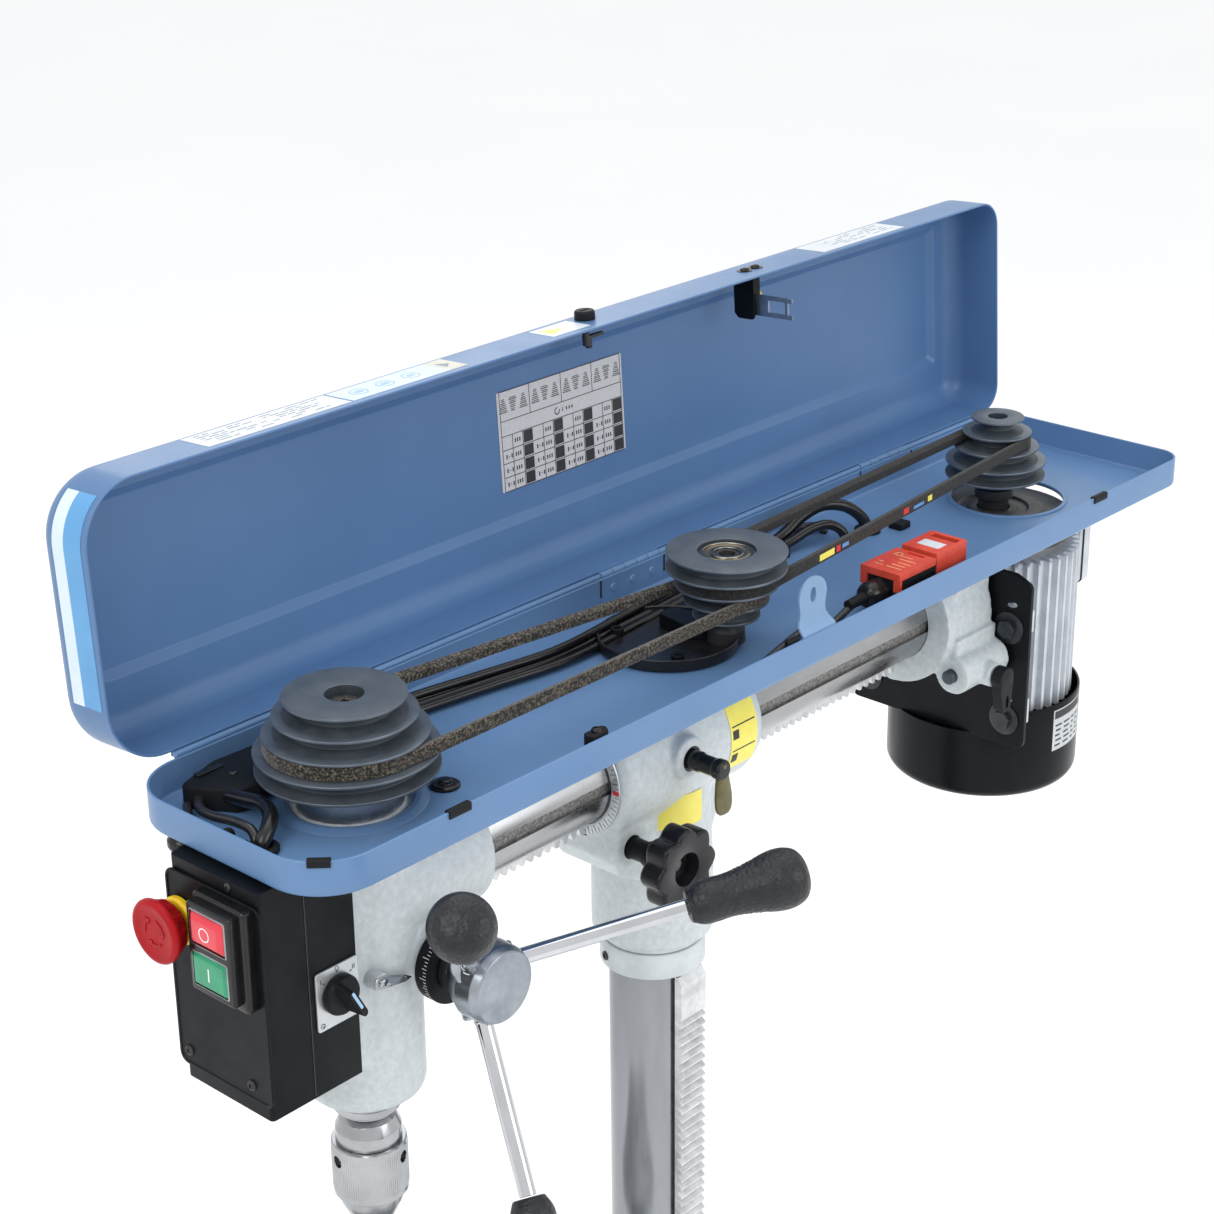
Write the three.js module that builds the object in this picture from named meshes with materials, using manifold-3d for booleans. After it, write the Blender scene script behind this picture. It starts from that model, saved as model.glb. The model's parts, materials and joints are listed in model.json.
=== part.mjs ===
// Bench-top radial drill press: column, swivelling arm support, horizontal ram that slides and tilts,
// drilling head with quill, three-shaft stepped-pulley belt drive, rear motor and a hinged belt guard.
// Units are millimetres, +Z up. The origin is on the column axis at the underside of the base.
// The operator stands on the -Y side, the motor hangs on the +Y side, the feed handles are on +X.
import * as THREE from 'three';
import { mergeVertices } from 'three/addons/utils/BufferGeometryUtils.js';
import Module from 'manifold-3d';

// ---------- driving dimensions ----------
const GAP = 0.3;                 // clearance between touching pieces
// base and column
const BASE_X = 130, BASE_Y0 = -330, BASE_Y1 = 110, BASE_H = 48;
const COL_R = 30, COL_RI = 25;   // column tube radii
const FLANGE_TOP = 118;
// head frame: x across, y from the guard tray's front edge, z from the guard tray's rim
const HEAD_Y = -364.3, HEAD_Z = 880;
const TRAY_HX = 85, TRAY_L = 895, TRAY_D = 22.3, SHEET = 2;
const TRAY_RF = 38, TRAY_RR = 20; // plan corner radii, front and rear
const SP_Y = 98.9;               // spindle axis
const ID_X = 21.9, ID_Y = 414.2; // idler axis
const MO_Y = 759.8;              // motor axis
const COL_Y = 364.3;             // column axis in the head frame
const RAM_Z = -77.8, RAM_R = 31, RAM_RI = 26;
const LID_DEPTH = 49.3, LID_EMB = 4.3, LID_OPEN = 93.5; // belt guard lid, open angle in degrees
const HINGE_X = -87.2, HINGE_Z = 0.6;
// pulleys: groove pitch along the shaft and rim radii from the top rim down
const PU_TOP = 47, PU_PITCH = 11.05, RIM_T = 1.4, GROOVE_D = 8.2, V_TAN = 0.325;
const SP_RIMS = [36.5, 42.6, 48.9, 54.6, 54.2];
const ID_RIMS = [40.2, 40.2, 34.5, 28.5, 22.5];
const MO_RIMS = [19.8, 25.9, 31.8, 37.7, 37.5];
// gears: tooth pitch and pitch radius of the ram and table pinions, module of the quill feed
const R_PITCH = 2 * Math.PI * 10 / 9, FEED_M = 2, FEED_Z = 12;
const FEED_Y = 130, FEED_Zc = -125; // feed shaft axis (along X)
const PIN_Y = 308, PIN_Z = -125;    // ram pinion axis (along X)
const TB_Z = 345;                // table pivot and table pinion height above the base underside
const TB_TOP = 390;              // table surface height
const FACETS = 0.7;              // fineness of the round pieces

const wasm = await Module();
wasm.setup();

// ---------- geometry helpers ----------
function solid(geometry) {
  let g = geometry.clone();
  g.deleteAttribute('normal');
  g.deleteAttribute('uv');
  g = mergeVertices(g, 1e-4);
  const vp = new Float32Array(g.attributes.position.array);
  const idx = g.index.array;
  const tri = [];
  for (let i = 0; i < idx.length; i += 3) {
    const a = idx[i], b = idx[i + 1], c = idx[i + 2];
    if (a !== b && b !== c && a !== c) tri.push(a, b, c);
  }
  let m = new wasm.Manifold(new wasm.Mesh({ numProp: 3, vertProperties: vp, triVerts: new Uint32Array(tri) }));
  if (m.volume() < 0) {
    for (let i = 0; i < tri.length; i += 3) { const t = tri[i]; tri[i] = tri[i + 1]; tri[i + 1] = t; }
    m = new wasm.Manifold(new wasm.Mesh({ numProp: 3, vertProperties: vp, triVerts: new Uint32Array(tri) }));
  }
  return m;
}
function geo(m) {
  const mesh = m.getMesh();
  const g = new THREE.BufferGeometry();
  const n = mesh.numProp, v = mesh.vertProperties;
  const p = new Float32Array((v.length / n) * 3);
  for (let i = 0, j = 0; i < v.length; i += n, j += 3) { p[j] = v[i]; p[j + 1] = v[i + 1]; p[j + 2] = v[i + 2]; }
  g.setAttribute('position', new THREE.BufferAttribute(p, 3));
  g.setIndex(new THREE.BufferAttribute(new Uint32Array(mesh.triVerts), 1));
  g.computeVertexNormals();
  return g;
}
const join = (...a) => a.reduce((p, q) => p.add(q));
const cut = (m, ...a) => a.reduce((p, q) => p.subtract(q), m);
function box(x0, x1, y0, y1, z0, z1) {
  const g = new THREE.BoxGeometry(x1 - x0, y1 - y0, z1 - z0);
  g.translate((x0 + x1) / 2, (y0 + y1) / 2, (z0 + z1) / 2);
  return solid(g);
}
const nf = seg => Math.max(8, 2 * Math.round(seg * FACETS / 2));
const hole = (r, seg = 28) => r / Math.cos(Math.PI / nf(seg));   // vertex radius whose flats clear a round of radius r
// cylinders and cones along an axis, r0 at the low end, r1 at the high end
function cone(axis, a, b, r0, r1, lo, hi, seg = 28) {
  const g = new THREE.CylinderGeometry(r1, r0, hi - lo, nf(seg));
  if (axis === 'z') { g.rotateX(Math.PI / 2); g.translate(a, b, (lo + hi) / 2); }
  if (axis === 'y') g.translate(a, (lo + hi) / 2, b);
  if (axis === 'x') { g.rotateZ(-Math.PI / 2); g.translate((lo + hi) / 2, a, b); }
  return solid(g);
}
const cylZ = (x, y, r, z0, z1, seg) => cone('z', x, y, r, r, z0, z1, seg);
const cylY = (x, z, r, y0, y1, seg) => cone('y', x, z, r, r, y0, y1, seg);
const cylX = (y, z, r, x0, x1, seg) => cone('x', y, z, r, r, x0, x1, seg);
// turned shape about Z: profile of [radius, height] pairs from axis to axis
function lathe(pts, seg = 28) {
  const g = new THREE.LatheGeometry(pts.map(p => new THREE.Vector2(p[0], p[1])), nf(seg));
  g.rotateX(Math.PI / 2);
  return solid(g);
}
// prism: closed outline in a plane, pushed along the third axis
function prism(plane, pts, lo, hi) {
  const s = new THREE.Shape(pts.map(p => new THREE.Vector2(p[0], p[1])));
  const g = new THREE.ExtrudeGeometry(s, { depth: hi - lo, bevelEnabled: false, steps: 1 });
  g.translate(0, 0, lo);
  if (plane === 'yz') { g.rotateX(Math.PI / 2); g.rotateZ(Math.PI / 2); }        // outline (y, z), pushed along x
  if (plane === 'xz') { g.rotateX(Math.PI / 2); g.scale(1, -1, 1); }            // outline (x, z), pushed along y
  return solid(g);
}
function ballAt(x, y, z, r, w = 16, h = 12) { const g = new THREE.SphereGeometry(r, w, h); g.translate(x, y, z); return solid(g); }
// rounded rectangle outline with separate radii at the low-Y and high-Y ends
function rrect(x0, x1, y0, y1, rf, rr, n = 5) {
  const out = [];
  const arc = (cx, cy, r, a0) => { for (let i = 0; i <= n; i++) { const a = a0 + (Math.PI / 2) * i / n; out.push([cx + r * Math.cos(a), cy + r * Math.sin(a)]); } };
  arc(x1 - rf, y0 + rf, rf, -Math.PI / 2);
  arc(x1 - rr, y1 - rr, rr, 0);
  arc(x0 + rr, y1 - rr, rr, Math.PI / 2);
  arc(x0 + rf, y0 + rf, rf, Math.PI);
  return out;
}
// closed skin through equal-length rings of [x, y] at heights z, capped at both ends
function loft(rings) {
  const n = rings[0].pts.length, pos = [], tri = [];
  for (const r of rings) for (const p of r.pts) pos.push(p[0], p[1], r.z);
  for (let k = 0; k + 1 < rings.length; k++) for (let i = 0; i < n; i++) {
    const a = k * n + i, b = k * n + (i + 1) % n, c = a + n, d = b + n;
    tri.push(a, b, d, a, d, c);
  }
  for (const [k, flip] of [[0, true], [rings.length - 1, false]]) {
    const f = THREE.ShapeUtils.triangulateShape(rings[k].pts.map(p => new THREE.Vector2(p[0], p[1])), []);
    for (const t of f) flip ? tri.push(k * n + t[0], k * n + t[2], k * n + t[1]) : tri.push(k * n + t[0], k * n + t[1], k * n + t[2]);
  }
  const g = new THREE.BufferGeometry();
  g.setAttribute('position', new THREE.BufferAttribute(new Float32Array(pos), 3));
  g.setIndex(tri);
  return solid(g);
}
const ringAt = (inset, z, n = 4) => ({ z, pts: rrect(-TRAY_HX + inset, TRAY_HX - inset, inset, TRAY_L - inset, Math.max(TRAY_RF - inset, 3), Math.max(TRAY_RR - inset, 3), n) });
// spur gear outline in a plane with one tooth at angle a0
function gearPts(n, rTip, rRoot, pitchR, a0, thick = 0.42) {
  const out = [];
  for (let i = 0; i < n; i++) {
    const c = a0 + 2 * Math.PI * i / n, h = Math.PI * thick / n;
    out.push([rRoot, c - h * 1.75], [rTip, c - h * 0.55], [rTip, c + h * 0.55], [rRoot, c + h * 1.75]);
  }
  return out.map(([r, a]) => [r * Math.cos(a), r * Math.sin(a)]);
}
// stepped pulley about Z at the origin: rims from the top down, V grooves between them, bore through
function pulley(rims, top, bore, hubR, hubDown, seg) {
  const p = [];
  const dish = rims[0] - GROOVE_D - 3;      // the hollow of the top face stays inside the first groove's root
  p.push([bore, top - 3], [Math.min(hubR, dish + 1), top - 3]);
  if (dish > hubR + 3) p.push([hubR + 1, top - 5], [dish, top - 5]);
  p.push([Math.max(dish, hubR) + 1.5, top]);
  for (let i = 0; i < rims.length; i++) {
    const z = top - i * PU_PITCH;
    p.push([rims[i], z], [rims[i], z - RIM_T]);
    if (i + 1 < rims.length) {
      const R = Math.min(rims[i], rims[i + 1]);
      const open = PU_PITCH - RIM_T, w = open - 2 * GROOVE_D * V_TAN;
      const z0 = z - RIM_T, r0 = Math.max(R - GROOVE_D, bore + 2);
      if (rims[i] > R + 0.5) p.push([R, z0]);
      p.push([r0, z0 - (open - w) / 2], [r0, z0 - (open + w) / 2]);
      if (rims[i + 1] > R + 0.5) p.push([R, z0 - open]);
    }
  }
  const zb = top - 4 * PU_PITCH - RIM_T;
  p.push([hubR, zb], [hubR, zb - hubDown], [bore, zb - hubDown], [bore, top - 3]);
  return lathe(p, seg);
}
const grooveZ = k => PU_TOP - RIM_T / 2 - PU_PITCH * (k - 0.5);
// open belt round two pulleys: centres a, b, radii ra, rb of the belt's outer face
function belt(a, ra, b, rb, z, wOut, depth, seg = 14) {
  const dx = b[0] - a[0], dy = b[1] - a[1], d = Math.hypot(dx, dy), base = Math.atan2(dy, dx);
  const off = Math.acos((ra - rb) / d);
  const path = [];
  for (let i = 0; i <= seg; i++) { const t = base + off + (2 * Math.PI - 2 * off) * i / seg; path.push([a, ra, t]); }
  for (let i = 0; i <= seg; i++) { const t = base - off + (2 * off) * i / seg; path.push([b, rb, t]); }
  const wIn = wOut - 2 * depth * V_TAN;
  const sec = [[0, wOut / 2], [0, -wOut / 2], [-depth, -wIn / 2], [-depth, wIn / 2]];
  const pos = [], tri = [], n = path.length;
  for (const [c, r, t] of path) for (const s of sec) pos.push(c[0] + (r + s[0]) * Math.cos(t), c[1] + (r + s[0]) * Math.sin(t), z + s[1]);
  for (let i = 0; i < n; i++) for (let k = 0; k < 4; k++) {
    const A = i * 4 + k, B = i * 4 + (k + 1) % 4, C = ((i + 1) % n) * 4 + k, D = ((i + 1) % n) * 4 + (k + 1) % 4;
    tri.push(A, C, D, A, D, B);
  }
  const g = new THREE.BufferGeometry();
  g.setAttribute('position', new THREE.BufferAttribute(new Float32Array(pos), 3));
  g.setIndex(tri);
  return solid(g);
}
// round rod from point a along unit direction d, length L, radii r0 to r1
function rod(a, d, L, stations, seg = 10) {
  const g = new THREE.LatheGeometry(stations.map(s => new THREE.Vector2(s[1], s[0])), seg);
  const q = new THREE.Quaternion().setFromUnitVectors(new THREE.Vector3(0, 1, 0), new THREE.Vector3(...d));
  g.applyQuaternion(q);
  g.translate(...a);
  return solid(g);
}
// lead along a smooth curve, round section
function lead(points, r, steps, seg = 8) {
  const c = new THREE.CatmullRomCurve3(points.map(p => new THREE.Vector3(...p)), false, 'centripetal');
  const s = new THREE.Shape();
  for (let i = 0; i < seg; i++) { const a = 2 * Math.PI * i / seg; i ? s.lineTo(r * Math.cos(a), r * Math.sin(a)) : s.moveTo(r, 0); }
  s.closePath();
  return new THREE.ExtrudeGeometry(s, { steps, bevelEnabled: false, extrudePath: c });
}

// ---------- scene graph ----------
const machine = new THREE.Group();
const head = new THREE.Group();
head.position.set(0, HEAD_Y, HEAD_Z);
machine.add(head);
const lid = new THREE.Group();
lid.position.set(HINGE_X, 0, HINGE_Z);
lid.rotation.y = -LID_OPEN * Math.PI / 180;
head.add(lid);
function put(parent, name, m, color, roughness, metalness) {
  const g = m.getMesh ? geo(m) : m;
  const mesh = new THREE.Mesh(g, new THREE.MeshStandardMaterial({ color, roughness, metalness }));
  mesh.name = name;
  parent.add(mesh);
  return mesh;
}
const BLUE = 0x6f8fba, GREY = 0xb9bfc1, BLACK = 0x16181a, STEEL = 0xb0b2b4, ALU = 0xc2c5c8, PUL = 0x59616b;

// ---------- base ----------
{
  const R = (i, z, n = 4) => ({ z, pts: rrect(-BASE_X + i, BASE_X - i, BASE_Y0 + i, BASE_Y1 - i, 30 - i * 0.8, 30 - i * 0.8, n) });
  let b = loft([R(0, 0), R(3, 38), R(7, BASE_H)]);
  b = cut(b, loft([R(12, -2), R(14, 32)]));
  b = join(b, cone('z', 0, 0, 66, 64, 0, 40), box(-118, 118, -14, 14, 8, 40), box(-7, 7, BASE_Y0 + 8, BASE_Y1 - 8, 8, 40));
  for (const x of [-62, 62]) {
    const slot = prism('xy', rrect(x - 7, x + 7, -290, -110, 6.9, 6.9, 3), 20, 60);
    b = cut(b, slot);
  }
  put(machine, 'base_plate', b, GREY, 0.6, 0.2);
  const ci = hole(COL_R + GAP, 32);
  let f = lathe([[ci, BASE_H + GAP], [60, BASE_H + GAP], [60, BASE_H + 16], [44, BASE_H + 30], [41, FLANGE_TOP - 3], [38, FLANGE_TOP], [ci, FLANGE_TOP], [ci, BASE_H + GAP]], 32);
  put(machine, 'column_flange', f, GREY, 0.6, 0.2);
  put(machine, 'column_tube', lathe([[COL_RI, BASE_H + GAP], [COL_R, BASE_H + GAP], [COL_R, 751], [COL_R - 1, 752], [COL_RI, 752], [COL_RI, BASE_H + GAP]], 36), STEEL, 0.3, 0.9);
  put(machine, 'column_collar', lathe([[ci, 638.3], [35, 638.3], [36.3, 640], [36.3, 656], [35.3, 657], [ci, 657], [ci, 638.3]], 32), GREY, 0.6, 0.2);
}
// rack that stands beside the column and turns round it with the table
{
  const pts = [[31, FLANGE_TOP + 0.6], [37.4, FLANGE_TOP + 0.6]];
  const z0 = TB_Z + R_PITCH / 2;            // a tooth tip half a pitch above the pinion axis, a space level with it
  const lo = Math.ceil((140 - z0) / R_PITCH), hi = Math.floor((600 - z0) / R_PITCH);
  pts.push([37.4, z0 + (lo - 0.5) * R_PITCH - 1]);
  for (let k = lo; k <= hi; k++) pts.push([33.9, z0 + (k - 0.5) * R_PITCH], [37.4, z0 + k * R_PITCH]);
  pts.push([33.9, z0 + (hi + 0.5) * R_PITCH], [37.4, z0 + (hi + 0.5) * R_PITCH + 1], [37.4, 632], [33.5, 637.7], [31, 637.7]);
  put(machine, 'column_rack', prism('xz', pts, -13, 13), ALU, 0.45, 0.6);
}
// table bracket, crank and clamp
{
  let b = join(cylZ(0, 0, 47, 288, 396, 32), box(30, 76, -28, 28, 316, 374), box(-30, 30, -100, -30, 318, 372), cylY(0, TB_Z, 38, -112, -84, 24), box(-76, -40, -13, 13, 318, 372));
  b = cut(b, cylZ(0, 0, hole(COL_R + GAP, 36), 280, 400, 36), box(28, 38, -13.5, 13.5, 280, 400),
    cylY(45.7, TB_Z, 12.4, -14, 14, 20), box(36, 45, -12, 12, TB_Z - 12, TB_Z + 12), cylY(45.7, TB_Z, 7.4, 10, 30, 16),
    box(-78, -28, -1.5, 1.5, 280, 400), cylY(-61, TB_Z, hole(5.3, 12), -15, 15, 12), cylY(0, TB_Z, 8.4, -114, -96, 14));
  put(machine, 'table_bracket', b, GREY, 0.6, 0.2);
  const gp = gearPts(9, 10.4, 7.9, 10, Math.PI).map(p => [p[0] + 45.7, p[1] + TB_Z]);
  let c = join(prism('xz', gp, -11, 11), cylY(45.7, TB_Z, 7, 10, 57, 16), cylY(45.7, TB_Z, 13, 50, 58, 16));
  c = join(c, prism('xz', rrect(45.7 - 9, 45.7 + 9, TB_Z - 92, TB_Z + 6, 8.9, 5, 4), 51, 57), cylY(45.7, TB_Z - 82, 5, 56, 64, 12));
  c = join(c, rod([45.7, 60, TB_Z - 82], [0, 1, 0], 0, [[0, 0], [0, 7], [12, 9], [50, 11], [64, 8], [66, 0]], 14));
  put(machine, 'table_crank', c, BLACK, 0.5, 0.3);
  let l = join(cylY(-61, TB_Z, 5, -34, 17, 12), cylY(-61, TB_Z, 9, -26, -13.5, 14), rod([-61, -30, TB_Z], [-0.35, -0.25, -0.9027], 0, [[0, 0], [0, 5], [66, 4], [66, 0]], 10), rod([-61 - 0.35 * 62, -30 - 0.25 * 62, TB_Z - 0.9027 * 62], [-0.35, -0.25, -0.9027], 0, [[0, 0], [0, 6], [10, 10], [26, 10], [32, 5], [33, 0]], 12));
  put(machine, 'table_clamp_lever', l, BLACK, 0.5, 0.3);
  let t = loft([{ z: 366, pts: rrect(-114, 114, -349, -121, 24, 24, 4) }, { z: 376, pts: rrect(-120, 120, -355, -115, 30, 30, 4) }, { z: TB_TOP, pts: rrect(-120, 120, -355, -115, 30, 30, 4) }]);
  t = cut(t, loft([{ z: 350, pts: rrect(-106, 106, -341, -129, 16, 16, 4) }, { z: 376, pts: rrect(-106, 106, -341, -129, 16, 16, 4) }]));
  t = join(t, cylY(0, TB_Z, 36, -148, -112.6, 24), box(-34, 34, -148, -112.6, TB_Z, 377), box(-8, 8, -345, -120, 352, 377), cylZ(0, -235, 26, 352, 377, 20));
  t = cut(t, cylZ(0, -235, 13, 340, 400, 20));
  for (const s of [-1, 1]) for (const v of [-1, 1]) {
    const g = new THREE.BoxGeometry(62, 13, 60);
    g.rotateZ(s * v * Math.PI / 4);
    g.translate(s * 62, -235 + v * 62, TB_TOP - 8);
    t = cut(t, solid(g));
  }
  t = join(t, cylY(0, TB_Z, 8, -120, -97, 14));   // tilt bolt, clamped in the bracket
  put(machine, 'table', t, ALU, 0.4, 0.6);
}

// ---------- arm support on the column ----------
{
  let s = join(cone('y', 0, RAM_Z, 45.8, 45.8, 294, 425, 36), cone('y', 0, RAM_Z, 40, 45.8, 289.7, 294, 36), cone('y', 0, RAM_Z, 45.8, 43, 425, 429, 36),
    cone('z', 0, COL_Y, 40, 42, -217, -150, 32), cylZ(0, COL_Y, 42, -150, -92, 32), cylZ(0, COL_Y, 34, -222.7, -216, 28),
    prism('yz', [[292, -88], [292, -132], [304, -148], [345, -172], [364, -172], [364, -88]], -29, 29),
    cylX(346, -70, 15, 34, 51, 20), cylX(PIN_Y, PIN_Z, 16, 0, 33, 20),
    prism('yz', [[390, -100], [424, -100], [400, -200], [390, -200]], -9, 9));
  s = cut(s, cylY(0, RAM_Z, hole(RAM_R + GAP, 40), 280, 440, 40), box(-8.4, 8.4, 280, 440, -119.8, -96),
    cylX(PIN_Y, PIN_Z, 13, -12.5, 12.5, 20), cylX(PIN_Y, PIN_Z, 7.9, 10, 40, 16), cylZ(0, COL_Y, hole(COL_R + GAP, 36), -230, -127.5, 36), cylX(346, -70, hole(5.5, 12), 31, 60, 12));
  put(head, 'ram_support', s, GREY, 0.55, 0.2);
  const gp = gearPts(9, 10.6, 7.2, 10, Math.PI / 2).map(p => [p[0] + PIN_Y, p[1] + PIN_Z]);
  put(head, 'ram_pinion', join(prism('yz', gp, -11.5, 11.5), cylX(PIN_Y, PIN_Z, 7.4, 11, 59.6, 16)), STEEL, 0.4, 0.8);
  const lobes = [];
  for (let i = 0; i < 40; i++) { const a = 2 * Math.PI * i / 40; lobes.push([PIN_Y + (26.6 + 1.9 * Math.cos(8 * a)) * Math.cos(a), PIN_Z + (26.6 + 1.9 * Math.cos(8 * a)) * Math.sin(a)]); }
  put(head, 'ram_star_knob', cut(join(prism('yz', lobes, 62, 80), cylX(PIN_Y, PIN_Z, 16, 60, 63, 20)), cylX(PIN_Y, PIN_Z, 11.4, 68, 82, 20)), BLACK, 0.5, 0);
  put(head, 'ram_lock_lever', join(cylX(346, -70, 5.2, 36, 54, 12), cylX(346, -70, 7.2, 51.6, 78, 14), prism('yz', [[339.5, -70], [352.5, -70], [352.5, -74], [355, -98], [352, -103], [343, -103], [340, -96], [339.5, -74]], 72, 78)), 0x3a3420, 0.5, 0);
  put(head, 'tilt_scale_ring', cut(lathe([[RAM_R + 1.2, 0], [39.4, 0], [39.4, 1.1], [RAM_R + 1.2, 1.1], [RAM_R + 1.2, 0]], 36).rotate([90, 0, 0]).translate([0, 289.4, RAM_Z]), box(-8.6, 8.6, 280, 300, -125, -96)), ALU, 0.5, 0.5);
}

// ---------- ram rack, held between the head and the rear casting ----------
{
  const top = RAM_Z - RAM_R - 0.6, tip = -117.3, root = -111.9;
  const pts = [[632, top], [632, tip], [629, tip]];
  const y0 = PIN_Y + R_PITCH / 2;           // a space stands over the pinion axis at rest
  const hi = Math.floor((622 - y0) / R_PITCH), lo = Math.ceil((186 - y0) / R_PITCH);
  for (let k = hi; k >= lo; k--) { const c = y0 + k * R_PITCH, q = R_PITCH; pts.push([c + q * 0.5, root], [c, tip]); }
  pts.push([y0 + (lo - 0.5) * R_PITCH, root], [179.2, root], [179.2, top]);
  put(head, 'ram_rack', prism('yz', pts, -7.5, 7.5), ALU, 0.45, 0.6);
}

// ---------- drilling head ----------
{
  let r = lathe([[RAM_RI, 128], [RAM_R, 128], [RAM_R, 689], [RAM_RI, 689], [RAM_RI, 128]], 40).rotate([-90, 0, 0]).scale([1, 1, 1]).translate([0, 0, RAM_Z]);
  r = cut(r, box(28, 34, 176, 650, -80.2, -71.6));
  put(head, 'ram_tube', r, STEEL, 0.3, 0.9);

  let h = join(cylZ(0, SP_Y, 38, -208, -22.7, 32), cone('z', 0, SP_Y, 35, 38, -214, -207, 32), cylZ(0, SP_Y, 36, -24, -4, 32),
    cylY(0, RAM_Z, 40.6, 100, 178.4, 32), box(-32, 32, 61.2, 98, -178, -26),
    box(-30, 30, 100, 168, -70, -22.7), cylX(FEED_Y, FEED_Zc, 26, -44, 30, 24), cone('x', FEED_Y, FEED_Zc, 26, 23, 30, 40.5, 24),
    prism('yz', [[98, -120], [150, -112], [150, -146], [120, -176], [98, -190]], -26, 26));
  h = cut(h, cylZ(0, SP_Y, hole(22.3, 32), -220, -40, 32), cylZ(0, SP_Y, 12, -60, 0, 20), cylZ(0, SP_Y, 23.8, -19, 0, 28),
    cylY(0, RAM_Z, hole(RAM_R + GAP, 40), 127.6, 180, 40), box(-8.2, 8.2, 178.6, 190, -120, -90),
    cylX(FEED_Y, FEED_Zc, 14.6, -11, 11, 20), cylX(FEED_Y, FEED_Zc, 9.4, -50, 50, 20), cylX(FEED_Y, FEED_Zc, 21, -50, -30, 24));
  put(head, 'head_casting', h, GREY, 0.55, 0.2);
  put(head, 'spindle_bearing', lathe([[14.4, -18.6], [23.4, -18.6], [23.4, -6], [14.4, -6], [14.4, -18.6]], 24).translate([0, SP_Y, 0]), STEEL, 0.3, 0.9);

  // quill: hollow sleeve with rack teeth cut in its rear face
  let q = lathe([[9, -228], [21, -228], [22, -225], [22, -62], [9, -62], [9, -228]], 32).translate([0, SP_Y, 0]);
  const P = Math.PI * FEED_M, pl = FEED_Y - FEED_M * FEED_Z / 2 - SP_Y;  // rack pitch line, from the quill axis
  for (let k = -2; k <= 13; k++) {
    const c = FEED_Zc + k * P;
    q = cut(q, prism('yz', [[SP_Y + pl + 4, c + 3.4], [SP_Y + pl - 2.3, c + 1.3], [SP_Y + pl - 2.3, c - 1.3], [SP_Y + pl + 4, c - 3.4]], -14, 14));
  }
  put(head, 'quill', q, STEEL, 0.3, 0.9);
  put(head, 'spindle', lathe([[0, -244], [8.4, -244], [8.4, -231], [18, -231], [18, -228.6], [8.6, -228.6], [8.6, 43], [7.6, 44], [0, 44]], 20).translate([0, SP_Y, 0]), STEEL, 0.3, 0.9);
  let ch = lathe([[0, -318], [6, -318], [12, -318], [15, -309], [22, -297], [23.5, -290], [23.5, -268], [22, -262], [22, -246], [20, -238], [14, -233], [8.8, -233], [8.8, -244.4], [0, -244.4]], 28).translate([0, SP_Y, 0]);
  ch = cut(ch, cylZ(0, SP_Y, 5, -330, -300, 14));
  put(head, 'chuck', ch, STEEL, 0.3, 0.9);

  // feed shaft with pinion, depth ring and three-spoke hub
  const gp = gearPts(FEED_Z, FEED_M * (FEED_Z / 2 + 0.8), FEED_M * (FEED_Z / 2 - 1.3), 12, Math.PI).map(p => [p[0] + FEED_Y, p[1] + FEED_Zc]);
  put(head, 'feed_shaft', join(prism('yz', gp, -10.5, 10.5), cylX(FEED_Y, FEED_Zc, 9, -52, 44, 16)), STEEL, 0.4, 0.8);
  put(head, 'depth_ring', lathe([[9.5, 41.2], [25, 41.2], [25, 50], [23, 51.5], [9.5, 51.5], [9.5, 41.2]], 32).rotate([0, 90, 0]).translate([0, FEED_Y, FEED_Zc]), BLACK, 0.5, 0.2);
  const tau = 33.9 * Math.PI / 180, th0 = 12.9 * Math.PI / 180, HX = 63.6;
  const dirs = [0, 1, 2].map(k => { const t = th0 + k * 2 * Math.PI / 3; return [Math.sin(tau), Math.cos(tau) * Math.cos(t), Math.cos(tau) * Math.sin(t)]; });
  let hub = lathe([[0, 44.4], [9, 44.4], [9, 51.9], [16, 51.9], [16.5, 60], [21, 66], [25, 74], [24.5, 86], [22.5, 92], [0, 93.3]], 24).rotate([0, 90, 0]).translate([0, FEED_Y, FEED_Zc]);
  hub = join(hub, ...dirs.map(d => rod([HX, FEED_Y, FEED_Zc], d, 0, [[0, 0], [0, 9], [30, 9], [32, 8], [32, 0]], 10)));
  hub = cut(hub, ...dirs.map(d => rod([HX + d[0] * 16, FEED_Y + d[1] * 16, FEED_Zc + d[2] * 16], d, 0, [[0, 0], [0, 5.7], [20, 5.7], [20, 0]], 8)));
  put(head, 'feed_hub', hub, ALU, 0.25, 0.9);
  dirs.forEach((d, k) => {
    put(head, `feed_rod_${k + 1}`, rod([HX + d[0] * 16.6, FEED_Y + d[1] * 16.6, FEED_Zc + d[2] * 16.6], d, 0, [[0, 0], [0, 5.2], [117, 5.2], [117, 0]], 10), STEEL, 0.15, 1);
    put(head, `feed_grip_${k + 1}`, rod([HX + d[0] * 134, FEED_Y + d[1] * 134, FEED_Zc + d[2] * 134], d, 0, [[0, 0], [0, 11], [8, 13], [24, 13.5], [44, 16.5], [58, 19], [68, 18], [74, 12], [76, 0]], 12), BLACK, 0.7, 0);
  });
  put(head, 'return_spring_cap', lathe([[0, -62], [19, -62], [20.5, -60], [20.5, -30.6], [9.6, -30.6], [9.6, -53], [0, -53]], 24).rotate([0, 90, 0]).translate([0, FEED_Y, FEED_Zc]), ALU, 0.5, 0.5);

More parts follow.
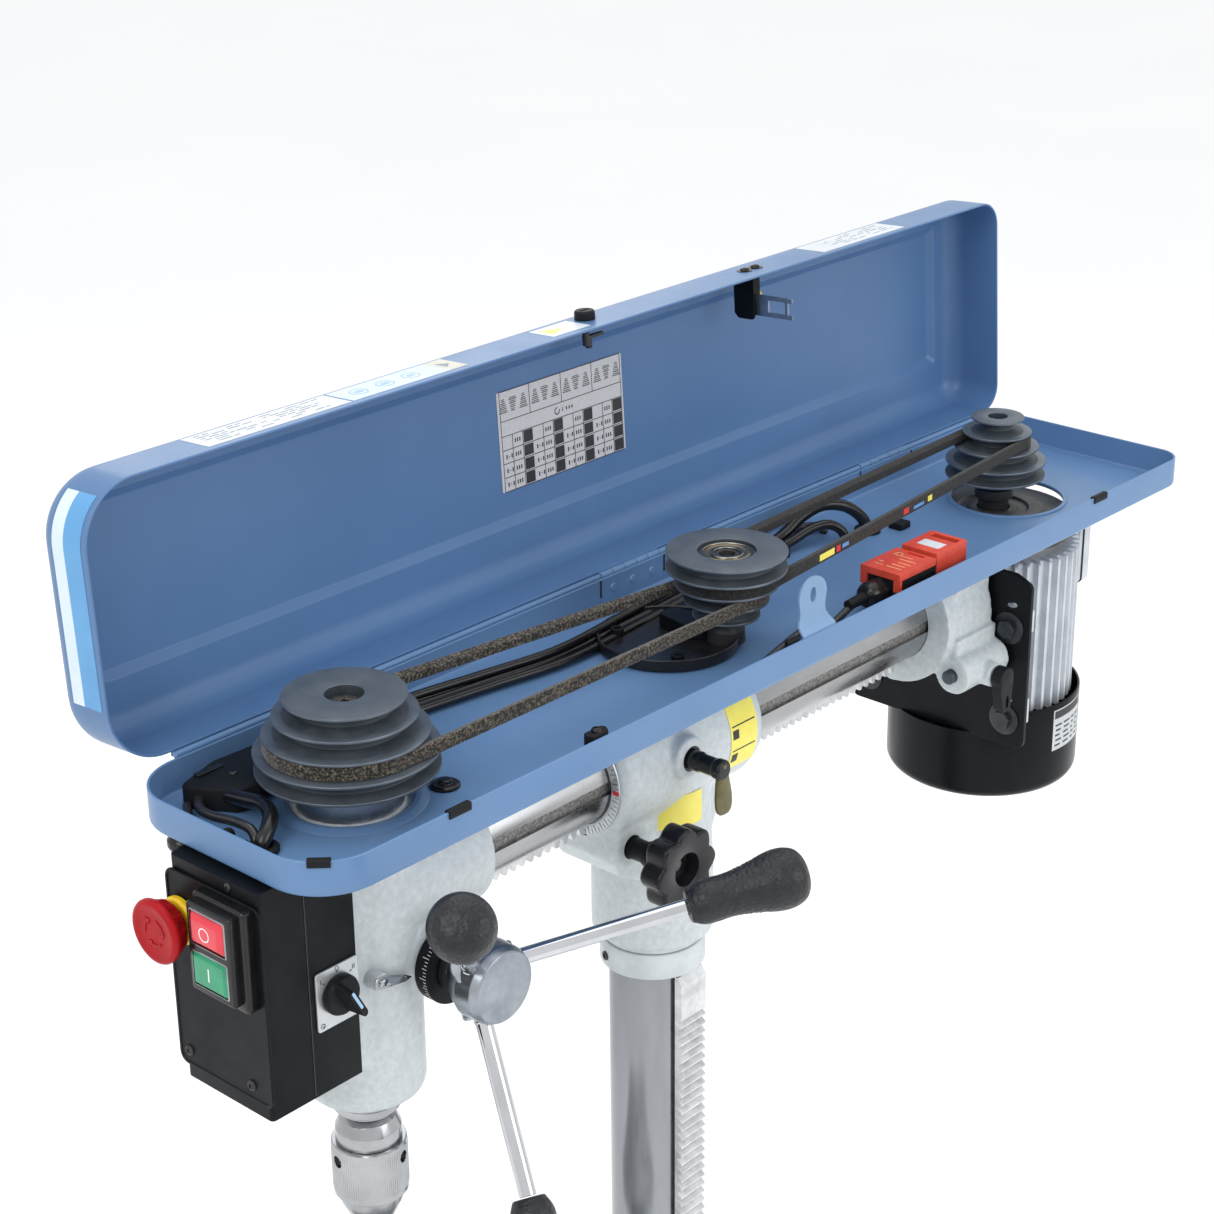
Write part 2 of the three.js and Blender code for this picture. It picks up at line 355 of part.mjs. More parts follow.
  // electrics on the front of the head
  let sb = cut(box(-33, 42, -8, 60.6, -170, -24), box(-31, 40, -6, 66, -168, -26), cylY(-23, -62, 9.6, -12, 0, 18));
  put(head, 'switch_box', sb, BLACK, 0.5, 0.1);
  put(head, 'switch_plate', cut(prism('xz', rrect(-36, 46, -160, -32, 10, 10, 3), -10.2, -8.3), cylY(-23, -62, 9.6, -12, 0, 18)), BLACK, 0.5, 0.1);
  let sh = join(prism('xz', rrect(-3.5, 40, -97, -33, 3, 3, 2), -17, -10.5), prism('xz', rrect(-2.5, 34, -92, -37, 2, 2, 2), -22, -16.5));
  sh = cut(sh, box(0.2, 30.3, -30, -12, -62.6, -40.4), box(0.2, 30.3, -30, -12, -88.6, -66.4));
  put(head, 'switch_housing', sh, BLACK, 0.4, 0);
  put(head, 'stop_button', box(0.8, 29.7, -25, -15.5, -62, -41), 0xd0323c, 0.3, 0);
  put(head, 'start_button', box(0.8, 29.7, -24, -15.5, -88, -67), 0x1f9d55, 0.3, 0);
  put(head, 'estop_collar', lathe([[9.6, -1.8], [14.6, -1.8], [13.6, 2.2], [9.6, 2.2], [9.6, -1.8]], 24).rotate([90, 0, 0]).translate([-23, -12.4, -62]), 0xf2c200, 0.4, 0);
  put(head, 'estop_button', lathe([[0, -12], [8.6, -12], [8.6, -5], [16, -5], [19, -2], [19.7, 3], [18, 6.5], [10, 8], [0, 8]], 24).rotate([90, 0, 0]).translate([-23, -23.5, -62]), 0xc41e2a, 0.35, 0);
  put(head, 'selector_plate', box(42.3, 43.8, 28, 60, -128, -90), 0xc8ccd0, 0.4, 0.5);
  put(head, 'selector_knob', join(cylX(44, -108, 12.5, 44.1, 50, 20), prism('yz', [[38.5, -101], [42, -96], [52, -116], [58, -130], [54, -132], [46, -121]].map(p => [p[0] - 4, p[1] + 4]), 49.8, 62)), BLACK, 0.5, 0);

  // belt guard tray with its openings
  const T = (i, z) => ringAt(i, z);
  let tr = loft([T(3, -TRAY_D), T(1, -TRAY_D + 1), T(0, -TRAY_D + 3), T(0, 0)]);
  tr = cut(tr, loft([T(SHEET + 2, -TRAY_D + SHEET), T(SHEET, -TRAY_D + 5), T(SHEET, 5)]));
  tr = cut(tr, cylZ(0, SP_Y, 37.6, -30, 0, 32), cylZ(4, MO_Y + 12.6, 44, -30, 0, 32));
  put(head, 'belt_tray', tr, BLUE, 0.4, 0.1);
  // idler post, eccentric dish and idler pulley
  let dish = lathe([[0, -19.9], [47, -19.9], [47.6, -19], [47.6, -11], [46, -11], [45, -16], [0, -16]], 36).translate([-7.3, 389.3, 0]);
  dish = join(dish, cone('z', ID_X, ID_Y, 13, 9, -17, 1, 20), cylZ(ID_X, ID_Y, 8, 0, 45, 18), box(-18, 4, 396, 412, -17, -4));
  put(head, 'idler_dish', dish, BLACK, 0.4, 0.3);
  put(head, 'idler_bearing', lathe([[8.3, 34], [16.6, 34], [16.6, 44], [8.3, 44], [8.3, 34]], 20).translate([ID_X, ID_Y, 0]), STEEL, 0.25, 0.9);
  const idz = PU_TOP + 1;
  put(head, 'spindle_pulley', pulley(SP_RIMS, PU_TOP, 9.2, 13.5, 14.6, 30).translate([0, SP_Y, 0]), PUL, 0.45, 0.4);
  put(head, 'idler_pulley', pulley(ID_RIMS, PU_TOP, 17, 19, -1.5, 26).translate([ID_X, ID_Y, 0]), PUL, 0.45, 0.4);
  put(head, 'motor_pulley', pulley(MO_RIMS, PU_TOP, 7.4, 12, 10, 24).translate([0, MO_Y, 0]), PUL, 0.45, 0.4);
  const rg = (rims, n) => Math.min(rims[n - 1], rims[n]) - 0.2;
  put(head, 'belt_front', belt([0, SP_Y], rg(SP_RIMS, 3), [ID_X, ID_Y], rg(ID_RIMS, 3), grooveZ(3), 8.9, 6), 0x3b3a36, 0.9, 0);
  put(head, 'belt_rear', belt([ID_X, ID_Y], rg(ID_RIMS, 2), [0, MO_Y], rg(MO_RIMS, 2), grooveZ(2), 8.9, 6), 0x2a2a2a, 0.9, 0);

  // interlock switch in the tray and its lead
  let sw = join(box(44, 77, 531, 576, -19.9, 8), box(46, 76, 575, 612, -19.9, 9.5), cone('y', 60, -8, 6, 8, 514, 532, 12));
  sw = cut(sw, box(51, 73, 602, 607.2, -14, 20));
  put(head, 'interlock_switch', sw, 0xc8372d, 0.4, 0);
  put(head, 'interlock_lead', solid(lead([[60, 512.8, -8], [60, 500, -10], [59, 480, -15.5], [66, 440, -16.4], [76, 380, -16.4], [79.5, 300, -16.4], [79.5, 200, -16.4], [79, 120, -16.4], [76, 70, -16.4], [66, 34, -16.4], [46, 14, -16.4], [20, 6.5, -16.4], [-20, 6.5, -16.4]], 2.6, 48)), BLACK, 0.6, 0);
  put(head, 'tray_harness', solid(lead([[-26, 6.5, -16.4], [-55, 16, -16.4], [-73, 40, -16.4], [-78, 80, -16.4], [-74, 130, -16.4], [-62, 180, -16.4], [-55, 240, -16.4], [-56, 300, -16.4], [-64, 350, -16.4], [-68, 420, -16.4], [-60, 500, -16.4], [-44, 570, -14], [-38, 610, -12], [-44, 640, -16.4]], 2.8, 42)), BLACK, 0.6, 0);

  // rear casting, motor slide, motor
  let rc = join(cylY(0, RAM_Z, 50, 634, 690, 36), box(-46, 46, 648, 690, -80, -22.7), cylY(52, -110, 15, 636, 690, 20), cylY(-52, -110, 15, 636, 690, 20), box(-54, 54, 640, 690, -112, -84), cylX(662, -112, 9, 52, 74, 14));
  rc = cut(rc, cylY(0, RAM_Z, hole(RAM_R + GAP, 40), 620, 689.6, 40), cylY(0, RAM_Z, 38.2, 620, 641, 36), cylY(52, -110, 7.4, 620, 700, 18), cylY(-52, -110, 7.4, 620, 700, 18), box(-8.2, 8.2, 620, 634.4, -120, -100), cylX(662, -112, hole(4.3, 12), 56, 80, 12));
  put(head, 'rear_casting', rc, GREY, 0.55, 0.2);
  put(head, 'motor_tension_lock', join(cylX(662, -112, 4, 61, 78, 12), cylX(662, -112, 9.5, 74.6, 84, 14), prism('yz', [[657, -112], [667, -112], [667, -134], [662, -139], [657, -134]], 77, 83)), BLACK, 0.5, 0.2);
  let mp = prism('xz', rrect(-80, 80, -188, -44, 14, 14, 4), 693.4, 697);
  mp = join(mp, cylY(52, -110, 7, 634, 694, 18), cylY(-52, -110, 7, 634, 694, 18));
  put(head, 'motor_plate', mp, BLACK, 0.4, 0.3);
  const ribs = [];
  for (let i = 0; i < 48; i++) { const a = 2 * Math.PI * i / 48, r = (i % 2) ? 62.5 : 67.5; ribs.push([r * Math.cos(a), MO_Y + r * Math.sin(a)]); }
  let mh = cut(prism('xy', ribs, -171.7, -48), box(-80, 80, 680, 697.3, -200, 0));
  mh = join(mh, cylZ(0, MO_Y, 50, -49, -40, 28));
  mh = join(mh, box(-34, 34, MO_Y + 55, MO_Y + 92, -140, -62));
  mh = cut(mh, cylZ(0, MO_Y, 14, -60, -30, 18));
  put(head, 'motor_housing', mh, ALU, 0.5, 0.6);
  put(head, 'terminal_box', box(-38, 38, MO_Y + 92.4, MO_Y + 116, -146, -56), ALU, 0.5, 0.4);
  let fc = lathe([[0, -246], [54, -246], [66, -242], [72, -234], [74, -224], [74, -166], [72.4, -166], [72.4, -172], [0, -172]], 36).translate([0, MO_Y, 0]);
  fc = cut(fc, box(-90, 90, 600, 697.4, -188.6, -160));
  put(head, 'motor_fan_cover', fc, BLACK, 0.35, 0.1);
  put(head, 'motor_shaft', join(cylZ(0, MO_Y, 7, -70, 44.5, 16).subtract(cylZ(0, MO_Y, 20, -71, -59, 8)), cylZ(0, MO_Y, 12, -38, -30, 16)), STEEL, 0.3, 0.9);
}

// ---------- lid, modelled shut and turned open about its hinge ----------
{
  const L = (i, z) => { const r = ringAt(i, z - HINGE_Z); return { z: r.z, pts: r.pts.map(p => [p[0] - HINGE_X, p[1]]) }; };
  let l = loft([L(0, 1.2), L(0, 34), L(2.2, 41), L(7, 46.6), L(17, LID_DEPTH), L(23, LID_DEPTH), L(27, LID_DEPTH + LID_EMB)]);
  l = cut(l, loft([L(SHEET, -6), L(SHEET, 34), L(SHEET + 2, 40), L(SHEET + 6.4, 45), L(SHEET + 15, LID_DEPTH - SHEET), L(SHEET + 22.5, LID_DEPTH - SHEET), L(SHEET + 26.5, LID_DEPTH + LID_EMB - SHEET)]));
  put(lid, 'belt_lid', l, BLUE, 0.4, 0.1);
  const D = 170 + 2.2;            // far wall of the lid from the hinge axis
  let key = cut(box(D - 33, D - 17, 604.4, 606.2, -12, 28), box(D - 29.5, D - 20.5, 600, 610, -8, -1), box(D - 29.5, D - 20.5, 600, 610, 2, 9));
  key = join(key, box(D - 32, D - SHEET - 4, 604.6, 612, 17, 27), box(D - SHEET - 5, D - SHEET - GAP, 600, 618, 8, 30));
  put(lid, 'interlock_key', key, STEEL, 0.3, 0.9);
}

export default machine;
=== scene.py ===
import bpy, bmesh, math, json, random
import numpy as np
from mathutils import Vector, Matrix, noise

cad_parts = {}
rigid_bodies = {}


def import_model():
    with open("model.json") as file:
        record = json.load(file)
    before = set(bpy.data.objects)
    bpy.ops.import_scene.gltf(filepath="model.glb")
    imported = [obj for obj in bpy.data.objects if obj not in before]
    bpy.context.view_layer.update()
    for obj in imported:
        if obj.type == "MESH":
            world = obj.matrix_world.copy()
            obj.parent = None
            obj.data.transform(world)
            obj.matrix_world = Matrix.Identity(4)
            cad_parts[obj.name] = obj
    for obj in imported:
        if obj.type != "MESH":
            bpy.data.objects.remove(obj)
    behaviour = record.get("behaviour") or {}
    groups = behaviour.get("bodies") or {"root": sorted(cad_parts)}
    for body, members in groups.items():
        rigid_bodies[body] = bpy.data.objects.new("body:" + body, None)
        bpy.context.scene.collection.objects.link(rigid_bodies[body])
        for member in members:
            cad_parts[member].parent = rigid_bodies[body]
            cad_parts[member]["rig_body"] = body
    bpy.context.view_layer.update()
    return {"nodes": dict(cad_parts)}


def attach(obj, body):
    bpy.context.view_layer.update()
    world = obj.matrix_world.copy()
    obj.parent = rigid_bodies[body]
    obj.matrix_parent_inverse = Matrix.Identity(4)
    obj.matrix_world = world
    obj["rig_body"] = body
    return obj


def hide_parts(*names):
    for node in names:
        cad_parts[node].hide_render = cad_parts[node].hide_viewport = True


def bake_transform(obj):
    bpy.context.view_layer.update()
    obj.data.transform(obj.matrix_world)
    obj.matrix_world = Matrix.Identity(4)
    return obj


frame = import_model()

scene = bpy.context.scene
NODES = frame["nodes"]

# ------------------------------------------------------------------ camera
AZ, EL, RO = math.radians(42.398), math.radians(22.594), math.radians(-0.646)
fwd = Vector((-math.sin(AZ) * math.cos(EL), math.cos(AZ) * math.cos(EL), -math.sin(EL)))
rgt = Vector((math.cos(AZ), math.sin(AZ), 0))
upv = rgt.cross(fwd)
r2 = rgt * math.cos(RO) + upv * math.sin(RO)
u2 = upv * math.cos(RO) - rgt * math.sin(RO)
cam_data = bpy.data.cameras.new("camera")
cam_data.sensor_width = 36.0
cam_data.sensor_fit = "HORIZONTAL"
cam_data.lens = 2477.7 / 1214.0 * 36.0
cam_data.clip_start, cam_data.clip_end = 0.05, 60.0
cam = bpy.data.objects.new("camera", cam_data)
scene.collection.objects.link(cam)
m = Matrix((r2, u2, -fwd)).transposed().to_4x4()
m.translation = Vector((0.9774, -1.1129, 1.5128))
cam.matrix_world = m
scene.camera = cam
scene.view_settings.view_transform = "Standard"
scene.view_settings.look = "None"

# head frame (mm) to row frame (m)
HY, HZ = -364.3, 880.0


def T(p):
    return Vector((p[0] / 1000.0, (p[1] + HY) / 1000.0, (p[2] + HZ) / 1000.0))


# ------------------------------------------------------------------ materials
def new_mat(name, color, rough=0.5, metal=0.0, spec=0.5, coat=0.0, coat_rough=0.1, sheen=0.0, aniso=0.0):
    mt = bpy.data.materials.new(name)
    mt.use_nodes = True
    nt = mt.node_tree
    b = nt.nodes["Principled BSDF"]
    b.inputs["Base Color"].default_value = (*color, 1)
    b.inputs["Roughness"].default_value = rough
    b.inputs["Metallic"].default_value = metal
    b.inputs["Specular IOR Level"].default_value = spec
    b.inputs["Coat Weight"].default_value = coat
    b.inputs["Coat Roughness"].default_value = coat_rough
    b.inputs["Sheen Weight"].default_value = sheen
    b.inputs["Anisotropic"].default_value = aniso
    mt.diffuse_color = (*color, 1)
    return mt


def N(nt, kind, **kw):
    n = nt.nodes.new(kind)
    for k, v in kw.items():
        if k in n.inputs:
            n.inputs[k].default_value = v
        else:
            setattr(n, k, v)
    return n


def coords(nt, scale=(1, 1, 1)):
    tc = nt.nodes.new("ShaderNodeTexCoord")
    if tuple(scale) == (1, 1, 1):
        return tc.outputs["Object"]
    mp = nt.nodes.new("ShaderNodeMapping")
    mp.inputs["Scale"].default_value = scale
    nt.links.new(tc.outputs["Object"], mp.inputs["Vector"])
    return mp.outputs["Vector"]


def tint(mt, lo, hi, scale=20.0, detail=4.0, stretch=(1, 1, 1), ramp=(0.35, 0.65)):
    """colour varies between lo and hi by noise"""
    nt = mt.node_tree
    b = nt.nodes["Principled BSDF"]
    n = N(nt, "ShaderNodeTexNoise", Scale=scale, Detail=detail, Roughness=0.6)
    nt.links.new(coords(nt, stretch), n.inputs["Vector"])
    cr = nt.nodes.new("ShaderNodeValToRGB")
    cr.color_ramp.elements[0].position, cr.color_ramp.elements[1].position = ramp
    cr.color_ramp.elements[0].color = (*lo, 1)
    cr.color_ramp.elements[1].color = (*hi, 1)
    nt.links.new(n.outputs["Fac"], cr.inputs["Fac"])
    nt.links.new(cr.outputs["Color"], b.inputs["Base Color"])
    return mt


def rough_var(mt, lo, hi, scale=30.0, detail=4.0, stretch=(1, 1, 1)):
    nt = mt.node_tree
    b = nt.nodes["Principled BSDF"]
    n = N(nt, "ShaderNodeTexNoise", Scale=scale, Detail=detail, Roughness=0.6)
    nt.links.new(coords(nt, stretch), n.inputs["Vector"])
    mr = nt.nodes.new("ShaderNodeMapRange")
    mr.inputs["From Min"].default_value, mr.inputs["From Max"].default_value = 0.3, 0.7
    mr.inputs["To Min"].default_value, mr.inputs["To Max"].default_value = lo, hi
    nt.links.new(n.outputs["Fac"], mr.inputs["Value"])
    nt.links.new(mr.outputs["Result"], b.inputs["Roughness"])
    return mt


def bump(mt, scale=300.0, dist=0.0002, strength=0.5, detail=3.0, kind="noise", stretch=(1, 1, 1), rough=0.55):
    nt = mt.node_tree
    b = nt.nodes["Principled BSDF"]
    if kind == "noise":
        n = N(nt, "ShaderNodeTexNoise", Scale=scale, Detail=detail, Roughness=rough)
        out = n.outputs["Fac"]
    else:
        n = N(nt, "ShaderNodeTexVoronoi", Scale=scale)
        n.feature = "SMOOTH_F1"
        out = n.outputs["Distance"]
    nt.links.new(coords(nt, stretch), n.inputs["Vector"])
    bp = nt.nodes.new("ShaderNodeBump")
    bp.inputs["Strength"].default_value = strength
    bp.inputs["Distance"].default_value = dist
    nt.links.new(out, bp.inputs["Height"])
    prev = b.inputs["Normal"].links
    if prev:
        nt.links.new(prev[0].from_socket, bp.inputs["Normal"])
    nt.links.new(bp.outputs["Normal"], b.inputs["Normal"])
    return mt


def turned(mt, axis="Z", freq=900.0, dist=0.00003, strength=0.4, radial=True, amp=0.12, base_rough=0.3):
    """lathe lines: noise of the distance from the object's own axis (radial) and of the height along it"""
    nt = mt.node_tree
    b = nt.nodes["Principled BSDF"]
    tc = nt.nodes.new("ShaderNodeTexCoord")
    sp = nt.nodes.new("ShaderNodeSeparateXYZ")
    nt.links.new(tc.outputs["Object"], sp.inputs[0])
    pair = {"Z": ("X", "Y"), "Y": ("X", "Z"), "X": ("Y", "Z")}[axis]
    cb = nt.nodes.new("ShaderNodeCombineXYZ")
    nt.links.new(sp.outputs[pair[0]], cb.inputs[0])
    nt.links.new(sp.outputs[pair[1]], cb.inputs[1])
    ln = nt.nodes.new("ShaderNodeVectorMath")
    ln.operation = "LENGTH"
    nt.links.new(cb.outputs[0], ln.inputs[0])
    c2 = nt.nodes.new("ShaderNodeCombineXYZ")
    if radial:
        nt.links.new(ln.outputs["Value"], c2.inputs[0])
    nt.links.new(sp.outputs[axis], c2.inputs[1])
    n = N(nt, "ShaderNodeTexNoise", Scale=freq, Detail=3.0, Roughness=0.6)
    nt.links.new(c2.outputs[0], n.inputs["Vector"])
    bp = nt.nodes.new("ShaderNodeBump")
    bp.inputs["Strength"].default_value = strength
    bp.inputs["Distance"].default_value = dist
    nt.links.new(n.outputs["Fac"], bp.inputs["Height"])
    nt.links.new(bp.outputs["Normal"], b.inputs["Normal"])
    mr = nt.nodes.new("ShaderNodeMapRange")
    mr.inputs["To Min"].default_value, mr.inputs["To Max"].default_value = base_rough - amp / 2, base_rough + amp / 2
    nt.links.new(n.outputs["Fac"], mr.inputs["Value"])
    nt.links.new(mr.outputs["Result"], b.inputs["Roughness"])
    return mt


M = {}


def make_materials():
    # cast, hammered light grey paint
    c = new_mat("cast_paint", (0.54, 0.58, 0.59), 0.42, 0.0, 0.4, coat=0.25, coat_rough=0.25)
    tint(c, (0.49, 0.535, 0.55), (0.58, 0.625, 0.64), 220, 5)
    bump(c, 420, 0.0005, 0.55, 5)
    bump(c, 130, 0.0009, 0.5, 3, "voronoi")
    rough_var(c, 0.34, 0.52, 90)
    M["cast"] = c
    f = new_mat("flat_paint", (0.62, 0.66, 0.66), 0.4)
    tint(f, (0.50, 0.545, 0.56), (0.60, 0.645, 0.66), 50, 5)
    bump(f, 500, 0.0003, 0.35, 4)
    M["castflat"] = f
    # guard sheet paint
    g = new_mat("guard_paint", (0.115, 0.222, 0.41), 0.36, 0.0, 0.36, coat=0.12, coat_rough=0.2)
    tint(g, (0.110, 0.214, 0.395), (0.122, 0.232, 0.425), 9, 5)
    bump(g, 1600, 0.00008, 0.25, 3)
    rough_var(g, 0.34, 0.42, 25)
    M["blue"] = g
    # darker copy of the guard paint for the lid: painted shade, the lid is the same paint as the tray
    g = new_mat("guard_paint_lid_painted_shade", (0.088, 0.182, 0.36), 0.36, 0.0, 0.3, coat=0.12, coat_rough=0.2)
    tint(g, (0.083, 0.174, 0.345), (0.093, 0.190, 0.372), 9, 5)
    bump(g, 1600, 0.00008, 0.25, 3)
    rough_var(g, 0.34, 0.42, 25)
    M["blue_lid_painted_shade"] = g
    # black satin metal, plastic, gloss plastic
    k = new_mat("black_metal", (0.005, 0.006, 0.0075), 0.36, 0.0, 0.13)
    tint(k, (0.004, 0.0048, 0.006), (0.007, 0.008, 0.010), 40)
    bump(k, 900, 0.00012, 0.4, 4)
    rough_var(k, 0.3, 0.46, 60)
    M["black"] = k
    p = new_mat("black_plastic", (0.008, 0.009, 0.011), 0.48, 0.0, 0.16)
    tint(p, (0.006, 0.007, 0.009), (0.011, 0.012, 0.014), 60)
    bump(p, 2600, 0.00012, 0.5, 3)
    rough_var(p, 0.42, 0.58, 120)
    M["plastic"] = p
    q = new_mat("gloss_black", (0.008, 0.008, 0.009), 0.16, 0.0, 0.34)
    tint(q, (0.006, 0.006, 0.007), (0.011, 0.011, 0.012), 50)
    rough_var(q, 0.12, 0.22, 60)
    M["gloss"] = q
    s = new_mat("ground_steel", (0.60, 0.61, 0.62), 0.22, 1.0)
    tint(s, (0.34, 0.35, 0.36), (0.46, 0.47, 0.48), 30, 4)
    rough_var(s, 0.16, 0.3, 60)
    bump(s, 1400, 0.00002, 0.35, 2)
    M["steel"] = s
    ch = new_mat("chrome_plate", (0.80, 0.81, 0.82), 0.06, 1.0)
    rough_var(ch, 0.04, 0.10, 30)
    tint(ch, (0.50, 0.51, 0.53), (0.60, 0.61, 0.63), 20)
    M["chrome"] = ch
    al = new_mat("cast_alu", (0.62, 0.64, 0.66), 0.42, 1.0)
    tint(al, (0.42, 0.44, 0.46), (0.56, 0.58, 0.60), 90, 5)
    bump(al, 900, 0.00025, 0.5, 4)
    rough_var(al, 0.34, 0.5, 120)
    M["alu"] = al
    pu = new_mat("pulley_metal", (0.10, 0.125, 0.155), 0.34, 0.5, 0.5)
    turned(pu, "Z", 1300, 0.00005, 0.5, True, 0.16, 0.36)
    tint(pu, (0.095, 0.118, 0.148), (0.14, 0.165, 0.195), 45, 4)
    M["pulley"] = pu
    # darker copy of the pulley metal for the grooves, the bore and the hub below: painted shade in the recesses
    pg = new_mat("pulley_groove_painted_shade", (0.02, 0.024, 0.03), 0.5, 0.2, 0.3)
    tint(pg, (0.040, 0.050, 0.062), (0.060, 0.072, 0.086), 60, 4)
    rough_var(pg, 0.42, 0.6, 120)
    bump(pg, 900, 0.00006, 0.4)
    M["groove"] = pg
    pt = new_mat("pulley_face", (0.06, 0.072, 0.088), 0.4, 0.35, 0.4)
    turned(pt, "Z", 1300, 0.00005, 0.5, True, 0.16, 0.4)
    tint(pt, (0.085, 0.104, 0.128), (0.115, 0.136, 0.160), 45, 4)
    M["pulleytop"] = pt
    sg = new_mat("end_shield_grey", (0.06, 0.060, 0.058), 0.42, 0.2, 0.35)
    tint(sg, (0.042, 0.042, 0.040), (0.085, 0.084, 0.080), 50, 5)
    bump(sg, 700, 0.00015, 0.4, 4)
    M["shieldgrey"] = sg
    b = new_mat("belt_cloth", (0.05, 0.045, 0.04), 0.9, 0.0, 0.25, sheen=0.25)
    tint(b, (0.008, 0.007, 0.006), (0.20, 0.17, 0.128), 640, 9, ramp=(0.46, 0.71))
    bump(b, 1500, 0.0003, 0.8, 6)
    M["belt"] = b
    b2 = new_mat("belt_cloth_dark", (0.03, 0.03, 0.03), 0.85, 0.0, 0.3, sheen=0.15)
    tint(b2, (0.008, 0.008, 0.008), (0.05, 0.046, 0.042), 600, 9, ramp=(0.46, 0.80))
    bump(b2, 1500, 0.0003, 0.8, 6)
    M["belt2"] = b2
    cb = new_mat("cable_sheath", (0.006, 0.006, 0.007), 0.22, 0.0, 0.42)
    tint(cb, (0.004, 0.004, 0.005), (0.008, 0.008, 0.009), 80)
    bump(cb, 900, 0.0001, 0.3)
    rough_var(cb, 0.17, 0.3, 90)
    M["cable"] = cb
    rd = new_mat("red_plastic", (0.36, 0.006, 0.011), 0.36, 0.0, 0.14)
    tint(rd, (0.33, 0.005, 0.009), (0.39, 0.008, 0.013), 50)
    bump(rd, 1500, 0.00005, 0.3)
    M["red"] = rd
    rs = new_mat("red_switch", (0.60, 0.062, 0.035), 0.38, 0.0, 0.3)
    tint(rs, (0.54, 0.054, 0.030), (0.64, 0.074, 0.042), 60)
    bump(rs, 1800, 0.00008, 0.35)
    M["redsw"] = rs
    gr = new_mat("green_plastic", (0.0, 0.27, 0.12), 0.22, 0.0, 0.5, coat=0.3, coat_rough=0.08)
    tint(gr, (0.0, 0.24, 0.11), (0.004, 0.30, 0.135), 60)
    M["green"] = gr
    rb = new_mat("red_button", (0.70, 0.03, 0.05), 0.2, 0.0, 0.5, coat=0.3, coat_rough=0.08)
    tint(rb, (0.64, 0.02, 0.04), (0.74, 0.04, 0.06), 60)
    M["redbtn"] = rb
    ye = new_mat("yellow_plastic", (0.85, 0.55, 0.01), 0.35)
    tint(ye, (0.80, 0.50, 0.01), (0.88, 0.60, 0.015), 60)
    M["yellow"] = ye
    wl = new_mat("label_white", (0.62, 0.66, 0.70), 0.36, 0.0, 0.3)
    tint(wl, (0.58, 0.62, 0.66), (0.65, 0.69, 0.73), 30)
    M["label"] = wl
    sl = new_mat("label_silver", (0.55, 0.58, 0.60), 0.34, 0.7)
    tint(sl, (0.50, 0.53, 0.55), (0.60, 0.63, 0.65), 40)
    bump(sl, 1200, 0.00003, 0.3, stretch=(1, 8, 1))
    M["silver"] = sl
    ti = new_mat("table_iron", (0.42, 0.43, 0.44), 0.34, 0.85)
    tint(ti, (0.34, 0.35, 0.36), (0.48, 0.49, 0.50), 40, 5)
    bump(ti, 500, 0.00006, 0.5, 3, stretch=(12, 1, 1))
    rough_var(ti, 0.28, 0.42, 60, stretch=(10, 1, 1))
    M["iron"] = ti
    ol = new_mat("lever_olive", (0.10, 0.085, 0.02), 0.35, 0.0, 0.5)
    tint(ol, (0.075, 0.062, 0.014), (0.13, 0.11, 0.03), 80)
    bump(ol, 900, 0.0001, 0.4)
    M["olive"] = ol
    ink = new_mat("ink_black", (0.02, 0.02, 0.022), 0.5)
    tint(ink, (0.016, 0.016, 0.018), (0.026, 0.026, 0.028), 100)
    M["ink"] = ink
    wh = new_mat("mark_white", (0.82, 0.82, 0.82), 0.4)
    tint(wh, (0.78, 0.78, 0.78), (0.85, 0.85, 0.85), 100)
    M["white"] = wh
    rdm = new_mat("mark_red", (0.6, 0.02, 0.02), 0.4)
    tint(rdm, (0.55, 0.018, 0.018), (0.65, 0.025, 0.025), 100)
    M["markred"] = rdm
    lb = new_mat("label_blue", (0.10, 0.30, 0.62), 0.35)
    tint(lb, (0.09, 0.27, 0.58), (0.12, 0.33, 0.66), 60)
    M["labelblue"] = lb
    ly = new_mat("label_yellow", (0.86, 0.75, 0.12), 0.35)
    tint(ly, (0.82, 0.71, 0.10), (0.88, 0.78, 0.15), 60)
    M["labelyellow"] = ly
    lg = new_mat("label_paleblue", (0.32, 0.52, 0.72), 0.35)
    tint(lg, (0.30, 0.50, 0.70), (0.35, 0.55, 0.75), 60)
    M["labelpale"] = lg


make_materials()


# ------------------------------------------------------------------ mesh helpers (head frame, mm)
def obj_from(name, verts, faces, mat, body, smooth=40, origin=None, slot=None, replaces=(), row=False, bevel=0.0, bseg=2, mats=None, face_mats=None):
    """verts in mm (head frame, or row frame when row=True); origin (mm) becomes the object's own origin"""
    v = np.asarray(verts, float)
    o = np.zeros(3) if origin is None else np.asarray(origin, float)
    me = bpy.data.meshes.new(name)
    me.from_pydata(((v - o) / 1000.0).tolist(), [], [list(map(int, f)) for f in faces])
    me.validate(clean_customdata=False)
    ob = bpy.data.objects.new(name, me)
    scene.collection.objects.link(ob)
    off = np.zeros(3) if row else np.array([0, HY, HZ])
    ob.location = Vector((o + off) / 1000.0) if (origin is not None or not row) else Vector((0, 0, 0))
    for mm in (mats or [mat]):
        me.materials.append(M[mm] if isinstance(mm, str) else mm)
    if face_mats is not None:
        for p, i in zip(me.polygons, face_mats):
            p.material_index = int(i)
    bm = bmesh.new()
    bm.from_mesh(me)
    bmesh.ops.recalc_face_normals(bm, faces=bm.faces)
    bm.to_mesh(me)
    bm.free()
    shade(ob, smooth)
    if bevel:
        add_bevel(ob, bevel, bseg)
    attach(ob, body)
    if replaces:
        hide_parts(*replaces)
    return ob


def shade(ob, angle):
    me = ob.data
    for p in me.polygons:
        p.use_smooth = True
    if angle < 179:
        me.set_sharp_from_angle(angle=math.radians(angle))


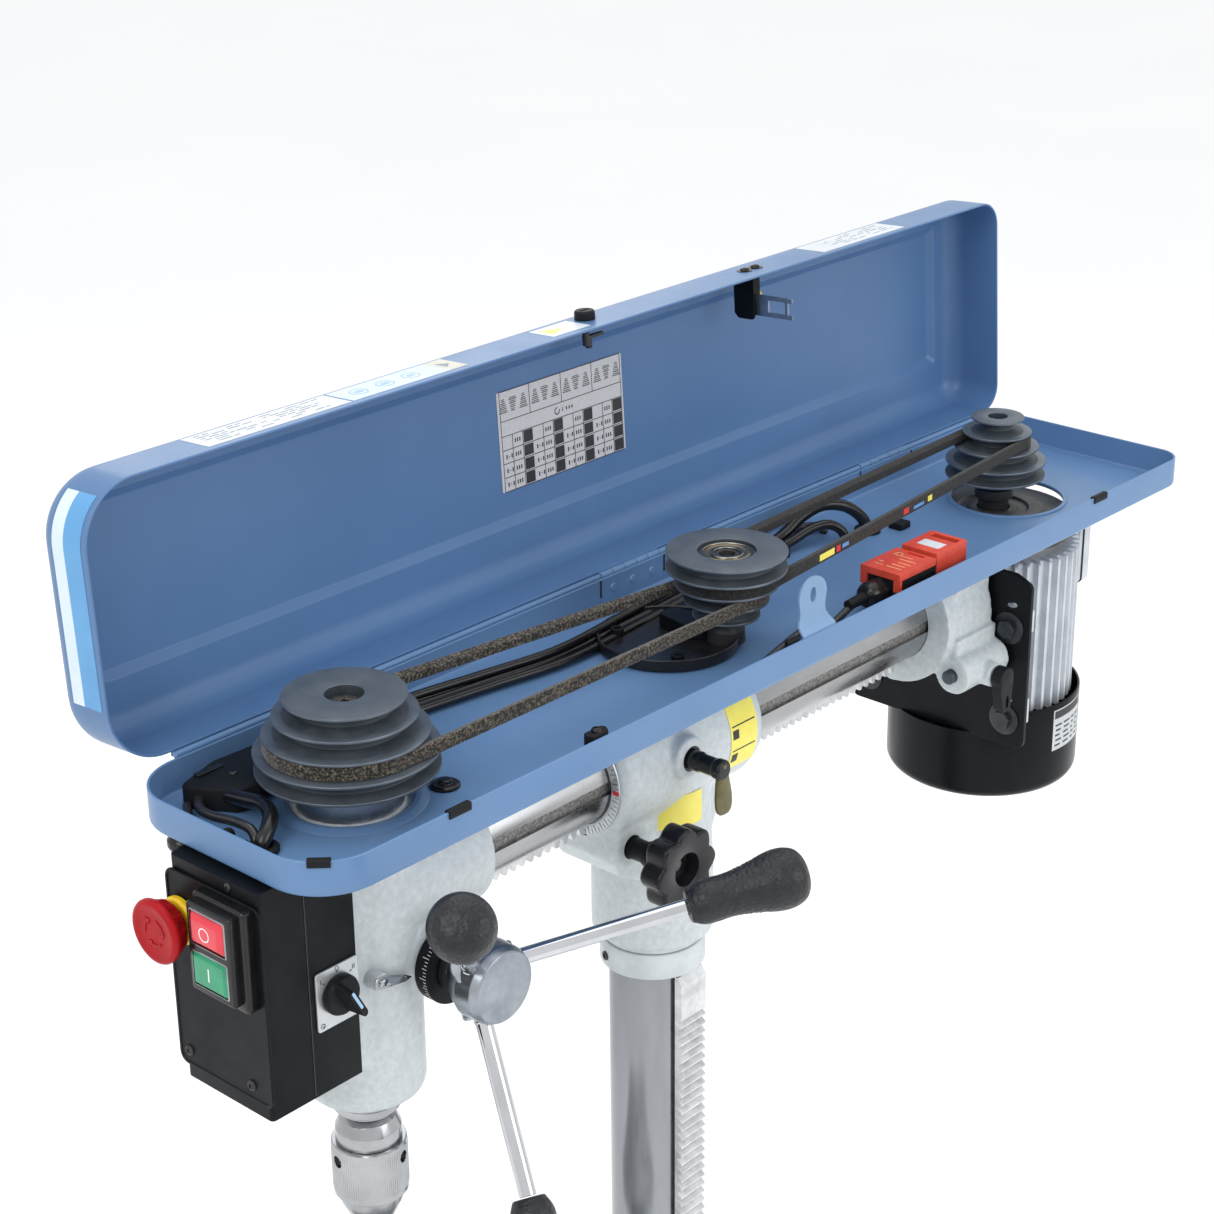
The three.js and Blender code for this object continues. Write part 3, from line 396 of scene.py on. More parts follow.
def add_bevel(ob, width_mm, seg=2, angle=35):
    md = ob.modifiers.new("bevel", "BEVEL")
    md.width = width_mm / 1000.0
    md.segments = seg
    md.limit_method = "ANGLE"
    md.angle_limit = math.radians(angle)
    md.harden_normals = True
    md.use_clamp_overlap = True
    return md


def apply_mods(ob):
    dg = bpy.context.evaluated_depsgraph_get()
    dg.update()
    ev = ob.evaluated_get(dg)
    me = bpy.data.meshes.new_from_object(ev, preserve_all_data_layers=True, depsgraph=dg)
    old = ob.data
    ob.modifiers.clear()
    ob.data = me
    return ob


def join_parts(parts):
    """[(verts, faces), ...] to one verts, faces"""
    V, F, n = [], [], 0
    for v, f in parts:
        v = np.asarray(v, float)
        V.append(v)
        F += [[i + n for i in g] for g in f]
        n += len(v)
    return np.vstack(V), F


def fillet(pts, radii, seg=4, closed=False):
    """round the corners of a 2D polyline"""
    P = [np.array(p, float) for p in pts]
    n = len(P)
    if np.isscalar(radii):
        radii = [radii] * n
    out = []
    for i in range(n):
        if not closed and i in (0, n - 1):
            out.append(P[i]); continue
        a, b, c = P[i - 1], P[i], P[(i + 1) % n]
        r = radii[i]
        u, w = a - b, c - b
        lu, lw = np.linalg.norm(u), np.linalg.norm(w)
        if r <= 0 or lu < 1e-6 or lw < 1e-6:
            out.append(b); continue
        u, w = u / lu, w / lw
        cs = np.clip(np.dot(u, w), -1, 1)
        ang = math.acos(cs)
        if ang > math.pi - 0.02:
            out.append(b); continue
        d = r / math.tan(ang / 2)
        d = min(d, lu * 0.49, lw * 0.49)
        rr = d * math.tan(ang / 2)
        p0, p1 = b + u * d, b + w * d
        bis = (u + w); bis /= np.linalg.norm(bis)
        cen = b + bis * (rr / math.sin(ang / 2))
        a0 = math.atan2(*(p0 - cen)[::-1]); a1 = math.atan2(*(p1 - cen)[::-1])
        da = (a1 - a0 + math.pi) % (2 * math.pi) - math.pi
        for k in range(seg + 1):
            t = a0 + da * k / seg
            out.append(cen + rr * np.array([math.cos(t), math.sin(t)]))
    return [tuple(p) for p in out]


AXES = {"z": (0, 1, 2), "x": (1, 2, 0), "y": (2, 0, 1)}


def lathe(profile, seg=64, axis="z", center=(0, 0, 0), a0=0.0, a1=2 * math.pi):
    """profile [(r, h)...] turned about an axis through center; open ends on the axis are closed"""
    full = abs((a1 - a0) - 2 * math.pi) < 1e-6
    V, F = [], []
    ia, ib, ih = AXES[axis]
    n = seg if full else seg + 1
    rings = []
    for r, h in profile:
        if r < 1e-6:
            p = [0, 0, 0]; p[ih] = h
            rings.append([len(V)]); V.append(p)
        else:
            ring = []
            for k in range(n):
                t = a0 + (a1 - a0) * k / seg
                p = [0, 0, 0]
                p[ia], p[ib], p[ih] = r * math.cos(t), r * math.sin(t), h
                ring.append(len(V)); V.append(p)
            rings.append(ring)
    for A, B in zip(rings[:-1], rings[1:]):
        for k in range(seg):
            k2 = (k + 1) % n if full else k + 1
            if len(A) == 1 and len(B) == 1:
                continue
            if len(A) == 1:
                F.append([A[0], B[k2], B[k]])
            elif len(B) == 1:
                F.append([A[k], A[k2], B[0]])
            else:
                F.append([A[k], A[k2], B[k2], B[k]])
    return np.array(V) + np.array(center, float), F


def closed_lathe(profile, seg=64, axis="z", center=(0, 0, 0)):
    """closed profile (last joins first)"""
    return lathe(list(profile) + [profile[0]], seg, axis, center)


def prism(outline, lo, hi, axis="z", center=(0, 0, 0)):
    """outline in the plane across the axis, order (a, b) for axes: z->(x,y), x->(y,z), y->(z,x)"""
    ia, ib, ih = AXES[axis]
    n = len(outline)
    V = np.zeros((2 * n, 3))
    for i, (a, b) in enumerate(outline):
        V[i, ia], V[i, ib], V[i, ih] = a, b, lo
        V[n + i, ia], V[n + i, ib], V[n + i, ih] = a, b, hi
    F = [list(range(n))[::-1], list(range(n, 2 * n))]
    F += [[i, (i + 1) % n, n + (i + 1) % n, n + i] for i in range(n)]
    return V + np.array(center, float), F


def boxm(x0, x1, y0, y1, z0, z1):
    return prism([(x0, y0), (x1, y0), (x1, y1), (x0, y1)], z0, z1)


def rrect(x0, x1, y0, y1, rf, rr=None, n=10):
    rr = rf if rr is None else rr
    out = []
    for cx, cy, r, a in ((x1 - rf, y0 + rf, rf, -90), (x1 - rr, y1 - rr, rr, 0), (x0 + rr, y1 - rr, rr, 90), (x0 + rf, y0 + rf, rf, 180)):
        for k in range(n + 1):
            t = math.radians(a + 90 * k / n)
            out.append((cx + r * math.cos(t), cy + r * math.sin(t)))
    return out


def loft(rings, cap0=True, cap1=True):
    n = len(rings[0])
    V = np.vstack([np.asarray(r, float) for r in rings])
    F = []
    for k in range(len(rings) - 1):
        for i in range(n):
            j = (i + 1) % n
            F.append([k * n + i, k * n + j, (k + 1) * n + j, (k + 1) * n + i])
    if cap0:
        F.append(list(range(n))[::-1])
    if cap1:
        F.append([(len(rings) - 1) * n + i for i in range(n)])
    return V, F


def rot(v, axis, deg, center=(0, 0, 0)):
    R = np.array(Matrix.Rotation(math.radians(deg), 3, Vector(axis)))
    c = np.array(center, float)
    return (np.asarray(v) - c) @ R.T + c


def sweep(path, section, closed=False, up=(0, 0, 1)):
    """section [(side, up)] along a 3D path"""
    P = [Vector(p) for p in path]
    n = len(P)
    V, F = [], []
    prev = None
    frames = []
    for i in range(n):
        if closed:
            t = (P[(i + 1) % n] - P[i - 1]).normalized()
        else:
            t = (P[min(i + 1, n - 1)] - P[max(i - 1, 0)]).normalized()
        if prev is None:
            u = Vector(up) - t * t.dot(Vector(up))
            if u.length < 1e-3:
                u = Vector((1, 0, 0)) - t * t.x
            u.normalize()
        else:
            q = prev[0].rotation_difference(t)
            u = (q @ prev[1])
            u = (u - t * t.dot(u)).normalized()
        s = t.cross(u)
        prev = (t, u)
        frames.append((s, u))
    for p, (s, u) in zip(P, frames):
        for a, b in section:
            V.append(tuple(p + s * a + u * b))
    k = len(section)
    for i in range(n if closed else n - 1):
        j = (i + 1) % n
        for q in range(k):
            r = (q + 1) % k
            F.append([i * k + q, i * k + r, j * k + r, j * k + q])
    if not closed:
        F.append(list(range(k))[::-1])
        F.append([(n - 1) * k + q for q in range(k)])
    return np.array(V), F


def circle(r, n=16):
    return [(r * math.cos(2 * math.pi * i / n), r * math.sin(2 * math.pi * i / n)) for i in range(n)]


def spline(points, n):
    """smooth centripetal Catmull-Rom through points, n samples"""
    P = [np.array(p, float) for p in points]
    P = [2 * P[0] - P[1]] + P + [2 * P[-1] - P[-2]]
    ts = [0.0]
    for a, b in zip(P[:-1], P[1:]):
        ts.append(ts[-1] + max(np.linalg.norm(b - a), 1e-6) ** 0.5)
    out = []
    for s in np.linspace(ts[1], ts[-2], n):
        i = min(max(np.searchsorted(ts, s, side="right") - 1, 1), len(P) - 3)
        p0, p1, p2, p3 = P[i - 1:i + 3]
        t0, t1, t2, t3 = ts[i - 1:i + 3]
        a1 = (t1 - s) / (t1 - t0) * p0 + (s - t0) / (t1 - t0) * p1
        a2 = (t2 - s) / (t2 - t1) * p1 + (s - t1) / (t2 - t1) * p2
        a3 = (t3 - s) / (t3 - t2) * p2 + (s - t2) / (t3 - t2) * p3
        b1 = (t2 - s) / (t2 - t0) * a1 + (s - t0) / (t2 - t0) * a2
        b2 = (t3 - s) / (t3 - t1) * a2 + (s - t1) / (t3 - t1) * a3
        out.append(tuple((t2 - s) / (t2 - t1) * b1 + (s - t1) / (t2 - t1) * b2))
    return out


def raw(name, parts, row=False):
    """temporary object in world metres from parts in mm"""
    v, f = join_parts(parts) if isinstance(parts, list) else parts
    v = np.asarray(v, float) + (np.zeros(3) if row else np.array([0, HY, HZ]))
    me = bpy.data.meshes.new(name)
    me.from_pydata((v / 1000.0).tolist(), [], [list(map(int, g)) for g in f])
    ob = bpy.data.objects.new(name, me)
    scene.collection.objects.link(ob)
    bm = bmesh.new(); bm.from_mesh(me)
    bmesh.ops.recalc_face_normals(bm, faces=bm.faces)
    bm.to_mesh(me); bm.free()
    return ob


def boolean(ob, cutters, op="DIFFERENCE", solver="EXACT"):
    """cutters: list of (verts, faces) in the head frame mm, or raw objects"""
    for c in cutters:
        co = c if isinstance(c, bpy.types.Object) else raw("cut_tmp", [c])
        md = ob.modifiers.new("b", "BOOLEAN")
        md.operation = op
        md.solver = solver
        md.object = co
        apply_mods(ob)
        bpy.data.objects.remove(co)
    return ob


def remesh(ob, voxel_mm, smooth_iter=6, factor=0.5):
    md = ob.modifiers.new("r", "REMESH")
    md.mode = "VOXEL"
    md.voxel_size = voxel_mm / 1000.0
    md.adaptivity = 0.0
    if smooth_iter:
        sm = ob.modifiers.new("s", "SMOOTH")
        sm.factor = factor
        sm.iterations = smooth_iter
    apply_mods(ob)
    return ob


def finish_obj(ob, name, mat, body, smooth=35, replaces=(), origin=None):
    """a raw object becomes a piece"""
    ob.name = name
    ob.data.name = name
    ob.data.materials.clear()
    ob.data.materials.append(M[mat])
    if origin is not None:
        o = T(origin)
        ob.data.transform(Matrix.Translation(-o))
        ob.location = o
    shade(ob, smooth)
    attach(ob, body)
    if replaces:
        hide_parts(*replaces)
    return ob


# ------------------------------------------------------------------ stage
def make_stage():
    world = bpy.data.worlds.new("world")
    scene.world = world
    world.use_nodes = True
    bg = world.node_tree.nodes["Background"]
    bg.inputs["Color"].default_value = (0.985, 0.992, 1.0, 1)
    bg.inputs["Strength"].default_value = 1.0
    me = bpy.data.meshes.new("floor")
    s = 14.0
    me.from_pydata([(-s, -s, 0), (s, -s, 0), (s, s, 0), (-s, s, 0)], [], [(0, 1, 2, 3)])
    fl = bpy.data.objects.new("floor", me)
    scene.collection.objects.link(fl)
    fl.location = (0, 0, -0.0005)
    fm = new_mat("floor_pale", (0.95, 0.95, 0.95), 0.6)
    tint(fm, (0.94, 0.943, 0.946), (0.957, 0.957, 0.957), 1.5)
    me.materials.append(fm)

    def area(name, loc, target, size, power, color=(1, 1, 1), size_y=None):
        d = bpy.data.lights.new(name, "AREA")
        d.shape = "RECTANGLE"
        d.size, d.size_y = size, size_y or size
        d.energy = power
        d.color = color
        o = bpy.data.objects.new(name, d)
        scene.collection.objects.link(o)
        o.location = loc
        o.rotation_euler = (Vector(target) - Vector(loc)).to_track_quat("-Z", "Y").to_euler()
        return o
    area("key", (0.6, -2.6, 3.2), (0, 0, 0.8), 1.8, 34, (1, 0.99, 0.97))
    area("side", (2.8, 0.6, 1.9), (0, 0, 0.8), 1.6, 22, (0.97, 0.98, 1))
    area("top", (-0.4, 0.4, 3.4), (0, 0, 0.8), 2.2, 16)
    area("back", (-2.4, 1.8, 2.2), (0, 0, 0.9), 1.4, 8, (0.97, 0.98, 1))


make_stage()


# ------------------------------------------------------------------ belt guard
TX, TL, TD = 85.0, 895.0, 22.3
HINGE = np.array([-87.2, 0, 0.6])
OPEN = 93.5


def ring(inset, z, x_in=None, n=14):
    """rounded plan outline of the guard at an inset; x_in: another inset on the hinge side"""
    xi = inset if x_in is None else x_in
    return [(x, y, z) for x, y in rrect(-TX + xi, TX - inset, inset, TL - inset, max(38 - inset, 4), max(20 - inset, 4), n)]


def opened(v):
    """a point modelled with the lid shut, carried to its open rest place"""
    return rot(v, (0, 1, 0), -OPEN, HINGE)


def make_tray():
    t = 1.6
    rings = []
    # outside from the floor's centre outwards and up to the rim, then inside back down
    r = 3.0
    rings.append(ring(8, -TD))
    for k in range(7):
        a = math.radians(-90 + 90 * k / 6)
        rings.append(ring(r - r * math.cos(a), -TD + r + r * math.sin(a)))
    rings.append(ring(0, -0.5))
    rings.append(ring(0.25, -0.1))
    rings.append(ring(0.8, 0.0))
    rings.append(ring(t - 0.25, -0.1))
    rings.append(ring(t, -0.5))
    ri = 1.8
    for k in range(6):
        a = math.radians(0 - 90 * k / 5)
        rings.append(ring(t + ri - ri * math.cos(a), -TD + t + ri + ri * math.sin(a)))
    rings.append(ring(t + 6, -TD + t))
    v, f = loft(rings, True, True)
    ob = raw("belt_guard_tray", [(v, f)])
    cuts = [lathe([(0, -30), (35.2, -30), (35.2, 0), (0, 0)], 96, "z", (0, 98.9, 0)),
            lathe([(0, -30), (42.5, -30), (42.5, 0), (0, 0)], 96, "z", (4, 772, 0))]
    boolean(ob, cuts)
    finish_obj(ob, "belt_guard_tray", "blue", "head", 30, ["belt_tray"])
    # rolled lip round the motor opening
    prof = fillet([(42.2, -22.2), (45.6, -22.2), (45.6, -19.6), (42.2, -19.2)], 0.9, 4, True)
    v, f = closed_lathe(prof, 96, "z", (4, 772, 0))
    obj_from("motor_opening_lip", v, f, "blue", "head", 60, slot="guard_blue")
    # dished collar round the spindle opening
    v, f = closed_lathe(fillet([(35.0, -22.2), (43.0, -22.2), (46.5, -20.7), (45.5, -20.2), (41.5, -18.6), (38.4, -18.6), (36.2, -20.4), (35.0, -20.8)], [.3, .3, .2, 1.2, 1.2, 1.0, .6, .3], 4, True), 96, "z", (0, 98.9, 0))
    obj_from("spindle_opening_lip", v, f, "blue", "head", 60, slot="guard_blue")
    # rolled hinge barrel between the knuckles, with the folded strip that carries it
    parts = [boxm(-87.0, -84.95, 42, 862, -2.5, -0.45)]
    for a, b in ((42, 119.3), (180.7, 409.3), (470.7, 704.3), (765.7, 862)):
        parts.append(lathe(fillet([(0, a), (2.15, a), (2.15, b), (0, b)], 0.2, 2), 28, "y", (HINGE[0], 0, HINGE[2])))
    v, f = join_parts(parts)
    obj_from("tray_hinge_barrel", v, f, "blue", "head", 40, slot="guard_blue")


def make_lid():
    t = 1.5
    H = 49.3
    R = 17.0
    out, inn = [], []
    z0 = 1.2

    def side(off, rad, top):
        """rings up the wall, over the edge radius and on to the panel, for a skin at an inward offset"""
        rr = []
        rr.append((off, z0 + 0.5, None))
        for zz in (12, 24):
            rr.append((off, zz, None))
        for k in range(11):
            a = math.radians(90 * k / 10)
            rr.append((off + rad - rad * math.cos(a), top - rad + rad * math.sin(a), None))
        return rr
    A = side(0.0, R, H)
    B = side(t, R - t, H - t)

    def panel(off):
        # the raised panel stands farther from the hinge side
        pr = []
        for s, e in ((0.0, 0.0), (0.06, 0.01), (0.13, 0.06), (0.2, 0.14), (0.8, 0.86), (0.87, 0.94), (0.94, 0.99), (1.0, 1.0)):
            pr.append((21.5 + 6.5 * s, H - off + 4.3 * e, 34.5 + 6.5 * s))
        return pr
    PA, PB = panel(0.0), panel(t)

    def mk(seq):
        res = []
        for i, z, x in seq:
            res.append(ring(i, z, x))
        return res
    rings = [ring(0.8, z0)] + [ring(0.25, z0 + 0.1)] + mk(A) + mk(PA)
    inner = [ring(t - 0.25, z0 + 0.1)] + mk(B) + mk(PB)
    n = len(rings[0])
    V = np.vstack([np.asarray(q, float) for q in rings + inner])
    F = []

    def band(a, b):
        for i in range(n):
            j = (i + 1) % n
            F.append([a * n + i, a * n + j, b * n + j, b * n + i])
    for k in range(len(rings) - 1):
        band(k, k + 1)
    F.append([(len(rings) - 1) * n + i for i in range(n)])
    o = len(rings)
    for k in range(o, o + len(inner) - 1):
        band(k + 1, k)
    F.append([(o + len(inner) - 1) * n + i for i in range(n)][::-1])
    band(o, 0)
    V = opened(V)
    # the lid takes the darker copy of the guard paint: painted shade
    obj_from("belt_guard_lid", V, F, "blue_lid_painted_shade", "lid", 30, slot="guard_blue", replaces=["belt_lid"])
    # folded strip along the hinge side
    v, f = boxm(-88.6, -84.95, 42, 862, 2.85, 4.0)
    obj_from("lid_hinge_strip", opened(v), f, "blue_lid_painted_shade", "lid", 30, slot="guard_blue")


make_tray()
make_lid()


# ------------------------------------------------------------------ pulleys, bearing, idler post
PT, PP, RT = 47.0, 11.05, 1.4
SP, IDX, IDY, MO = 98.9, 21.9, 414.2, 759.8
SPR = [36.5, 42.6, 48.9, 54.6, 54.2]
IDR = [40.2, 40.2, 34.5, 28.5, 22.5]
MOR = [19.8, 25.9, 31.8, 37.7, 37.5]
VT = 0.325


def groove_z(k):
    return PT - RT / 2 - PP * (k - 0.5)


def pulley_profile(rims, bore, top_bore, hub_r, hub_down, dip=0.0):
    G = 8.2
    p = [(top_bore, PT - dip), ]
    rad = [0.3]
    p[0] = (top_bore, PT)
    for i in range(5):
        z = PT - i * PP
        p += [(rims[i], z), (rims[i], z - RT - 0.2)]
        rad += [0.45, 0.45]
        if i < 4:
            R = min(rims[i], rims[i + 1])
            op = PP - RT - 0.2
            r0 = max(R - G, bore + 3)
            w = op - 2 * (R - r0) * VT
            z0 = z - RT - 0.2
            if rims[i] > R + 0.5:
                p.append((R, z0)); rad.append(0.4)
            p += [(r0, z0 - (op - w) / 2), (r0, z0 - (op + w) / 2)]
            rad += [0.9, 0.9]
            if rims[i + 1] > R + 0.5:
                p.append((R, z0 - op)); rad.append(0.4)
    zb = PT - 4 * PP - RT - 0.2
    p += [(hub_r + 1.0, zb), (hub_r, zb - hub_down), (bore, zb - hub_down), (bore, PT - 9), (top_bore, PT - 7)]
    rad += [1.2, 0.6, 0.3, 0.3, 0.3]
    return fillet(p, rad, 3, True)


def groove_faces(v, f, rims, bore):
    """1 for faces inside a groove or the bore, which take the darker groove metal as painted shade, 2 for the flat top,
    0 for the rims
    """
    out = []
    for q in f:
        c = np.mean(v[list(q)], axis=0)
        r = math.hypot(c[0], c[1])
        k = (PT - c[2]) / PP
        i = int(k)
        d = (k - i) * PP
        m = 0
        if r < bore + 0.2 and c[2] < PT - 0.3:
            m = 1
        elif c[2] > PT - 0.35:
            m = 2
        elif k > 4.15:
            m = 1
        elif i < 4 and RT + 0.25 < d < PP - 0.05:
            m = 1 if r < min(rims[i], rims[i + 1]) - 0.35 else 0
        out.append(m)
    return out


def make_pulleys():
    # each pulley takes the darker groove metal in its grooves, bore and underside: painted shade
    v, f = closed_lathe(pulley_profile(SPR, 9.2, 11.6, 13.5, 14.0), 128)
    a = obj_from("spindle_stepped_pulley", v + np.array([0, SP, 0]), f, "pulley", "spindle_pulley", 32, origin=(0, SP, 0), slot="pulley_grey", replaces=["spindle_pulley"], mats=["pulley", "groove", "pulleytop"], face_mats=groove_faces(v, f, SPR, 9.2))
    v, f = closed_lathe(pulley_profile(IDR, 17.0, 19.3, 20.0, -1.2), 128)
    obj_from("idler_stepped_pulley", v + np.array([IDX, IDY, 0]), f, "pulley", "idler_pulley", 32, origin=(IDX, IDY, 0), slot="pulley_grey", replaces=["idler_pulley"], mats=["pulley", "groove", "pulleytop"], face_mats=groove_faces(v, f, IDR, 17.0))
    v, f = closed_lathe(pulley_profile(MOR, 7.4, 7.4, 12.0, 10.0), 112)
    obj_from("motor_stepped_pulley", v + np.array([0, MO, 0]), f, "pulley", "motor_pulley", 32, origin=(0, MO, 0), slot="pulley_grey", replaces=["motor_pulley"], mats=["pulley", "groove", "pulleytop"], face_mats=groove_faces(v, f, MOR, 7.4))
    # set screw in the motor pulley's hub
    v, f = lathe(fillet([(0, 12.6), (2.6, 12.6), (2.6, 11.0), (0, 11.0)], 0.3, 2), 24, "x")
    v = rot(v, (0, 0, 1), -62)
    obj_from("motor_pulley_set_screw", v + np.array([0, MO, -4.6]), f, "steel", "motor_pulley", 40, slot="ground_steel")
    # ball bearing: outer ring, dust shield, inner ring
    c = (IDX, IDY, 0)
    zt = 45.6
    parts = [closed_lathe(fillet([(15.8, 40.8), (18.9, 40.8), (18.9, zt), (15.8, zt)], 0.5, 3, True), 96, "z", c),
             closed_lathe(fillet([(12.0, 34.4), (16.5, 34.4), (16.5, 40.9), (12.0, 40.9)], 0.3, 3, True), 96, "z", c),
             closed_lathe(fillet([(8.2, 34.4), (11.3, 34.4), (11.3, zt - 0.1), (8.2, zt - 0.1)], 0.5, 3, True), 96, "z", c)]
    v, f = join_parts(parts)
    obj_from("idler_bearing_rings", v, f, "bearing", "head", 40, origin=(IDX, IDY, 40), slot="ground_steel", replaces=["idler_bearing"])
    v, f = closed_lathe(fillet([(11.4, zt - 2.2), (15.7, zt - 2.2), (15.7, zt - 1.0), (14.3, zt - 0.5), (12.8, zt - 0.9), (11.4, zt - 0.9)], 0.2, 2, True), 96, "z", c)
    obj_from("idler_bearing_shield", v, f, "brassy", "head", 40, origin=(IDX, IDY, 40), slot="ground_steel")
    # post: hollow top
    v, f = lathe(fillet([(0, -16), (13, -17), (12.4, -8), (9.4, -2), (7.9, 1), (7.9, zt - 1.2), (5.6, zt - 1.2), (5.6, zt - 5), (0, zt - 5)], [0, .4, 2, 1, .4, .4, .3, .3, 0], 3), 64, "z", c)
    obj_from("idler_post", v, f, "ink", "head", 40, origin=(IDX, IDY, 0), slot="black_metal")


def make_spindle_top():
    # splined spindle end inside the pulley's sleeve
    n = 6
    out = []
    for k in range(n * 12):
        a = 2 * math.pi * k / (n * 12)
        s = (k % 12) / 12.0
        r = 7.2 if s < 0.5 else 6.1
        out.append((r * math.cos(a), r * math.sin(a)))
    v1, f1 = prism(out, -243.6, 41.6, "z", (0, SP, 0))
    cv, cf = lathe([(0, 30), (3.0, 30), (3.0, 43), (0, 43)], 24, "z", (0, SP, 0))
    ob = raw("spindle_splined_shaft", [(v1, f1)])
    boolean(ob, [(cv, cf)])
    finish_obj(ob, "spindle_splined_shaft", "steel_warm", "spindle", 25, [], origin=(0, SP, -100))
    prof = fillet([(7.6, -243.8), (8.4, -243.8), (8.4, -228.8), (8.5, -228.8), (8.5, 20), (7.6, 20)], 0.2, 2, True)
    v, f = closed_lathe(prof, 64, "z", (0, SP, 0))
    obj_from("spindle_sleeve", v, f, "steel", "spindle", 35, origin=(0, SP, -100), slot="ground_steel", replaces=["spindle"])
    prof = fillet([(8.6, -231), (17.6, -231), (18, -230.4), (18, -228.9), (8.6, -228.9)], 0.3, 2, True)
    v, f = closed_lathe(prof, 64, "z", (0, SP, 0))
    obj_from("spindle_nose_collar", v, f, "steel", "spindle", 35, origin=(0, SP, -100), slot="ground_steel")
    # drive sleeve seen in the pulley's bore, drawn near black: painted shade in the bore
    prof = fillet([(7.7, 36.5), (9.1, 36.5), (9.1, 41.0), (7.7, 41.0)], 0.4, 2, True)
    v, f = closed_lathe(prof, 64, "z", (0, SP, 0))
    obj_from("spindle_drive_sleeve", v, f, "ink", "spindle_pulley", 35, origin=(0, SP, 0), slot="ground_steel")


def belt_path(a, ra, b, rb, n_arc=48, n_st=60):
    dx, dy = b[0] - a[0], b[1] - a[1]
    d = math.hypot(dx, dy)
    base = math.atan2(dy, dx)
    off = math.acos((ra - rb) / d)
    pts = []
    for i in range(n_arc + 1):
        t = base + off + (2 * math.pi - 2 * off) * i / n_arc
        pts.append((a[0] + ra * math.cos(t), a[1] + ra * math.sin(t), math.cos(t), math.sin(t)))
    p, q = pts[-1], None
    t = base - off
    e = (b[0] + rb * math.cos(t), b[1] + rb * math.sin(t), math.cos(t), math.sin(t))
    for i in range(1, n_st):
        s = i / n_st
        pts.append((p[0] + (e[0] - p[0]) * s, p[1] + (e[1] - p[1]) * s, e[2], e[3]))
    for i in range(n_arc + 1):
        t = base - off + 2 * off * i / n_arc
        pts.append((b[0] + rb * math.cos(t), b[1] + rb * math.sin(t), math.cos(t), math.sin(t)))
    p = pts[-1]
    e = pts[0]
    for i in range(1, n_st):
        s = i / n_st
        pts.append((p[0] + (e[0] - p[0]) * s, p[1] + (e[1] - p[1]) * s, e[2], e[3]))
    return pts


def make_belt(name, a, ra, b, rb, z, mat, seed):
    path = belt_path(a, ra, b, rb)
    w, d = 9.1, 5.9
    wi = w - 2 * d * VT
    sec = fillet([(0, w / 2), (0, -w / 2), (-d, -wi / 2), (-d, wi / 2)], [0.7, 0.7, 0.5, 0.5], 3, True)
    # crown the outer face a little
    sec = [(s[0] + (0.12 if s[0] > -0.3 and abs(s[1]) < w / 2 - 1 else 0), s[1]) for s in sec]
    rnd = random.Random(seed)
    V, F = [], []
    n = len(path)
    for i, (x, y, cx, sy) in enumerate(path):
        jit = 0.05 * math.sin(i * 0.7 + seed) + rnd.uniform(-0.03, 0.03)
        for s, h in sec:
            V.append((x + cx * (s + jit), y + sy * (s + jit), z + h))
    k = len(sec)
    for i in range(n):
        j = (i + 1) % n
        for q in range(k):
            r = (q + 1) % k
            F.append([i * k + q, i * k + r, j * k + r, j * k + q])
    return np.array(V), F


def make_belts():
    def rg(r, n):
        return min(r[n - 1], r[n]) - 0.2
    v, f = make_belt("front", (0, SP), rg(SPR, 3), (IDX, IDY), rg(IDR, 3), groove_z(3), "belt", 3)
    obj_from("v_belt_front", v, f, "belt", "head", 50, slot="belt_rubber", replaces=["belt_front"])
    v, f = make_belt("rear", (IDX, IDY), rg(IDR, 2), (0, MO), rg(MOR, 2), groove_z(2), "belt2", 5)
    # the rear belt is taken out of the bodies and baked in place
    ob = obj_from("v_belt_rear", v, f, "belt2", "head", 50, slot="belt_rubber", replaces=["belt_rear"])
    ob.parent = None
    del ob["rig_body"]
    ob.matrix_world = Matrix.Translation(Vector((0, HY / 1000, HZ / 1000)))
    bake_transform(ob)


def make_belt_bars():
    # small plain coloured bars printed on the rear belt's outer face
    path = belt_path((IDX, IDY), min(IDR[1], IDR[2]) - 0.2, (0, MO), min(MOR[1], MOR[2]) - 0.2)
    runs = [path[48:109], path[156:217]]
    run = max(runs, key=lambda q: sum(p[2] for p in q[5:40]))
    zc = groove_z(2)
    if run[0][1] > run[-1][1]:
        run = run[::-1]
    a, b = np.array(run[2][:2]), np.array(run[50][:2])
    nrm = np.array(run[30][2:])
    for i, (s0, s1, h0, h1, mat, slot) in enumerate([
            (0.17, 0.235, -2.2, 2.2, "labelyellow", "yellow_plastic"), (0.245, 0.262, -2.2, 2.2, "markred", "red_plastic"),
            (0.272, 0.300, -1.4, 1.4, "labelblue", "guard_blue"), (0.56, 0.585, -2.0, 2.0, "markred", "red_plastic"),
            (0.61, 0.66, -2.0, 0.2, "labelblue", "guard_blue"), (0.68, 0.70, -2.0, 2.0, "labelyellow", "yellow_plastic")]):
        p0, p1 = a + (b - a) * s0 + nrm * 0.1, a + (b - a) * s1 + nrm * 0.1
        q0, q1 = p0 + nrm * 0.28, p1 + nrm * 0.28
        o = [tuple(p0), tuple(p1), tuple(q1), tuple(q0)]
        v, f = prism(o, zc + h0, zc + h1, "z")
        ob = obj_from(f"belt_bar_{i+1}", v, f, mat, "head", 35, slot=slot)
        ob.parent = None
        del ob["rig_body"]
        ob.matrix_world = Matrix.Translation(Vector((0, HY / 1000, HZ / 1000)))
        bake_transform(ob)


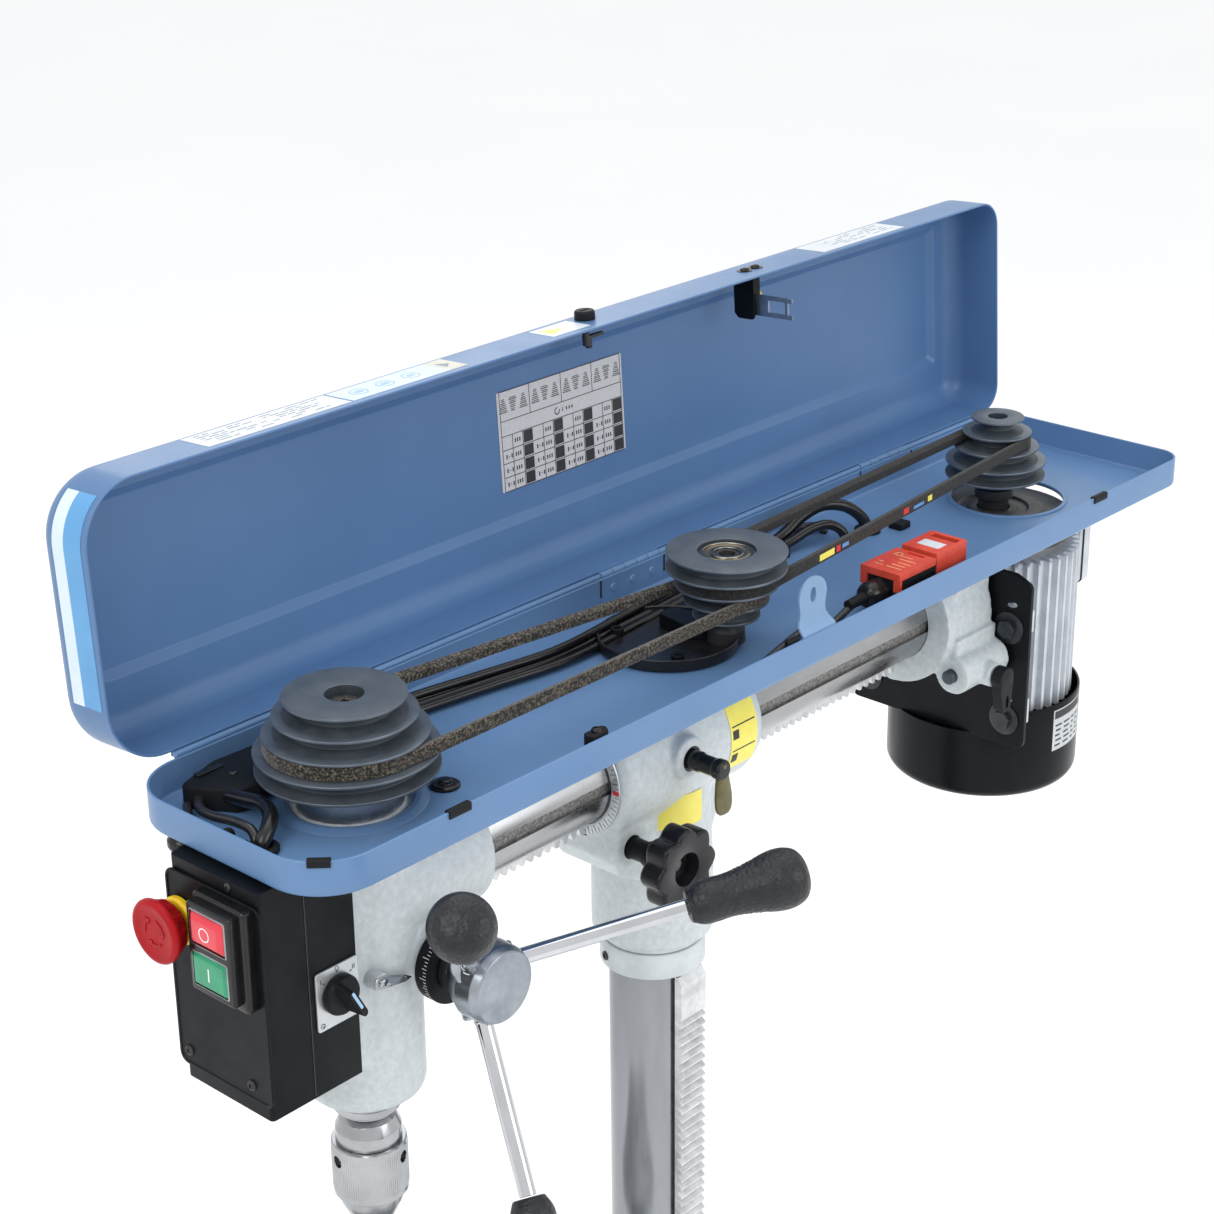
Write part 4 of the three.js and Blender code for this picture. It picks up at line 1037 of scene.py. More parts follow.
def extra_materials():
    b = new_mat("bearing_steel", (0.62, 0.60, 0.56), 0.18, 1.0)
    turned(b, "Z", 2500, 0.00002, 0.3, True, 0.1, 0.2)
    tint(b, (0.26, 0.25, 0.225), (0.36, 0.35, 0.32), 60)
    M["bearing"] = b
    c = new_mat("shield_brass_tone", (0.52, 0.44, 0.30), 0.3, 1.0)
    turned(c, "Z", 2500, 0.00002, 0.3, True, 0.1, 0.28)
    tint(c, (0.25, 0.20, 0.125), (0.34, 0.28, 0.19), 80)
    M["brassy"] = c
    s = new_mat("spline_steel", (0.50, 0.44, 0.37), 0.28, 1.0)
    tint(s, (0.36, 0.29, 0.22), (0.62, 0.57, 0.50), 300, 4)
    rough_var(s, 0.2, 0.4, 400)
    M["steel_warm"] = s


extra_materials()
make_pulleys()
make_spindle_top()
make_belts()
make_belt_bars()


# ------------------------------------------------------------------ idler dish
def make_dish():
    c = (-7.3, 389.3, 0)
    prof = fillet([(0, -20.1), (46.2, -20.1), (47.5, -18.8), (47.5, -12.2), (46.8, -11.4), (45.6, -12.2), (44.8, -16.4), (0, -16.4)], [0, .6, .6, .5, .5, .6, .8, 0], 4)
    v, f = lathe(prof, 128, "z", c)
    obj_from("idler_dish_pan", v, f, "dish", "head", 35, origin=c, slot="black_metal", replaces=["idler_dish"])
    # swing block and its cap screw
    out = fillet([(-26, 401), (-26, 415), (2, 422), (16, 405), (2, 396)], [2.5, 2.5, 4, 6, 4], 4, True)
    v, f = prism(out, -16.3, -6.5)
    obj_from("idler_swing_block", v, f, "black", "head", 35, bevel=0.8, bseg=3, slot="black_metal")
    v, f = lathe(fillet([(0, -16.3), (4.5, -16.3), (4.5, -11), (2.4, -11), (2.4, -13.4), (0, -13.4)], 0.4, 2), 32, "z", (-37, 372, 0))
    obj_from("idler_dish_screw", v, f, "black", "head", 40, slot="black_metal")
    v, f = lathe(fillet([(0, -16.3), (4.5, -16.3), (4.5, -11), (2.4, -11), (2.4, -13.4), (0, -13.4)], 0.4, 2), 32, "z", (22, 365, 0))
    obj_from("idler_dish_screw_2", v, f, "black", "head", 40, slot="black_metal")


dm = new_mat("dish_black", (0.012, 0.012, 0.014), 0.26, 0.0, 0.32)
tint(dm, (0.009, 0.009, 0.011), (0.016, 0.016, 0.018), 40)
rough_var(dm, 0.22, 0.36, 50)
bump(dm, 300, 0.0001, 0.3)
M["dish"] = dm
make_dish()


# ------------------------------------------------------------------ round screw, rubber clips, brackets on the tray
def pan_screw(name, c, r, h, body, mat="black", axis="z", slot_w=0.9, flip=1, cross=True):
    """domed head with a cross recess; c is the seat's centre"""
    prof = [(0, 0), (r, 0), (r, h * 0.25)]
    for k in range(1, 8):
        a = math.radians(90 * k / 7)
        prof.append((r * math.cos(a) if k < 7 else 0, h * 0.25 + h * 0.75 * math.sin(a)))
    v, f = lathe([(p[0], p[1] * flip) for p in prof], 40, axis)
    ob = raw(name, [(v + np.array(c, float), f)])
    if cross:
        L = r * 0.55
        ia, ib, ih = AXES[axis]
        for s in (0, 1):
            lo, hi = np.zeros(3), np.zeros(3)
            ext = (L, slot_w / 2) if s == 0 else (slot_w / 2, L)
            lo[ia], hi[ia] = -ext[0], ext[0]
            lo[ib], hi[ib] = -ext[1], ext[1]
            z0, z1 = h * 0.35 * flip, h * 1.3 * flip
            lo[ih], hi[ih] = min(z0, z1), max(z0, z1)
            bx = boxm(lo[0], hi[0], lo[1], hi[1], lo[2], hi[2])
            R = rot(bx[0], tuple(1 if q == ih else 0 for q in range(3)), 24)
            boolean(ob, [(R + np.array(c, float), bx[1])])
    return finish_obj(ob, name, mat, body, 30)


def hex_head(name, c, af, h, body, mat="steel", axis="z", turn=0, slot="ground_steel", washer=0, flip=1):
    ia, ib, ih = AXES[axis]
    R = af / math.sqrt(3)
    o = [(R * math.cos(math.radians(60 * k + turn)), R * math.sin(math.radians(60 * k + turn))) for k in range(6)]
    lo, hi = (0, h * flip) if flip > 0 else (h * flip, 0)
    v, f = prism(o, lo, hi, axis)
    ob = raw(name, [(v + np.array(c, float), f)])
    # chamfer cone
    prof = [(0, -20 * flip), (R * 1.6, -20 * flip), (R * 1.6, h * 0.35 * flip), (af / 2 * 0.97, h * flip), (0, h * flip)]
    cv, cf = lathe(prof, 48, axis)
    boolean(ob, [(cv + np.array(c, float), cf)], "INTERSECT")
    finish_obj(ob, name, mat, body, 25)
    if washer:
        prof = fillet([(0, 0), (washer, 0), (washer, 1.2 * flip), (0, 1.2 * flip)], 0.25, 2)
        v, f = lathe(prof, 48, axis)
        obj_from(name + "_washer", v + np.array(c, float), f, mat, body, 35, slot=slot)
    return ob


def make_tray_bits():
    # domed plug on the floor beside the spindle
    c = (29.8, 146.8, -20.6)
    v, f = lathe(fillet([(0, 0), (9.2, 0), (9.2, 1.6), (7.6, 2.4), (4.4, 2.6), (4.0, 4.6), (0, 5.0)], [0, .3, .5, .5, .5, .8, 0], 3), 64, "z", c)
    obj_from("tray_plug", v, f, "gloss", "head", 35, slot="gloss_black")
    # rubber edge clips on the near rim: a U over the sheet
    for i, (y, L) in enumerate([(105, 17), (772, 17)]):
        sec = fillet([(86.3, -4.2), (86.3, 1.0), (81.8, 1.0), (81.8, -6.2), (83.1, -6.2), (83.1, -0.3), (85.2, -0.3), (85.2, -4.2)], [.5, 1.2, 1.2, .6, .2, .2, .2, .2], 3, True)
        v, f = prism([(b, a) for a, b in sec], y - L / 2, y + L / 2, "y")
        obj_from(f"edge_clip_{i+1}", v, f, "plastic", "head", 35, bevel=0.35, slot="black_plastic")
    # corner clip at the front right
    sec = fillet([(4.6, -9.5), (4.6, 1.0), (-1.2, 1.0), (-1.2, -3.2), (-0.2, -3.2), (-0.2, -0.3), (2.2, -0.3), (2.2, -9.5)], [.6, 1.2, 1.2, .5, .2, .2, .2, .5], 3, True)
    v, f = prism([(b, a) for a, b in sec], -6.5, 6.5, "y")
    # clip lies along the rounded corner: local x runs outwards
    ang = -46
    cx, cy = 47 + 38 * math.cos(math.radians(ang)), 38 + 38 * math.sin(math.radians(ang))
    v = v * np.array([-1, 1, 1])
    v = rot(v, (0, 0, 1), ang) + np.array([cx, cy, 0])
    obj_from("corner_clip", v, f, "plastic", "head", 35, bevel=0.35, slot="black_plastic")


make_tray_bits()


# ------------------------------------------------------------------ castings
RZ = -77.8
NX = 364.3


def cyl(r, lo, hi, axis="z", center=(0, 0, 0), seg=72, r2=None):
    return lathe([(0, lo), (r, lo), (r if r2 is None else r2, hi), (0, hi)], seg, axis, center)


def ell_profile(h, d, n=8):
    return [(h * math.cos(math.pi / 2 * k / n), d * math.sin(math.pi / 2 * k / n)) for k in range(n + 1)]


def make_head_casting():
    parts = [
        lathe([(0, -213.6), (35.2, -213.6), (37.6, -207), (37.6, -22.9), (0, -22.9)], 96, "z", (0, SP, 0)),
        cyl(31.4, -24, -4.4, "z", (0, SP, 0), 96),
        cyl(40.2, 100, 178, "y", (0, 0, RZ), 96),
        boxm(-31.6, 31.6, 61.6, 98, -177.6, -26),
        boxm(-29.6, 29.6, 100, 168, -69.6, -22.9),
        cyl(25.6, -44 + 0.4, 30, "x", (0, 130, -125), 80),
        lathe([(0, 28), (25.6, 30), (22.6, 40.2), (0, 40.2)], 80, "x", (0, 130, -125)),
        prism([(100, -100), (150, -85), (172, -78), (172, -70), (150, -110), (135, -140), (100, -150)], -26, 26, "x"),
    ]
    # rib between the ram boss and the feed boss
    ob = raw("head_casting_body", parts)
    remesh(ob, 1.5, 10, 0.6)
    cuts = [lathe([(0, 128), (31.2, 128), (31.2, 190), (0, 190)], 96, "y", (0, 0, RZ)),
            lathe([(0, -230), (22.3, -230), (22.3, -62), (12, -62), (12, -20), (23.6, -20), (23.6, 2), (0, 2)], 96, "z", (0, SP, 0)),
            lathe([(0, 178.4), (60, 178.4), (60, 178.0), (31.3, 178.0), (0, 178.0)], 96, "y", (0, 0, RZ)),
            lathe([(0, 36), (9.3, 36), (9.3, 60), (0, 60)], 48, "x", (0, 130, -125))]
    boolean(ob, cuts[:2] + cuts[3:])
    finish_obj(ob, "head_casting_body", "cast", "head", 32, ["head_casting"])
    # rough turned skin of the boss where it stands through the guard
    v, f = closed_lathe(fillet([(31.35, -22.4), (31.95, -22.4), (31.95, -4.9), (31.35, -4.3)], 0.15, 2, True), 96, "z", (0, SP, 0))
    obj_from("spindle_boss_skin", v, f, "alu", "head", 40, origin=(0, SP, 0), slot="casting_grey")
    # machined ring at the top of the spindle boss
    v, f = closed_lathe(fillet([(24.2, -18.5), (14.6, -18.5), (14.6, -6.4), (15.6, -5.8), (22.4, -5.8), (23.3, -6.6), (23.3, -18.5)], [0, 0, .3, .4, .4, .3, 0], 3, True), 96, "z", (0, SP, 0))
    v, f = closed_lathe(fillet([(14.6, -18.5), (14.6, -6.2), (23.2, -6.2), (23.2, -18.5)], 0.5, 3, True), 96, "z", (0, SP, 0))
    obj_from("spindle_top_bearing", v, f, "bearing", "head", 40, origin=(0, SP, 0), slot="ground_steel", replaces=["spindle_bearing"])
    # small round knob under the guard's front left corner
    v, f = lathe(fillet([(0, -34.6), (7.4, -34.0), (9.4, -30), (9.4, -26.4), (7.6, -24.0), (3.6, -23.4), (3.6, -21.9), (0, -21.9)], [0, 2.6, 1.8, 1.6, .8, .3, .1, 0], 4), 64, "z", (-44, 11, 0))
    obj_from("tray_front_knob", v, f, "gloss", "head", 40, slot="gloss_black")


def make_support():
    yz = [(292, -88), (292, -132), (304, -148), (345, -172), (364, -172), (364, -88)]
    yz = fillet(yz, [4, 4, 7, 10, 2, 2], 4, True)
    parts = [
        lathe([(0, 289.9), (39.6, 289.9), (44.8, 294.6), (45.4, 300), (45.4, 420), (42.6, 428.8), (0, 428.8)], 96, "y", (0, 0, RZ)),
        lathe([(0, -216.6), (41.6, -216.6), (41.6, -172), (39.6, -130), (39.6, -92), (0, -92)], 96, "z", (0, NX, 0)),
        prism(yz, -28.6, 28.6, "x"),
        cyl(14.6, 30, 50.6, "x", (0, 346, -70), 64),
        cyl(15.6, 0, 32.6, "x", (0, 308, -125), 64),
        prism(fillet([(364, -88), (364, -200), (404, -200), (424, -150), (424, -88)], [0, 0, 10, 14, 0], 5, True), -8.6, 8.6, "x"),
    ]
    ob = raw("ram_support_body", parts)
    remesh(ob, 1.6, 12, 0.6)
    cuts = [lathe([(0, 280), (31.25, 280), (31.25, 440), (0, 440)], 96, "y", (0, 0, RZ)),
            boxm(-8.2, 8.2, 280, 440, -119.0, -100),
            lathe([(0, -240), (30.2, -240), (30.2, -130), (0, -130)], 96, "z", (0, NX, 0)),
            lathe([(0, 45), (8.6, 45), (8.6, 60), (0, 60)], 48, "x", (0, 346, -70)),
            lathe([(0, 22), (8.2, 22), (8.2, 60), (0, 60)], 48, "x", (0, 308, -125)),
            lathe([(0, 0), (24.3, 0), (24.3, 10.6), (0, 10.6)], 48, "x", (0, 308, -125))]
    boolean(ob, cuts[:5])
    finish_obj(ob, "ram_support_body", "cast", "arm_support", 32, ["ram_support"])
    # machined ring that turns on the column's collar
    v, f = closed_lathe(fillet([(30.2, -222.6), (33.6, -222.6), (34, -222.2), (34, -216.4), (30.2, -216.4)], 0.3, 2, True), 96, "z", (0, NX, 0))
    obj_from("ram_support_ring", v, f, "castflat", "arm_support", 40, slot="casting_grey")
    # tilt scale ring: light plate with dark ticks and a red zero
    v, f = closed_lathe(fillet([(32.3, 288.5), (32.3, 289.7), (39.3, 289.7), (39.3, 288.4)], [.2, .1, .1, .4], 2, True), 128, "y", (0, 0, RZ))
    obj_from("tilt_scale_plate", v, f, "silver", "arm_support", 40, slot="label_silver", replaces=["tilt_scale_ring"])
    ticks, reds = [], []
    for k in range(-18, 19):
        a = math.radians(k * 5)
        L = 5.2 if k % 2 == 0 else 3.2
        w = 0.35 if k else 3.0
        bx = boxm(38.9 - L, 38.9, 288.28, 288.5, -w / 2, w / 2)
        q = rot(bx[0], (0, 1, 0), -math.degrees(a)) + np.array([0, 0, RZ])
        if q[:, 2].mean() < RZ - 30 and abs(q[:, 0].mean()) < 9:
            continue
        (reds if k == 0 else ticks).append((q, bx[1]))
    v, f = join_parts(ticks)
    obj_from("tilt_scale_ticks", v, f, "ink", "arm_support", 40, slot="black_metal")
    v, f = join_parts(reds)
    obj_from("tilt_scale_zero", v, f, "markred", "arm_support", 40, slot="red_plastic")
    # a small dark wedge above the rack
    v, f = prism(fillet([(291.2, -100), (291.2, -111), (296, -100)], 0.4, 2, True), 9.4, 14, "x")
    obj_from("rack_guide_wedge", v, f, "black", "arm_support", 40, slot="black_metal")
    # two plain yellow plates lying on the sleeve and on the neck
    def shell_label(name, axis_c, r, lo, hi, a0, a1, axis, t=0.18, mat="labelyellow", slot="yellow_plastic"):
        prof = [(r, lo), (r + t, lo), (r + t, hi), (r, hi), (r, lo)]
        v, f = lathe(prof, 40, axis, axis_c, math.radians(a0), math.radians(a1))
        v, f = v, f + [[k * 41 for k in range(4)][::-1], [k * 41 + 40 for k in range(4)]]
        return obj_from(name, v, f, mat, "arm_support", 40, slot=slot)
    # around the sleeve: local angle measured from +z towards +x (order z,x)
    shell_label("sleeve_label", (0, 0, RZ), 45.5, 392, 419, 38, 118, "y")
    marks = []
    for (y0, y1, a0, a1) in ((394, 417, 76, 77.2), (394, 417, 98, 99.2)):
        prof = [(45.7, y0), (45.82, y0), (45.82, y1), (45.7, y1), (45.7, y0)]
        v, f = lathe(prof, 6, "y", (0, 0, RZ), math.radians(a0), math.radians(a1))
        marks.append((v, f + [[k * 7 for k in range(4)][::-1], [k * 7 + 6 for k in range(4)]]))
    for (y0, y1, a0, a1) in ((394, 400, 80, 88), (394, 400, 102, 110), (394, 400, 46, 54)):
        prof = [(45.7, y0), (45.82, y0), (45.82, y1), (45.7, y1), (45.7, y0)]
        v, f = lathe(prof, 8, "y", (0, 0, RZ), math.radians(a0), math.radians(a1))
        marks.append((v, f + [[k * 9 for k in range(4)][::-1], [k * 9 + 8 for k in range(4)]]))
    v, f = join_parts(marks)
    obj_from("sleeve_label_marks", v, f, "ink", "arm_support", 40, slot="black_metal")
    # neck label: angle from +x towards +y (order x,y)
    prof = [(40.0, -126), (40.18, -126), (40.18, -103), (40.0, -103), (40.0, -126)]
    v, f = lathe(prof, 30, "z", (0, NX, 0), math.radians(-44), math.radians(6))
    v, f = v, f + [[k * 31 for k in range(4)][::-1], [k * 31 + 30 for k in range(4)]]
    obj_from("neck_label", v, f, "labelyellow", "arm_support", 40, slot="yellow_plastic")
    v, f = boxm(28.7, 28.95, 340, 363, -126, -103)
    obj_from("neck_label_flat", v, f, "labelyellow", "arm_support", 40, slot="yellow_plastic")
    v, f = boxm(28.95, 29.0, 341, 347, -111, -104)
    obj_from("neck_label_mark", v, f, "ink", "arm_support", 40, slot="black_metal")


def make_rear_casting():
    parts = [
        cyl(49.6, 634.4, 689.6, "y", (0, 0, RZ), 96),
        boxm(-45.6, 45.6, 648, 689.6, -80, -22.9),
        cyl(14.6, 636.4, 689.6, "y", (52, 0, -110), 48),
        cyl(14.6, 636.4, 689.6, "y", (-52, 0, -110), 48),
        boxm(-53.6, 53.6, 640, 689.6, -112, -84),
        cyl(9.2, 52, 73.6, "x", (0, 662, -112), 48),
    ]
    ob = raw("rear_casting_body", parts)
    remesh(ob, 1.3, 5, 0.6)
    cuts = [lathe([(0, 620), (31.2, 620), (31.2, 700), (0, 700)], 96, "y", (0, 0, RZ)),
            lathe([(0, 620), (5.4, 620), (5.4, 700), (0, 700)], 48, "y", (52, 0, -110)),
            lathe([(0, 620), (5.4, 620), (5.4, 700), (0, 700)], 48, "y", (-52, 0, -110)),
            boxm(-8.2, 8.2, 630, 633.5, -119.0, -100)]
    boolean(ob, cuts[:3])
    finish_obj(ob, "rear_casting_body", "cast", "head", 32, ["rear_casting"])


def make_ram():
    # tube with its keyway
    prof = fillet([(26.2, 128.4), (31, 128.4), (31, 688.4), (26.2, 688.4)], [.3, .8, .8, .3], 3, True)
    v, f = closed_lathe(prof, 160, "y", (0, 0, RZ))
    ob = raw("ram_tube_bar", [(v, f)])
    boolean(ob, [boxm(28.2, 40, 176, 650, -80.2, -71.6)])
    finish_obj(ob, "ram_tube_bar", "tube", "head", 25, ["ram_tube"], origin=(0, 400, RZ))
    v, f = boxm(27.9, 28.35, 176.2, 649.8, -80.1, -71.7)
    obj_from("ram_keyway_floor", v, f, "keyfloor", "head", 40, slot="ground_steel")
    # rack
    pitch = 7.854
    y0, y1 = 179.4, 631.8
    n = int((y1 - y0 - 4) / pitch)
    st = y0 + ((y1 - y0) - n * pitch) / 2
    out = [(y0, -109.3), (y0, -111.9)]
    for k in range(n):
        a = st + k * pitch
        out += [(a + 0.9, -111.9), (a + 2.7, -117.2), (a + pitch - 2.7, -117.2), (a + pitch - 0.9, -111.9)]
    out += [(y1, -111.9), (y1, -109.3)]
    out = fillet(out, [0, 0] + [0.5] * (len(out) - 4) + [0, 0], 2, True)
    # build as strip quads to keep faces flat and simple
    v, f = prism(out, -7.3, 7.3, "x")
    ob = raw("ram_rack_bar", [(v, f)])
    # triangulate the two big sides
    bm = bmesh.new(); bm.from_mesh(ob.data)
    bmesh.ops.triangulate(bm, faces=[q for q in bm.faces if len(q.verts) > 8])
    bm.to_mesh(ob.data); bm.free()
    finish_obj(ob, "ram_rack_bar", "rackst", "ram_carriage", 25, ["ram_rack"])


def make_star_knob():
    c = (0, 308, -125)
    # shaft
    v, f = lathe(fillet([(0, 11.2), (7.3, 11.2), (7.3, 46), (8.6, 46.6), (8.6, 59.6), (0, 59.6)], [0, .4, .4, .4, .4, 0], 3), 56, "x", c)
    obj_from("ram_pinion_shaft", v, f, "black", "ram_pinion", 35, origin=(30, 308, -125), slot="ground_steel", replaces=["ram_pinion"])
    # lobed body, rounded over its edges
    n = 8
    m = 160

    def outline(off):
        o = []
        for k in range(m):
            t = 2 * math.pi * k / m
            r = 26.7 + 1.7 * math.cos(n * t) - 0.9 * max(0, -math.cos(n * t)) ** 3
            o.append(((r - off) * math.cos(t), (r - off) * math.sin(t)))
        return o
    rings = []

    def add(off, x):
        rings.append([(x, 308 + a, -125 + b) for a, b in outline(off)])

    def circ(r, x):
        rings.append([(x, 308 + r * math.cos(2 * math.pi * k / m), -125 + r * math.sin(2 * math.pi * k / m)) for k in range(m)])
    circ(9.0, 60.4)
    circ(15.4, 60.4)
    circ(15.9, 61.0)
    circ(15.9, 62.0)
    circ(18.5, 62.4)
    for k in range(7):
        a = math.radians(90 * k / 6)
        add(3.2 * (1 - math.sin(a)), 62.4 + 3.2 * (1 - math.cos(a)))
    for k in range(7):
        a = math.radians(90 * k / 6)
        add(2.6 * (1 - math.cos(a)), 77.3 + 2.6 * math.sin(a))
    circ(22.0, 79.9)
    circ(12.6, 79.7)
    circ(11.5, 79.0)
    circ(11.2, 70.0)
    circ(10.4, 68.6)
    circ(5.0, 68.2)
    v, f = loft(rings, True, True)
    obj_from("ram_star_knob_body", v, f, "knob", "ram_pinion", 40, origin=(70, 308, -125), slot="black_plastic", replaces=["ram_star_knob"])
    hex_head("ram_star_knob_screw", (68.2, 308, -125), 7.6, 2.6, "ram_pinion", "steel", "x", 10)


def make_lock_lever():
    c = (0, 346, -70)
    v, f = lathe(fillet([(0, 50.9), (6.9, 50.9), (6.9, 58), (6.2, 60), (6.2, 70), (7.0, 72.4), (7.0, 76.6), (5.6, 77.9), (0, 77.9)], [0, .4, .6, 1, 1, 1, 1.4, 1.2, 0], 4), 56, "x", c)
    v2, f2 = lathe([(0, 45.2), (8.2, 45.2), (8.2, 50.7), (0, 50.7)], 48, "x", c)
    # paddle: thin blade widening downwards
    rings = []
    m = 48
    path = [(-66, 5.2, 3.1), (-72, 5.2, 2.9), (-77, 5.6, 2.6), (-83, 7.0, 2.3), (-90, 8.0, 2.1), (-96, 8.0, 2.0), (-100, 6.8, 1.9), (-102.2, 4.6, 1.5), (-102.9, 1.6, 0.8)]
    for z, hw, ht in path:
        r = []
        for k in range(m):
            t = 2 * math.pi * k / m
            cx, sx = math.cos(t), math.sin(t)
            r.append((74.9 + ht * math.copysign(abs(sx) ** 0.7, sx), 346.6 + (z + 70) * -0.08 + hw * math.copysign(abs(cx) ** 0.8, cx), z))
        rings.append(r)
    bl = loft(rings, True, True)
    obj_from("ram_lock_stem", *join_parts([(v, f), (v2, f2)]), "gloss", "ram_lock", 40, origin=(50, 346, -70), slot="gloss_black")
    obj_from("ram_lock_blade", bl[0], bl[1], "olive", "ram_lock", 60, origin=(50, 346, -70), slot="lever_olive", replaces=["ram_lock_lever"])


def more_materials():
    t = new_mat("ram_tube_steel", (0.58, 0.59, 0.60), 0.24, 1.0)
    tint(t, (0.30, 0.305, 0.31), (0.44, 0.445, 0.45), 18, 5, stretch=(1, 0.3, 1))
    rough_var(t, 0.18, 0.34, 40, stretch=(1, 0.4, 1))
    bump(t, 900, 0.00002, 0.4, 2, stretch=(0.3, 3, 0.3))
    M["tube"] = t
    k = new_mat("keyway_floor", (0.20, 0.20, 0.19), 0.6, 0.7)
    tint(k, (0.10, 0.10, 0.095), (0.34, 0.33, 0.31), 500, 6)
    bump(k, 900, 0.0002, 0.6, 4)
    M["keyfloor"] = k
    r = new_mat("rack_steel", (0.62, 0.63, 0.64), 0.34, 0.75)
    tint(r, (0.52, 0.53, 0.54), (0.72, 0.73, 0.74), 90, 5)
    bump(r, 900, 0.00006, 0.4, 3)
    rough_var(r, 0.28, 0.44, 150)
    M["rackst"] = r
    kn = new_mat("knob_black", (0.010, 0.010, 0.012), 0.26, 0.0, 0.3)
    tint(kn, (0.008, 0.008, 0.010), (0.014, 0.014, 0.016), 60)
    rough_var(kn, 0.2, 0.34, 50)
    bump(kn, 700, 0.00005, 0.3)
    M["knob"] = kn
    gp = new_mat("grip_leather_black", (0.009, 0.010, 0.012), 0.38, 0.0, 0.42)
    tint(gp, (0.006, 0.007, 0.009), (0.014, 0.015, 0.018), 200)
    bump(gp, 430, 0.0007, 0.85, 3, "voronoi")
    rough_var(gp, 0.32, 0.5, 300)
    M["grip"] = gp
    hb = new_mat("hub_alu", (0.66, 0.68, 0.70), 0.3, 1.0)
    turned(hb, "X", 1400, 0.00003, 0.4, True, 0.12, 0.3)
    tint(hb, (0.25, 0.275, 0.31), (0.35, 0.375, 0.41), 60)
    M["hub"] = hb


more_materials()


# ------------------------------------------------------------------ feed hub, rods, grips, depth ring
FEED = (0, 130, -125)


def spoke_dir(k):
    th = math.radians(12.9 + 120 * k)
    s, c = math.sin(math.radians(33.9)), math.cos(math.radians(33.9))
    return Vector((s, c * math.cos(th), c * math.sin(th)))


def along(v, d, p0):
    """carry points modelled about +z to direction d from p0"""
    q = Vector((0, 0, 1)).rotation_difference(d).to_matrix()
    return np.asarray(v) @ np.array(q).T + np.array(p0)


